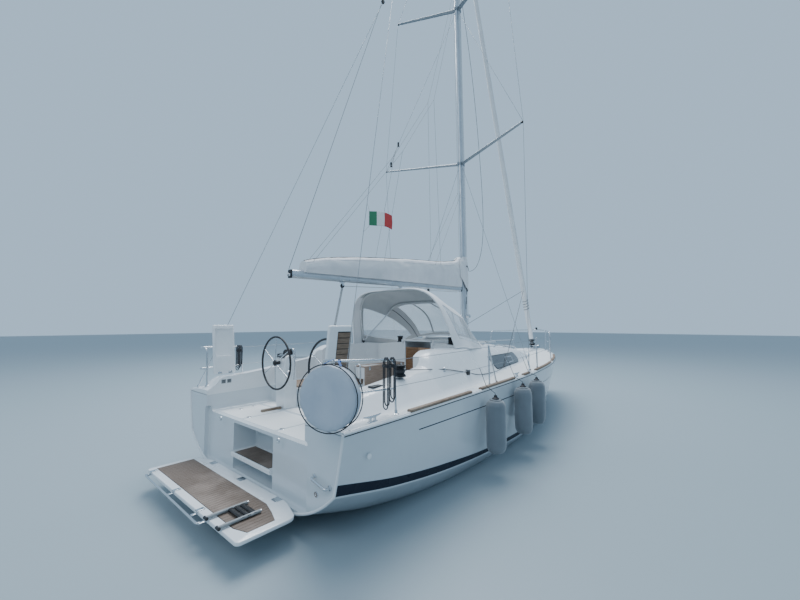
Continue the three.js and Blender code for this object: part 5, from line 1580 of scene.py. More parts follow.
def build_pushpit(side, suffix):
    top = 1.800
    main = arc_corners([(-4.900, 1.440, 1.175), (-4.925, 1.430, top), (-4.960, 1.640, top),
                        (-4.215, rail_y(-4.215), top - 0.028), (-4.190, rail_y(-4.190), 1.150)], 0.09, 6)
    middle = arc_corners([(-4.912, 1.435, 1.470), (-4.942, 1.668, 1.470), (-4.203, rail_y(-4.203), 1.455)],
                         0.06)
    piece = tubes("pushpit_tubes_" + suffix, [mirrored(main, side)], 0.0125, STEEL, 14)
    finish(piece, "yacht", ["pushpit_" + suffix])
    finish(tubes("pushpit_middle_" + suffix, [mirrored(middle, side)], 0.010, STEEL, 12), "yacht")
    foot_flanges("pushpit_feet_" + suffix, [(-4.900, side * 1.440, deck_height(-4.900, 1.440)),
                                            (-4.190, side * rail_y(-4.190),
                                             deck_height(-4.190, rail_y(-4.190)))])


def build_pulpit():
    top = 1.960
    half = arc_corners([(3.420, rail_y(3.420), 1.335), (3.440, rail_y(3.440) - 0.010, top - 0.020),
                        (4.300, rail_y(4.300) + 0.040, top), (4.830, 0.150, top + 0.010),
                        (4.930, 0, top + 0.010)],
                       0.10, 6)
    half[-1] = Vector((4.930, 0, top + 0.010))
    paths = [list(half) + [Vector((p.x, -p.y, p.z)) for p in reversed(half[:-1])]]
    thin = []
    for side in (1, -1):
        paths.append([(4.300, (rail_y(4.300) + 0.040) * side, top), (4.250, rail_y(4.250) * side, 1.350)])
        thin.append([(3.430, (rail_y(3.430) - 0.004) * side, 1.640),
                     (4.270, (rail_y(4.270) + 0.016) * side, 1.650)])
    finish(tubes("pulpit_tubes", paths, 0.0125, STEEL, 14), "yacht", ["pulpit"])
    finish(tubes("pulpit_middle", thin, 0.010, STEEL, 12), "yacht")
    foot_flanges("pulpit_feet",
                 [(x, side * rail_y(x), edge_z(x) - 0.01) for x in (3.420, 4.250) for side in (1, -1)])
    lamp = Workpiece()
    lamp.turned([(0, 0), (0.030, 0), (0.033, 0.012), (0.033, 0.055), (0.026, 0.068), (0, 0.070)],
                (4.915, 0, top + 0.022), (0, 0, 1), 20, 0)
    finish(lamp.piece("bow_light", BLACK), "yacht")


def build_guard_rail(side, suffix):
    posts = []
    for x in STANCHION_XS:
        posts.append([(x, side * rail_y(x), edge_z(x) - 0.01),
                      (x, side * (rail_y(x) - 0.006), edge_z(x) + RAIL_HEIGHT)])
    gate = STANCHION_XS[0]
    posts.append([(gate + 0.260, side * rail_y(gate + 0.260), edge_z(gate) - 0.01),
                  (gate, side * rail_y(gate), edge_z(gate) + RAIL_HEIGHT - 0.020)])
    finish(tubes("stanchions_" + suffix, posts, 0.0125, STEEL, 14), "yacht",
           ["guard_rail_" + suffix])
    caps = Workpiece()
    for x in STANCHION_XS:
        caps.turned([(0.0125, -0.01), (0.0150, 0), (0.0140, 0.012), (0.008, 0.020), (0, 0.021)],
                    (x, side * (rail_y(x) - 0.006), edge_z(x) + RAIL_HEIGHT), (0, 0, 1), 16, 0)
        for height in (RAIL_HEIGHT - 0.012, RAIL_HEIGHT / 2):
            caps.turned([(0, -0.016), (0.0155, -0.016), (0.0155, 0.016), (0, 0.016)],
                        (x, side * (rail_y(x) - 0.004), edge_z(x) + height), (0, 0, 1), 14, 0)
    finish(caps.piece("stanchion_caps_" + suffix, STEEL), "yacht")
    feet = [(x, side * rail_y(x), edge_z(x) - 0.008) for x in (*STANCHION_XS, gate + 0.260)]
    foot_flanges("stanchion_feet_" + suffix, feet)
    wires = []
    for height in (RAIL_HEIGHT - 0.012, RAIL_HEIGHT / 2):
        posts_x = [-4.190, *STANCHION_XS, 3.425]
        points = [Vector((x, side * (rail_y(x) - 0.004), edge_z(x) + height)) for x in posts_x]
        path = []
        for a, b in zip(points, points[1:]):
            path.extend(sagging(a, b, 0.010, 8)[:-1])
        wires.append(path + [points[-1]])
    finish(tubes("guard_wires_" + suffix, wires, 0.0032, WIRE_STEEL, 8), "yacht")


for side, suffix in SIDES:
    build_pushpit(side, suffix)
    build_guard_rail(side, suffix)
build_pulpit()

# Mast and standing rigging

MAST_FOOT = (0.312, 1.752)
MAST_RAKE = 0.0235
MAST_TOP_Z = 14.100
MAST_HALF = (0.092, 0.058)
MAST_SIDES = 40
SPREADERS = ((6.020, 1.800, 0.690, 0.090), (9.900, 1.430, 0.560, 0.070))
STAY_FOOT = Vector((4.560, 0, 1.400))
STAY_TOP_Z = 13.450
BACKSTAY_SPLIT = Vector((-2.200, 0, 9.000))


def mast_x(z):
    return MAST_FOOT[0] - MAST_RAKE * (z - MAST_FOOT[1])


STAY_HEAD = Vector((mast_x(STAY_TOP_Z) + 0.060, 0, STAY_TOP_Z))
STAY_LENGTH = (STAY_HEAD - STAY_FOOT).length


def along_stay(distance):
    return STAY_FOOT + (STAY_HEAD - STAY_FOOT).normalized() * distance


def mast_ring(z, length, width):
    """Pear-shaped section with a sail groove on its after side."""
    ring = []
    for k in range(MAST_SIDES):
        angle = math.tau * k / MAST_SIDES
        x, y = math.cos(angle), math.sin(angle)
        groove = 0.10 if abs(angle - math.pi) < 0.12 else 0
        ring.append((mast_x(z) + (x + groove) * length, y * width * (1 + 0.06 * x), z))
    return ring


def build_mast():
    tube = Workpiece()
    levels = [(1.70, 1.0), (3.0, 1.0), (6.0, 1.0), (9.0, 1.0), (11.0, 1.0), (13.0, 0.78), (14.06, 0.62),
              (14.10, 0.58)]
    tube.loft([mast_ring(z, MAST_HALF[0] * s, MAST_HALF[1] * (s if s > 0.99 else s * 1.1))
               for z, s in levels], 0)
    mast = tube.piece("mast_tube", SPAR, flat_angle=50)
    finish(mast, "yacht", ["mast"])
    parts = Workpiece()
    top_x = mast_x(MAST_TOP_Z)
    parts.block((top_x - 0.21, -0.028, 14.062), (top_x + 0.13, 0.028, 14.128), 0.008, 0)
    for dx in (-0.175, 0.095):
        parts.turned([(0.012, -0.012), (0.042, -0.010), (0.036, 0), (0.042, 0.010), (0.012, 0.012)],
                     (top_x + dx, 0, 14.085), (0, 1, 0), 20, 1)
    parts.block((0.162, -0.11, 1.735), (0.462, 0.11, 1.772), 0.010, 0)
    parts.loft([mast_ring(z, MAST_HALF[0] * s, MAST_HALF[1] * s) for z, s in ((1.76, 1.16), (1.79, 1.14),
                                                                             (1.80, 1.05))], 0)
    for z, s in ((3.35, 1.045), (5.2, 1.04), (12.9, 0.86)):
        parts.loft([mast_ring(z + h, MAST_HALF[0] * s, MAST_HALF[1] * s) for h in (-0.02, 0.02)], 0)
    finish(parts.piece("mast_fittings", SPAR, BLACK), "yacht")
    stay_end = tubes("forestay_head", [[along_stay(STAY_LENGTH - 0.494), STAY_HEAD]], 0.006, WIRE_STEEL, 10)
    finish(stay_end, "yacht")
    gear = Workpiece()
    for side in (1, -1):
        gear.turned([(0, 0), (0.045, 0), (0.045, 0.012), (0.032, 0.020), (0.030, 0.060), (0.042, 0.072),
                     (0.042, 0.085),
                     (0.020, 0.092), (0, 0.092)], (mast_x(2.35), side * 0.056, 2.35), (0, side, 0), 26, 0)
        for k, z in enumerate((2.60, 2.72, 2.95)):
            gear.block((mast_x(z) - 0.03 + 0.02 * k, side * 0.052 - 0.008, z - 0.09),
                       (mast_x(z) + 0.0 + 0.02 * k, side * 0.052 + 0.012, z + 0.09), 0.004, 1)
    finish(gear.piece("mast_winches", STEEL, BLACK), "yacht")
    top = Workpiece()
    top.rod((top_x - 0.02, 0.0, 14.095), (top_x - 0.02, 0.0, 14.128), 0.012, paint=0)
    finish(top.piece("masthead_post", BLACK), "yacht")


def build_spreaders(name, z, half, sweep, rise):
    arms = Workpiece()
    for side in (1, -1):
        root = Vector((mast_x(z) - 0.02, 0.050 * side, z))
        tip = Vector((mast_x(z) - sweep, half * side, z + rise))
        rings = []
        for share, length, thick in ((0, 0.058, 0.026), (0.25, 0.052, 0.021), (0.7, 0.042, 0.017),
                                     (0.97, 0.034, 0.014),
                                     (1.0, 0.026, 0.010)):
            centre = root.lerp(tip, share)
            rings.append([centre + Vector((math.cos(a) * length, 0, math.sin(a) * thick))
                          for a in (math.tau * j / 16 for j in range(16))])
        arms.loft(rings, 0)
        arms.turned([(0, -0.02), (0.020, -0.018), (0.026, 0), (0.020, 0.018), (0, 0.02)], tip,
                    (0, side, 0), 16, 1)
    collar = ((0, 0.94), (0.008, 1), (0.062, 1), (0.07, 0.94))
    arms.loft([mast_ring(z - 0.035 + h, 0.112 * s, 0.078 * s) for h, s in collar], 0)
    finish(arms.piece(name + "_arms", SPREADER, BLACK), "yacht", [name])


def turnbuckle(shape, low, high, radius=0.014):
    """A bottle screw between two points."""
    low, high = Vector(low), Vector(high)
    along = high - low
    length = along.length
    r = radius
    shape.turned([(0, 0), (r * 0.55, 0), (r * 0.55, length * 0.10), (r, length * 0.16), (r, length * 0.30),
                  (r * 0.62, length * 0.34), (r * 0.62, length * 0.66), (r, length * 0.70),
                  (r, length * 0.84),
                  (r * 0.5, length * 0.90), (r * 0.42, length), (0, length)], low, along.normalized(), 14, 0)


def build_shrouds(side, suffix):
    cap_foot = Vector((-0.220, 1.722 * side, 1.275))
    lower_foot = Vector((-0.150, 1.722 * side, 1.275))
    tips = [Vector((mast_x(z) - sweep - 0.006, (half + 0.024) * side, z + rise))
            for z, half, sweep, rise in SPREADERS]

    def hound(z):
        return Vector((mast_x(z) - 0.020, 0.060 * side, z))

    lower_top = hound(SPREADERS[0][0] - 0.120)
    wires = [[cap_foot, *tips, hound(STAY_TOP_Z)], [lower_foot, lower_top],
             [tips[0], hound(SPREADERS[1][0] - 0.120)]]
    finish(tubes("shroud_wires_" + suffix, wires, 0.0036, WIRE_STEEL, 8), "yacht",
           ["shrouds_" + suffix])
    parts = Workpiece()
    turnbuckle(parts, cap_foot.lerp(tips[0], 0.002), cap_foot.lerp(tips[0], 0.075))
    turnbuckle(parts, lower_foot.lerp(lower_top, 0.002), lower_foot.lerp(lower_top, 0.065), 0.013)
    low, high = sorted((side * 1.716, side * 1.728))
    parts.block((-0.245, low, 1.235), (-0.125, high, 1.287), 0.003, 0)
    parts.block((-0.275, side * 1.722 - 0.03, 1.222), (-0.095, side * 1.722 + 0.03, 1.242), 0.004, 0)
    finish(parts.piece("shroud_turnbuckles_" + suffix, STEEL), "yacht")


def backstay_foot(side):
    return Vector((-4.930, 1.700 * side, 1.190))


def build_backstay():
    top = Vector((mast_x(MAST_TOP_Z) - 0.205, 0, MAST_TOP_Z - 0.005))
    split = BACKSTAY_SPLIT
    feet = [backstay_foot(side) for side in (1, -1)]
    wires = [[foot, split] for foot in feet] + [[top, split]]
    finish(tubes("backstay_wires", wires, 0.0036, WIRE_STEEL, 8), "yacht", ["backstay"])
    parts = Workpiece()
    for foot in feet:
        turnbuckle(parts, foot.lerp(split, 0.002), foot.lerp(split, 0.050), 0.015)
        parts.block(foot + Vector((-0.014, -0.009, -0.060)), foot + Vector((0.014, 0.009, 0.020)), 0.003, 0)
    parts.block(split + Vector((-0.016, -0.024, -0.050)), split + Vector((0.016, 0.024, 0.040)), 0.006, 0)
    finish(parts.piece("backstay_turnbuckles", STEEL), "yacht")


build_mast()
build_spreaders("spreaders_lower", *SPREADERS[0])
build_spreaders("spreaders_upper", *SPREADERS[1])
for side, suffix in SIDES:
    build_shrouds(side, suffix)
build_backstay()

# Furled headsail, drum and bow fitting

# Distances along the stay, and the roll's radius at each
ROLL = (0.300, 1.500, STAY_LENGTH - 0.900, STAY_LENGTH - 0.500)
ROLL_RADII = (0.062, 0.080, 0.048, 0.030)


def build_headsail():
    along = (STAY_HEAD - STAY_FOOT).normalized()
    side_way = Vector((0, 1, 0))
    across = along.cross(side_way)
    sides = 28
    rings = []
    count = 230
    for k in range(count + 1):
        s = ROLL[0] + 0.02 + (ROLL[3] - ROLL[0] - 0.02) * k / count
        radius = float(np.interp(s, ROLL, ROLL_RADII))
        wobble = 1 + 0.035 * noise.noise(Vector((s * 2.1, 0, 0)))
        ring = []
        for j in range(sides):
            angle = math.tau * j / sides
            turn = (angle / math.tau + s * 0.62) % 1.0
            step = 1.0 + 0.055 * (turn - 0.5)
            fold = 0.02 * noise.noise(Vector((math.cos(angle) * 2, math.sin(angle) * 2, s * 3.0)))
            r = radius * (wobble * step + fold)
            ring.append(along_stay(s) + side_way * (math.cos(angle) * r) + across * (math.sin(angle) * r))
        rings.append(ring)
    roll = Workpiece()
    roll.loft(rings, 0)
    finish(roll.piece("rolled_headsail", SAILCLOTH, flat_angle=50), "furler", ["furled_headsail"])
    sheet_lines = []
    for turn in range(2):
        path = []
        for k in range(60):
            s = 1.30 + 0.35 * k / 60 + turn * 0.02
            angle = math.tau * k / 15 + turn
            radius = float(np.interp(s, ROLL, ROLL_RADII)) + 0.008
            place = along_stay(s) + side_way * (math.cos(angle) * radius)
            path.append(place + across * (math.sin(angle) * radius))
        sheet_lines.append(path)
    finish(tubes("headsail_sheet_turns", sheet_lines, 0.006, ROPE_GREY, 10), "furler")
    drum = Workpiece()
    profile = [(0, 0.110), (0.090, 0.110), (0.095, 0.116), (0.095, 0.130), (0.088, 0.135), (0.048, 0.137),
               (0.045, 0.243), (0.088, 0.246), (0.095, 0.252), (0.095, 0.266), (0.088, 0.270),
               (0.048, 0.272),
               (0.045, 0.310), (0, 0.310)]
    drum.turned(profile, STAY_FOOT, along, 36, 0)
    finish(drum.piece("furling_drum_spool", BLACK), "furler", ["furling_drum"])
    turns = []
    for k in range(7):
        s = 0.150 + k * 0.014
        turns.append([along_stay(s) + side_way * (math.cos(a) * 0.052) + across * (math.sin(a) * 0.052)
                      for a in (math.tau * j / 24 for j in range(25))])
    finish(tubes("furling_line_turns", turns, 0.005, ROPE_GREY, 8), "furler")


def build_anchor():
    """A plough-shaped anchor stowed in the bow roller."""
    anchor = Workpiece()
    anchor.block((4.52, -0.010, 1.405), (4.97, 0.010, 1.440), 0.004, 0)
    anchor.turned([(0, -0.05), (0.030, -0.05), (0.022, 0), (0.030, 0.05), (0, 0.05)], (5.000, 0, 1.430),
                  (0, 1, 0), 24,
                  1)
    finish(anchor.piece("bow_anchor_shank", SPREADER, BLACK), "yacht")


build_headsail()
build_anchor()

# Boom, vang, bag and running rigging

BOOM_END_X = -4.430
GOOSENECK = (0.128, 2.990)
BOOM_END_Z = 2.865
SHEET_X = -3.470


def boom_z(x):
    return BOOM_END_Z + (GOOSENECK[1] - BOOM_END_Z) * (x - BOOM_END_X) / (GOOSENECK[0] - BOOM_END_X)


def build_boom():
    tube = Workpiece()
    rings = []
    for k in range(13):
        x = BOOM_END_X + 0.02 + (GOOSENECK[0] - BOOM_END_X - 0.02) * k / 12
        share = k / 12
        ring = []
        for j in range(32):
            angle = math.tau * j / 32
            c, s = math.cos(angle), math.sin(angle)
            y = math.copysign(abs(c) ** 0.75, c) * (0.042 + 0.003 * share)
            z = math.copysign(abs(s) ** 0.85, s) * (0.060 + 0.008 * share)
            ring.append((x, y, boom_z(x) + z))
        rings.append(ring)
    tube.loft(rings, 0)
    finish(tube.piece("boom_tube", SPAR, flat_angle=50), "boom", ["boom"])
    ends = Workpiece()
    x = BOOM_END_X
    ends.block((x - 0.004, -0.043, boom_z(x) - 0.062), (x + 0.03, 0.043, boom_z(x) + 0.062), 0.018, 0,
               steps=3)
    for k in range(3):
        ends.turned([(0.006, -0.006), (0.020, -0.006), (0.017, 0), (0.020, 0.006), (0.006, 0.006)],
                    (x - 0.001, (k - 1) * 0.022, boom_z(x) - 0.015), (0, 1, 0), 16, 1)
    ends.block((GOOSENECK[0] - 0.03, -0.046, 2.990 - 0.070), (GOOSENECK[0] + 0.012, 0.046, 2.990 + 0.070),
               0.015, 0,
               steps=3)
    ends.block((GOOSENECK[0], -0.020, 2.970), (0.176, 0.020, 3.010), 0.008, 1)
    ends.turned([(0, -0.05), (0.011, -0.05), (0.011, 0.05), (0, 0.05)], (0.168, 0, 2.990), (0, 0, 1), 14, 1)
    finish(ends.piece("boom_ends", BLACK, STEEL), "boom")
    clips = Workpiece()
    for cx in (-1.45, -2.05, SHEET_X):
        z = boom_z(cx) - 0.066
        clips.block((cx - 0.05, -0.012, z - 0.012), (cx + 0.05, 0.012, z + 0.006), 0.003, 0)
        clips.turned([(0, -0.018), (0.030, -0.018), (0.036, 0), (0.030, 0.018), (0, 0.018)],
                     (cx, 0, z - 0.055),
                     (0, 1, 0), 20, 1)
        clips.block((cx - 0.016, -0.022, z - 0.06), (cx + 0.016, 0.022, z - 0.004), 0.006, 0)
    finish(clips.piece("boom_blocks", STEEL, BLACK), "boom")
    low = Vector((0.160, 0, 1.985))
    high = Vector((-1.150, 0, boom_z(-1.150) - 0.100))
    strut = Workpiece()
    strut.turned([(0, 0), (0.014, 0.0), (0.014, 0.05), (0.024, 0.06), (0.024, 0.78), (0.026, 0.79),
                  (0.026, 0.82),
                  (0.016, 0.83), (0.016, (high - low).length - 0.01), (0, (high - low).length)], low,
                 (high - low).normalized(), 24, 0)
    strut.block(high + Vector((-0.03, -0.012, -0.01)), high + Vector((0.03, 0.012, 0.045)), 0.005, 1)
    finish(strut.piece("vang_strut", SPAR, BLACK), "boom", ["vang"])
    tackle = [[low.lerp(high, 0.05) + Vector((0.01, y, -0.05)), low.lerp(high, 0.86) + Vector((0, y, -0.03))]
              for y in (-0.010, 0.010)]
    finish(tubes("vang_tackle", tackle, 0.0045, ROPE_GREY, 8), "boom")


# x, half width and height of the bag above the boom's top
BAG_SECTIONS = [(-4.210, 0.092, 0.128), (-3.950, 0.122, 0.190), (-3.000, 0.142, 0.310),
                (-1.700, 0.155, 0.415),
                (-0.700, 0.160, 0.480), (-0.150, 0.150, 0.560), (0.040, 0.120, 0.660)]
# The bag starts this far above the boom's middle, and its crown stands this far above the height in the table
BAG_SEAT = 0.030
BAG_CROWN = 0.042


def bag_side(x, side, up, proud=0.0):
    """A point on the sail bag's side: up is 0 at the boom and 1 at the zip."""
    _, half, height = (float(v) for v in smooth_table(BAG_SECTIONS, x))
    across = math.sqrt(1 - up * up) ** 0.55
    return Vector((x, side * (half * across + proud),
                   boom_z(x) + BAG_SEAT + up ** 0.80 * (height + BAG_CROWN)))


def build_bag():
    """The stowed sail in its bag, with a zip along the top and long folds that rise towards the mast."""
    rings = []
    count = 150
    around = 30
    for k in range(count + 1):
        x = BAG_SECTIONS[0][0] + (BAG_SECTIONS[-1][0] - BAG_SECTIONS[0][0]) * k / count
        _, half, height = (float(v) for v in smooth_table(BAG_SECTIONS, x))
        base = boom_z(x) + BAG_SEAT
        ring = []
        for j in range(around + 1):
            share = j / around
            angle = math.pi * share
            across, up = math.cos(angle), math.sin(angle)
            y = math.copysign(abs(across) ** 0.55, across) * half
            z = base + (abs(up) ** 0.80) * (height + BAG_CROWN)
            sag = 1 - 0.20 * max(0.0, 0.35 - up) / 0.35
            wrinkle = noise.noise(Vector((x * 2.2 + z * 3.4, z * 1.3, math.copysign(2.0, y)))) * 0.020
            wrinkle += noise.noise(Vector((x * 6.0 + z * 9.0, z * 4.0, 7.0))) * 0.007
            crease = abs(noise.noise(Vector((x * 3.0 - z * 5.0, z * 1.5, math.copysign(3.0, y)))))
            wrinkle -= max(0.0, 0.10 - crease) * 0.10
            pull = min(1.0, 4 * up * (1 - 0.3 * up))
            y = y * sag + math.copysign(wrinkle * pull, y) * (abs(across) ** 0.5)
            z = z + wrinkle * 0.5 * up
            ring.append(Vector((x, y, z)))
        rings.append(ring)
    bag = Workpiece()
    for ring in rings:
        ring.extend(Vector((ring[0].x, ring[-1].y + (ring[0].y - ring[-1].y) * s, ring[0].z + 0.004))
                    for s in (0.33, 0.66))
    bag.loft(rings, 0)
    cloth = finish(bag.piece("sail_bag_cloth", SAIL_CANVAS, flat_angle=60), "boom", ["sail_bag"])
    zip_path = []
    seams = [[], []]
    for k in range(80):
        x = -4.195 + 4.175 * k / 79
        top = boom_z(x) + BAG_SEAT + float(smooth_table(BAG_SECTIONS, x)[2]) + BAG_CROWN
        zip_path.append((x, 0.004 * math.sin(x * 9), top + 0.005))
        for n, side in enumerate((1, -1)):
            seams[n].append(bag_side(x, side, 0.80, 0.004))
    finish(tubes("bag_zip", [zip_path], 0.009, PIPING, 8), "boom")
    finish(tubes("bag_seams", seams, 0.0035, SAIL_CANVAS, 6), "boom")


build_boom()
build_bag()


# Running rigging: straight lines between the boom, the mast and the deck, all taut

LIFT_BLOCK = Vector((-2.550, 0, 8.270))
JACK_HEIGHT = 10.300
# Where the lazy jacks meet the bag, as a share of its height
SHOULDER_SHARE = 0.75
JACK_UPPER = (-1.020, 7.020)
JACK_LOWER = (-2.100, 5.450)
SHEET_EYE = Vector((-3.870, 0, 0.880))


def bag_shoulder(x, side):
    """Where a lazy jack meets the sail bag's upper side."""
    return bag_side(x, side, SHOULDER_SHARE)


def shade_smooth(piece):
    for polygon in piece.data.polygons:
        polygon.use_smooth = True


def swinging(piece):
    """Lines and blocks between the boom and the mast: shaded smooth, with the transform baked in, and
    attached to no body.
    """
    shade_smooth(piece)
    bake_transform(piece)
    return piece


def build_lifts():
    """Topping lift and lazy jacks."""
    boom_end = Vector((BOOM_END_X - 0.010, 0, boom_z(BOOM_END_X) + 0.065))
    mast_top = Vector((mast_x(13.9) - 0.130, 0, 13.9))
    lift = tubes("topping_lift", [[boom_end, LIFT_BLOCK], [LIFT_BLOCK, mast_top]], 0.0042, ROPE_GREY, 8)
    swinging(lift)
    lines = []
    for side in (1, -1):
        hang = Vector((mast_x(JACK_HEIGHT) - 0.095, side * 0.050, JACK_HEIGHT))
        upper = Vector((JACK_UPPER[0], side * 0.080, JACK_UPPER[1]))
        lower = Vector((JACK_LOWER[0], side * 0.100, JACK_LOWER[1]))
        cheek = Vector((mast_x(5.300) - 0.095, side * 0.050, 5.300))
        lines += [[hang, upper], [upper, lower], [lower, bag_shoulder(-4.100, side)],
                  [lower, bag_shoulder(-2.620, side)], [upper, bag_shoulder(-0.870, side)],
                  [cheek, bag_shoulder(-1.080, side)]]
    jacks = tubes("lazy_jacks", lines, 0.0026, ROPE_GREY, 6)
    swinging(jacks)
    blocks = Workpiece()
    pulley = [(0, -0.012), (0.020, -0.012), (0.024, 0), (0.020, 0.012), (0, 0.012)]
    upper_block, lower_block = Vector((-1.990, 0.100, 5.700)), Vector((-2.200, 0.100, 5.220))
    for point in (upper_block, lower_block):
        blocks.block(point - Vector((0.014, 0.016, 0.045)), point + Vector((0.014, 0.016, 0.045)), 0.006, 0)
        blocks.turned(pulley, point - Vector((0, 0, 0.030)), (0, 1, 0), 18, 0)
    for gap in (-0.012, 0.0, 0.012):
        blocks.rod(upper_block + Vector((0, gap, 0)), lower_block + Vector((0, gap, 0)), 0.0026, sides=8,
                   paint=1)
    swinging(blocks.piece("lazy_jack_tackle", BLACK, ROPE_WHITE))
    lift_block = Workpiece()
    lift_block.block(LIFT_BLOCK - Vector((0.018, 0.014, 0.080)), LIFT_BLOCK + Vector((0.018, 0.014, 0.040)),
                     0.008)
    lift_block.turned([(r * 1.6, z * 1.5) for r, z in pulley], LIFT_BLOCK - Vector((0, 0, 0.04)), (0, 1, 0),
                      18)
    swinging(lift_block.piece("topping_lift_block", BLACK))


def build_mast_halyards():
    """Halyards close along the mast's sides and fore face."""
    lines = []
    for y, dx in ((0.066, -0.050), (-0.066, -0.050), (0.0, 0.108), (-0.03, 0.104)):
        top = Vector((mast_x(13.95) + dx * 0.8, y, 13.95))
        foot = Vector((mast_x(1.95) + dx * 1.05, y * 1.2, 1.95))
        lines.append([foot, top])
    finish(tubes("mast_halyards", lines, 0.0045, ROPE_WHITE, 6), "yacht")


def build_mainsheet():
    """Sheet from the boom's after block to an eye on the helmsman's sole, and forward along the boom."""
    top = Vector((SHEET_X, 0, boom_z(SHEET_X) - 0.150))
    falls = [[SHEET_EYE + Vector((0, y, 0.150)), top + Vector((0, y * 0.8, 0))]
             for y in (-0.024, -0.008, 0.008, 0.024)]
    sheet = tubes("mainsheet_falls", falls, 0.005, ROPE_WHITE, 8)
    shade_smooth(sheet)
    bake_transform(sheet)
    run = [(x, 0.0, boom_z(x) - drop)
           for x, drop in ((SHEET_X + 0.03, 0.125), (-2.08, 0.095), (-1.48, 0.095),
                             (-0.02, 0.085))]
    finish(tubes("mainsheet_run", [run], 0.005, ROPE_WHITE, 8), "boom")
    foot = Workpiece()
    foot.turned([(0, 0), (0.030, 0), (0.030, 0.006), (0.012, 0.010), (0.012, 0.030), (0, 0.030)], SHEET_EYE,
                (0, 0, 1), 20, 0)
    foot.block(SHEET_EYE + Vector((-0.020, -0.032, 0.040)), SHEET_EYE + Vector((0.020, 0.032, 0.150)), 0.010,
               1, steps=3)
    foot.turned([(0, -0.030), (0.032, -0.030), (0.036, 0), (0.032, 0.030), (0, 0.030)],
                SHEET_EYE + Vector((0, 0, 0.115)), (0, 1, 0), 20, 1)
    finish(foot.piece("mainsheet_foot_block", STEEL, BLACK), "yacht")


WINCH_PLACE = (-3.680, 1.395, 1.494)
SHEET_ROUTE = [(-3.540, 1.400, 1.562), (-2.790, 1.470, 1.505), (-2.160, 1.480, 1.400),
               (-1.750, 1.490, 1.325),
               (-0.790, 1.310, 1.270), (-0.250, 1.230, 1.310)]


def build_headsail_sheets():
    """One sheet each side: three turns on the winch, through its blocks and forward to the rolled sail."""
    lines = []
    fittings = Workpiece()
    for side in (1, -1):
        x, y, z = WINCH_PLACE
        turns = [(x + 0.062 * math.cos(a), y + 0.062 * math.sin(a), z + 0.052 + 0.011 * a / math.tau)
                 for a in (math.tau * k / 24 for k in range(-6, 72))]
        clew = along_stay(1.900) + Vector((-0.085, 0, 0))
        route = smooth_path([turns[-1], *SHEET_ROUTE], 4)[1:]
        lines.append(mirrored(turns + [tuple(p) for p in route], side))
        lines.append(mirrored([SHEET_ROUTE[-1], (clew.x, clew.y + 0.02, clew.z)], side))
        bullseye = Vector((-2.790, side * 1.470, 1.478))
        fittings.turned([(0.012, -0.008), (0.026, -0.010), (0.030, 0), (0.026, 0.010), (0.012, 0.008)],
                        bullseye + Vector((0, 0, 0.026)), (1, 0, 0), 20, 1)
        fittings.block(bullseye + Vector((-0.030, -0.016, -0.010)), bullseye + Vector((0.030, 0.016, 0.006)),
                       0.004, 1)
        lead = Vector((-2.155, side * 1.480, 1.395))
        fittings.block(lead + Vector((-0.055, -0.030, -0.045)), lead + Vector((0.055, -0.014, 0.045)), 0.008,
                       0)
        fittings.block(lead + Vector((-0.055, 0.014, -0.045)), lead + Vector((0.055, 0.030, 0.045)), 0.008,
                       0)
        fittings.block(lead + Vector((-0.050, -0.026, -0.050)), lead + Vector((0.050, 0.026, -0.028)), 0.006,
                       0)
        fittings.turned([(0, -0.013), (0.030, -0.013), (0.026, 0), (0.030, 0.013), (0, 0.013)],
                        lead - Vector((0, 0, 0.008)), (0, 1, 0), 22, 1)
        for px, py, pz in (SHEET_ROUTE[4], SHEET_ROUTE[5]):
            spot = Vector((px, side * py, deck_height(px, side * py)))
            fittings.block(spot + Vector((-0.060, -0.016, -0.004)), spot + Vector((0.060, 0.016, 0.014)),
                           0.004, 1)
            fittings.turned([(0, -0.012), (0.026, -0.012), (0.022, 0), (0.026, 0.012), (0, 0.012)],
                            Vector((px, side * py, pz - 0.026)), (0, 1, 0), 20, 0)
    finish(tubes("headsail_sheets", lines, 0.0055, ROPE_BLACK, 8), "yacht")
    finish(fittings.piece("sheet_leads", BLACK, STEEL), "yacht")


# Remaining solid pieces keep their shape and take a finish

def paint_nodes():
    # The rudder takes the bottom's gelcoat, greyed as painted shade
    finishes = {"keel": KEEL_PAINT, "saildrive": DRIVE_PAINT, "engine": CAST, "rudder": BOTTOM_PAINTED_SHADE,
                "propeller": BRONZE, "stem_fitting": STEEL, "companionway_steps": CABIN_WOOD}
    for name, material in finishes.items():
        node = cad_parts[name]
        for slot in node.material_slots:
            slot.material = material


paint_nodes()
build_lifts()
build_mast_halyards()
build_mainsheet()
build_headsail_sheets()

# Collar of cloth that closes the bag round the mast

# z, half length and half width of the cloth round the mast, x of its after edge
COLLAR_RINGS = [(2.905, 0.112, 0.082, 0.080), (3.050, 0.118, 0.090, -0.090), (3.180, 0.122, 0.097, -0.120),
                (3.480, 0.116, 0.091, -0.120), (3.600, 0.110, 0.084, -0.060), (3.690, 0.104, 0.075, 0.060),
                (3.750, 0.098, 0.066, 0.150)]
COLLAR_SHARES = 44


def collar_point(z, share, inset=0.0):
    """A point on the cloth: share runs from the port edge round the mast's front to the starboard one."""
    _, length, width, edge = (float(v) for v in smooth_table(COLLAR_RINGS, z))
    side = 1 if share < 0.5 else -1
    near = 1 - abs(2 * share - 1)
    centre = mast_x(z)
    up = min(max((z - boom_z(edge) - BAG_SEAT) / 0.66, 0.0), 0.995) ** 1.25
    bag_half = 0.155 * math.sqrt(1 - up * up) ** 0.55 + 0.008
    if near < 0.5:
        along = near / 0.5
        ease = along * along * (3 - 2 * along)
        x = edge + (centre - edge) * along
        y = bag_half + (width - bag_half) * ease
    else:
        angle = (near - 0.5) * math.pi
        x = centre + (length - inset) * math.sin(angle) ** 0.8
        y = width * math.cos(angle) ** 0.8
    return Vector((x, side * max(y - inset, 0.0), z))


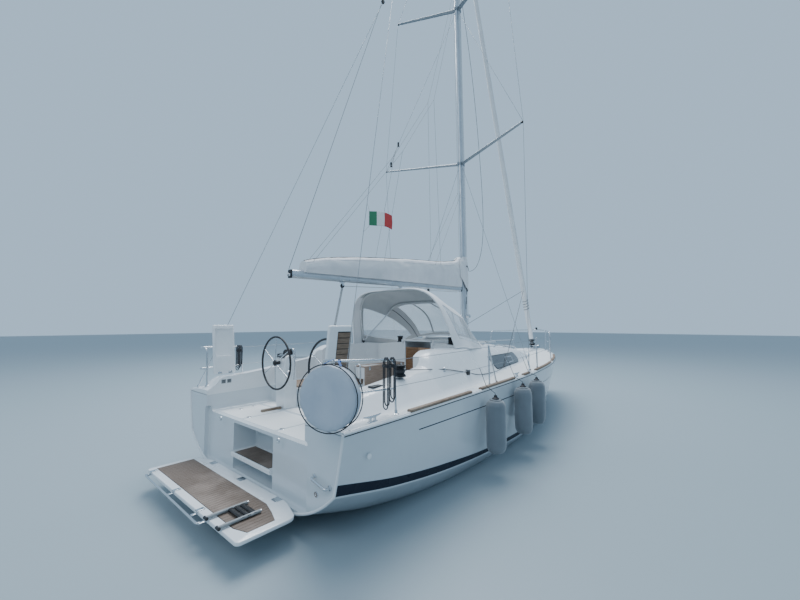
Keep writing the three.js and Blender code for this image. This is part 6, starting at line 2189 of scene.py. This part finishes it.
def build_collar():
    rings = []
    for k in range(41):
        z = COLLAR_RINGS[0][0] + (COLLAR_RINGS[-1][0] - COLLAR_RINGS[0][0]) * k / 40
        outside, inside = [], []
        for j in range(COLLAR_SHARES + 1):
            share = j / COLLAR_SHARES
            point = collar_point(z, share)
            crease = 0.006 * noise.noise(Vector((point.x * 5 + point.z * 6, point.y * 3, point.z * 3)))
            crease += 0.003 * noise.noise(Vector((point.x * 16, point.y * 9, point.z * 14)))
            outside.append(collar_point(z, share, -crease - 0.002))
            inside.append(collar_point(z, share, -crease + 0.002))
        rings.append(outside + inside[::-1])
    shape = Workpiece()
    shape.loft(rings, 0)
    collar = shape.piece("bag_collar_cloth", SAIL_CANVAS, flat_angle=60)
    slant = Workpiece()
    slant.loft([[(-0.30, y, 3.338), (0.60, y, 2.818), (0.60, y, 2.60), (-0.30, y, 2.60)]
                for y in (-0.4, 0.4)], 0)
    cut(collar, slant.piece("cutter"))
    sharpen(collar, 50)
    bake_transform(collar)
    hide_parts("bag_collar")
    girth = sum((collar_point(3.3, (k + 1) / 60) - collar_point(3.3, k / 60)).length for k in range(60))


# Sprayhood

# x of the foot, x of the crest, half width, z of the foot, z of the crest, squareness, lean
HOOD_ARCHES = [(-0.760, -0.560, 1.000, 1.700, 1.935, 2.0, 0.05),
               (-1.160, -0.805, 1.095, 1.715, 2.355, 2.0, 0.14),
               (-1.510, -1.515, 1.190, 1.722, 2.625, 5.0, 0.34),
               (-1.800, -2.190, 1.230, 1.756, 2.812, 4.9, 0.26),
               (-2.100, -2.375, 1.250, 1.760, 2.796, 4.6, 0.18)]
HOOD_CLOTH = 0.004
# Windows of clear vinyl: from u, to u, from share, to share
FRONT_PANES = [(0.14, 1.84, 0.280, 0.405), (0.14, 1.84, 0.415, 0.585), (0.14, 1.84, 0.595, 0.720)]
SIDE_PANES = [(0.30, 3.05, 0.050, 0.200), (0.30, 3.05, 0.800, 0.950)]
PANES = FRONT_PANES + SIDE_PANES
# Place between the arches, share where the straight leg ends
HOOPS = [(2.0, 0.217), (3.3, 0.166)]
HOOP_HINGE = Vector((-1.870, 1.180, 1.800))


def hood_point(u, share, inset=0.0):
    """A point on the hood: u is 0 at the front edge and 4 at the after one; share runs port to starboard."""
    rows = [(k, *row) for k, row in enumerate(HOOD_ARCHES)]
    columns = smooth_table(rows, min(max(u, 0), 4))
    _, foot_x, crest_x, half, foot_z, crest_z, power, lean = (float(v) for v in columns)
    angle = math.pi * share
    c, s = math.cos(angle), max(math.sin(angle), 0.0)
    reach = (abs(c) ** power + s ** power) ** (-1 / power)
    across, up = reach * c, reach * s
    return Vector((foot_x + (crest_x - foot_x) * up, (half - inset) * across * (1 - lean * up),
                   foot_z + (crest_z - inset - foot_z) * up))


def spaced_with(stops, low, high, count):
    """Evenly spaced values with the stops among them."""
    values = [low + (high - low) * k / count for k in range(count + 1)]
    for stop in stops:
        nearest = min(range(1, count), key=lambda k: abs(values[k] - stop))
        values[nearest] = stop
    return values


def hood_wrinkle(u, share):
    """Slack between the hoops, in soft folds that run from the feet to the crest."""
    p = hood_point(u, share)
    slack = 0.5 + 0.5 * math.sin(math.pi * min(1.0, u % 1.0))
    folds = 0.010 * noise.noise(Vector((p.x * 2.4, p.y * 1.6, p.z * 2.0)))
    folds += 0.005 * noise.noise(Vector((p.x * 7.0 + p.z * 4.0, p.y * 2.0, p.z * 2.5)))
    return folds * slack


def in_pane(u, share):
    return any(u0 < u < u1 and s0 < share < s1 for u0, u1, s0, s1 in PANES)


def build_hood():
    us = spaced_with((0.14, 0.30, 1.84, 3.05), 0, 4, 60)
    shares = spaced_with([share for pane in PANES for share in pane[2:]], 0, 1, 96)
    outer, inner = [], []
    for u in us:
        for share in shares:
            depth = 0.006 - 0.6 * hood_wrinkle(u, share)
            outer.append(hood_point(u, share, depth))
            inner.append(hood_point(u, share, depth + HOOD_CLOTH))
    cells, rim = sheet_faces(len(us), len(shares))
    paints = []
    for i in range(len(us) - 1):
        for j in range(len(shares) - 1):
            clear = in_pane((us[i] + us[i + 1]) / 2, (shares[j] + shares[j + 1]) / 2)
            pale = us[i] > 3.72 or (us[i] > 3.25 and not 0.25 < shares[j] < 0.75)
            paints += [2, 2] if clear else [0, 0 if pale else 1]
    paints += [0] * len(rim)
    hood = new_piece_from_data("sprayhood_cloth", outer + inner, cells + rim,
                               [CANVAS, HOOD_LINING, CLEAR_VINYL],
                               True, paints)
    turn_faces_out(hood)
    sharpen(hood, 70)
    finish(hood, "yacht", ["sprayhood"])
    girth = sum((hood_point(2.5, (k + 1) / 60) - hood_point(2.5, k / 60)).length for k in range(60))
    run = sum((hood_point((k + 1) / 10, 0.5) - hood_point(k / 10, 0.5)).length for k in range(40))


def hood_arc(u, start, inset, steps=48):
    return [hood_point(u, start + (1 - 2 * start) * k / steps, inset) for k in range(steps + 1)]


def build_hood_edges():
    hems = [hood_arc(3.97, 0.0, 0.016, 60), hood_arc(0.03, 0.0, 0.010, 60)]
    hems += [[hood_point(4 * k / 40, share, 0.010) for k in range(41)] for share in (0.004, 0.996)]
    finish(tubes("sprayhood_hem", hems, 0.010, CANVAS, 10), "yacht")
    seams = []
    for u0, u1, s0, s1 in PANES:
        corners = [(u0, s0), (u1, s0), (u1, s1), (u0, s1), (u0, s0)]
        path = []
        for (ua, sa), (ub, sb) in zip(corners, corners[1:]):
            path.extend(hood_point(ua + (ub - ua) * k / 24, sa + (sb - sa) * k / 24, 0.012)
                        for k in range(24))
        seams.append(path + path[:1])
    finish(tubes("sprayhood_window_seams", seams, 0.006, HOOD_LINING, 6), "yacht")
    zips = [[hood_point(0.05 + 1.9 * k / 30, share, 0.016) for k in range(31)] for share in (0.245, 0.755)]
    finish(tubes("sprayhood_zips", zips, 0.006, PIPING, 6), "yacht")


def build_hood_hoops():
    hoops, sleeves = [], []
    for u, start in HOOPS:
        port = HOOP_HINGE
        starboard = Vector((port.x, -port.y, port.z))
        hoops.append([port, *hood_arc(u, start, 0.038), starboard])
        sleeves.append(hood_arc(u, start + 0.030, 0.034))
    finish(tubes("sprayhood_hoops", hoops, 0.0125, STEEL, 12), "yacht", ["sprayhood_frame"])
    finish(tubes("sprayhood_hoop_sleeves", sleeves, 0.024, HOOD_LINING, 12), "yacht")
    hinges = Workpiece()
    for side in (1, -1):
        low = Vector((HOOP_HINGE.x, side * HOOP_HINGE.y, 1.735))
        hinges.turned([(0, 0), (0.030, 0), (0.030, 0.008), (0.014, 0.014), (0.014, 0.080), (0, 0.082)], low,
                      (0, 0, 1), 20)
        hinges.turned([(0, -0.022), (0.022, -0.022), (0.022, 0.022), (0, 0.022)],
                      low + Vector((0, 0, 0.065)), (0, 1, 0), 20)
    finish(hinges.piece("sprayhood_hinges", BLACK), "yacht")


build_collar()
build_hood()
build_hood_edges()
build_hood_hoops()

# Hanging ropes, each as long as the route it is drawn along

def add_cord(name, route, diameter, material):
    """A rope swept as a round tube of the diameter given along the route, on the yacht."""
    path = [tuple(p) for p in route]
    rope = tubes(name, [path], diameter / 2, material, 10)
    finish(rope, "yacht")


# x and z of a spare halyard that hangs in a loop before the mast, then its end over the bag's collar
HALYARD_LOOP = [(0.225, 10.380), (0.330, 10.300), (0.520, 9.700), (0.760, 8.800), (1.000, 7.600),
                (1.180, 6.350),
                (1.280, 5.390), (1.290, 4.700), (1.220, 4.200), (1.080, 3.840), (0.880, 3.590),
                (0.680, 3.480),
                (0.520, 3.450)]
HALYARD_OVER_COLLAR = [(0.398, -0.066, 3.472), (0.345, -0.092, 3.490), (0.300, -0.103, 3.506),
                       (0.262, -0.108, 3.520)]
HANK_DIAMETER = 0.014
HANK_RADIUS = 0.046
# Name, x on the pushpit's rail, side, drop, turns
HANKS = [("hank_starboard_aft", -4.345, -1, 0.550, 2), ("hank_starboard_forward", -4.262, -1, 0.480, 2),
         ("hank_port", -4.300, 1, 0.420, 4)]


def build_halyard_loop():
    exit_block = Workpiece()
    exit_block.block((0.185, -0.018, 10.345), (0.225, 0.018, 10.410), 0.006)
    finish(exit_block.piece("halyard_exit", BLACK), "yacht")
    x, y, z = HALYARD_OVER_COLLAR[-1]
    knot = Workpiece()
    knot.turned([(0, -0.024), (0.010, -0.020), (0.015, -0.008), (0.015, 0.008), (0.010, 0.020), (0, 0.024)],
                (x - 0.012, y - 0.003, z + 0.004), (-0.9, 0, 0.3), 18)
    tied = finish(knot.piece("halyard_knot", ROPE_BLACK), "yacht")
    loop = [(x, 0.0, z) for x, z in HALYARD_LOOP] + HALYARD_OVER_COLLAR
    add_cord("spare_halyard", smooth_path(loop, 3), 0.010, ROPE_BLACK)


def hank_route(top, along, drop, turns):
    """Long upright turns side by side, each from the rail down the outer side, round and up the inner one."""
    across = along.cross(Vector((0, 0, 1))).normalized()
    low = drop - 2 * HANK_RADIUS
    points = []
    for k in range(24 * turns + 1):
        turn, step = divmod(k, 24)
        angle = math.pi / 2 - math.tau * step / 24
        below = low * (1 - 0.08 * turn) if 6 < step < 18 else 0.0
        shift = along * (HANK_DIAMETER * 1.4 * k / 24)
        points.append(top + shift + across * (HANK_RADIUS * math.cos(angle))
                      + Vector((0, 0, HANK_RADIUS * (math.sin(angle) - 1) - below)))
    return points


def build_hanks():
    """Spare dock lines in long turns over the pushpits' rails, each held by a tie round its neck."""
    after_end = Vector((-4.960, 1.640, 1.800))
    fore_end = Vector((-4.215, rail_y(-4.215), 1.772))
    for name, x, side, drop, turns in HANKS:
        rail = after_end.lerp(fore_end, (x - after_end.x) / (fore_end.x - after_end.x))
        along = fore_end - after_end
        rail.y *= side
        along.y *= side
        along.normalize()
        top = rail + Vector((0, 0, 0.0125 + HANK_DIAMETER / 2 + 0.0005))
        route = hank_route(top, along, drop, turns)
        half = HANK_DIAMETER * 0.7 * turns
        across = along.cross(Vector((0, 0, 1))).normalized()
        centre = top + along * half - Vector((0, 0, 0.105))
        loops = [[centre + along * ((half + 0.012) * math.cos(a))
                  + across * ((HANK_RADIUS + 0.012) * math.sin(a))
                  + Vector((0, 0, 0.0095 * a / math.tau)) for a in (math.tau * k / 28 for k in range(85))]]
        tie = finish(tubes(name + "_tie", loops, 0.0045, ROPE_BLACK, 8), "yacht")
        add_cord(name, route, HANK_DIAMETER, ROPE_BLACK)


build_halyard_loop()
build_hanks()

# Fenders, lifebuoy cover and ensign

FENDERS = [(-2.290, 1.130), (-1.250, 1.170), (-0.590, 1.200)]
FENDER_RADIUS = 0.148
FENDER_LENGTH = 0.820


def vertex_places(piece):
    places = np.empty(len(piece.data.vertices) * 3)
    piece.data.vertices.foreach_get("co", places)
    return places.reshape(-1, 3)


def swell(piece, voxel, pressure, cap):
    """Inflates a closed shape as cloth, keeps each point within cap of where it was, and applies it."""
    remesh = piece.modifiers.new("even", "REMESH")
    remesh.mode = "VOXEL"
    remesh.voxel_size = voxel
    settle(piece)
    start = vertex_places(piece)
    cloth = piece.modifiers.new("cloth", "CLOTH")
    cloth.settings.effector_weights.gravity = 0
    cloth.settings.use_pressure = True
    cloth.settings.uniform_pressure_force = pressure
    cloth.settings.quality = 4
    cloth.settings.tension_stiffness = 20
    cloth.settings.bending_stiffness = 0.6
    cloth.point_cache.frame_start = 1
    cloth.point_cache.frame_end = 20
    for number in range(1, 21):
        scene.frame_set(number)
    settle(piece)
    scene.frame_set(1)
    step = vertex_places(piece) - start
    length = np.linalg.norm(step, axis=1)
    limited = start + step * np.minimum(1, cap / np.maximum(length, 1e-9))[:, None]
    piece.data.vertices.foreach_set("co", limited.ravel())
    piece.data.update()


def soften(piece, material):
    """Rounds a swollen cover once more and gives it back its material."""
    modifier = piece.modifiers.new("soft", "SUBSURF")
    modifier.levels = 1
    modifier.render_levels = 1
    settle(piece)
    sharpen(piece, 60)
    piece.data.materials.clear()
    piece.data.materials.append(material)


def build_fenders():
    pad = 0.006
    for index, (x, top) in enumerate(FENDERS):
        y = -rail_y(x) - RAIL_INSET - FENDER_RADIUS - 0.012
        body = Workpiece()
        r, n = FENDER_RADIUS - pad, FENDER_LENGTH
        profile = [(0, -n + pad), (r * 0.55, -n + 0.010), (r * 0.80, -n + 0.030), (r * 0.97, -n + 0.085),
                   (r, -n + 0.16), (r, -0.20), (r * 0.96, -0.14), (r * 0.80, -0.085), (r * 0.52, -0.060),
                   (r * 0.30, -0.050), (0, -0.048)]
        body.turned(profile, (x, y, top), (0, 0, 1), 44)
        cover = body.piece("fender_cover_%d" % (index + 1), FENDER_KNIT)
        swell(cover, 0.014, 2.5, 0.006)
        for vert in cover.data.vertices:
            co = vert.co
            away = Vector((co.x - x, co.y - y, 0))
            if away.length > 0.02:
                crease = noise.noise(Vector((co.x * 5 + index, co.y * 5, co.z * 9))) * 0.0045
                crease += noise.noise(Vector((math.atan2(away.y, away.x) * 2.2, co.z * 2.0, index))) * 0.004
                co += away.normalized() * crease
        soften(cover, FENDER_KNIT)
        finish(cover, "yacht", ["fender_%d" % (index + 1)])
        eye = Workpiece()
        eye.turned([(0, -0.058), (0.052, -0.056), (0.050, -0.040), (0.028, -0.026), (0.022, -0.005),
                    (0.018, 0.004),
                    (0, 0.006)], (x, y, top), (0, 0, 1), 24)
        finish(eye.piece("fender_eye_%d" % (index + 1), PIPING), "yacht")
        draw = [[(x + 0.082 * math.cos(a), y + 0.082 * math.sin(a), top - 0.066) for a in
                 (math.tau * j / 28 for j in range(29))]]
        finish(tubes("fender_drawstring_%d" % (index + 1), draw, 0.005, PIPING, 8), "yacht")
        rail = Vector((x, -rail_y(x) + 0.004, edge_z(x) + RAIL_HEIGHT / 2))
        over = Vector((x, -sheer_half(x) - 0.012, edge_z(x) + 0.03))
        line = [[(x, y, top), (x, y + 0.01, top + 0.03), over + Vector((0, 0, 0.02)), rail]]
        finish(tubes("fender_line_%d" % (index + 1), line, 0.0045, ROPE_BLACK, 8), "yacht")


BUOY_CENTRE = Vector((-5.180, -1.812, 1.494))
BUOY_RADIUS = 0.310
BUOY_THICK = 0.150
BUOY_TURN = 0.375


def build_lifebuoy():
    """A padded round cover hung outside the starboard pushpit, with piping round both faces."""
    turn = Matrix.Translation(BUOY_CENTRE) @ Matrix.Rotation(BUOY_TURN, 4, "Z")
    body = Workpiece()
    r, t = BUOY_RADIUS - 0.008, BUOY_THICK
    profile = [(0, 0.016), (r * 0.35, 0.014), (r * 0.60, 0.008), (r * 0.85, 0.006), (r * 0.985, 0.012),
               (r, 0.022),
               (r * 0.985, t * 0.5), (r * 0.975, t - 0.022), (r * 0.955, t - 0.010), (r * 0.6, t - 0.006),
               (0, t - 0.006)]
    body.turned(profile, (0, 0, 0), (1, 0, 0), 64, 0, turn)
    cover = body.piece("lifebuoy_cover_cloth", COVER_CLOTH)
    swell(cover, 0.013, 3.0, 0.008)
    back = turn.inverted()
    for vert in cover.data.vertices:
        local = back @ vert.co
        radius = math.hypot(local.y, local.z)
        angle = math.atan2(local.z, local.y)
        if local.x < t * 0.5:
            fold = noise.noise(Vector((local.y * 7, local.z, 3.0))) * 0.016
            fold += noise.noise(Vector((local.y * 18, local.z * 3.0, 1.0))) * 0.004
            local.x += fold * min(1.0, radius / 0.12) * (1 if radius < r * 0.93 else 0.3)
        else:
            local.x += noise.noise(Vector((local.y * 5, local.z * 5, 9.0))) * 0.004
        if radius > r * 0.9:
            squeeze = 0.006 * noise.noise(Vector((angle * 3.0, local.x * 12, 5.0)))
            local.y *= 1 + squeeze / radius
            local.z *= 1 + squeeze / radius
        vert.co = turn @ local
    soften(cover, COVER_CLOTH)
    finish(cover, "yacht", ["lifebuoy_cover"])
    pipings = []
    for depth, reach in ((0.012, r + 0.004), (t - 0.016, r * 0.985)):
        pipings.append([turn @ Vector((depth, reach * math.cos(a), reach * math.sin(a)))
                        for a in (math.tau * j / 72 for j in range(73))])
    finish(tubes("lifebuoy_piping", pipings, 0.0055, PIPING, 8), "yacht")
    strap = Workpiece()
    rail_point = Vector((-4.935, -1.655, 1.800))
    for dy in (-0.10, 0.10):
        top = turn @ Vector((t * 0.55, dy, r * 0.95))
        path = (top, top.lerp(rail_point, 0.5) + Vector((0, 0, 0.02)),
                rail_point + Vector((0, dy * 0.4, 0.016)), rail_point + Vector((0.014, dy * 0.4, 0.0)),
                rail_point + Vector((0, dy * 0.4, -0.016)))
        section = ((-0.012, -0.002), (0.012, -0.002), (0.012, 0.002), (-0.012, 0.002))
        strap.loft([[p + Vector((a, b, 0)) for a, b in section] for p in path])
    finish(strap.piece("lifebuoy_straps", STRAP_BLUE), "yacht")


ENSIGN_HOIST = Vector((-4.090, -1.233, 0))
ENSIGN_TURN = math.radians(-49.4)
ENSIGN_LENGTH = 0.295
ENSIGN_DEPTH = 0.182
ENSIGN_LOW = 3.402


def build_ensign():
    """A small plain flag of three bands on the backstay, with a slight wave; its fly end hangs lower."""
    columns, rows = 36, 14
    heading = Vector((math.cos(ENSIGN_TURN), math.sin(ENSIGN_TURN), 0))
    sideways = Vector((-heading.y, heading.x, 0))
    points = []
    for layer in (0.0004, -0.0004):
        for i in range(columns + 1):
            u = i / columns
            for j in range(rows + 1):
                v = j / rows
                wave = 0.012 * math.sin(u * 7.0 + v * 1.5) * u ** 0.6
                droop = 0.012 * u + 0.044 * u ** 4
                place = ENSIGN_HOIST + heading * (ENSIGN_LENGTH * u * (1 - 0.05 * u * abs(v - 0.5)))
                place += sideways * (wave + layer)
                place.z = ENSIGN_LOW + ENSIGN_DEPTH * v - droop
                points.append(place)
    cells, rim = sheet_faces(columns + 1, rows + 1)
    paints = [3 * i // columns for i in range(columns) for _ in range(2 * rows)]
    paints += [3 * min(face[0] // (rows + 1), columns - 1) // columns for face in rim]
    flag = new_piece_from_data("ensign_cloth", points, cells + rim, [FLAG_GREEN, FLAG_WHITE, FLAG_RED], True,
                               paints)
    turn_faces_out(flag)
    finish(flag, "yacht", ["ensign"])
    leg_low, leg_high = backstay_foot(-1), BACKSTAY_SPLIT
    halyard = [[leg_low.lerp(leg_high, 0.270), ENSIGN_HOIST + Vector((0, 0, 3.390)),
                ENSIGN_HOIST + Vector((0, 0, 3.595)),
                leg_low.lerp(leg_high, 0.325)]]
    finish(tubes("ensign_halyard", halyard, 0.0025, ROPE_WHITE, 8), "yacht")


build_fenders()
build_lifebuoy()
build_ensign()
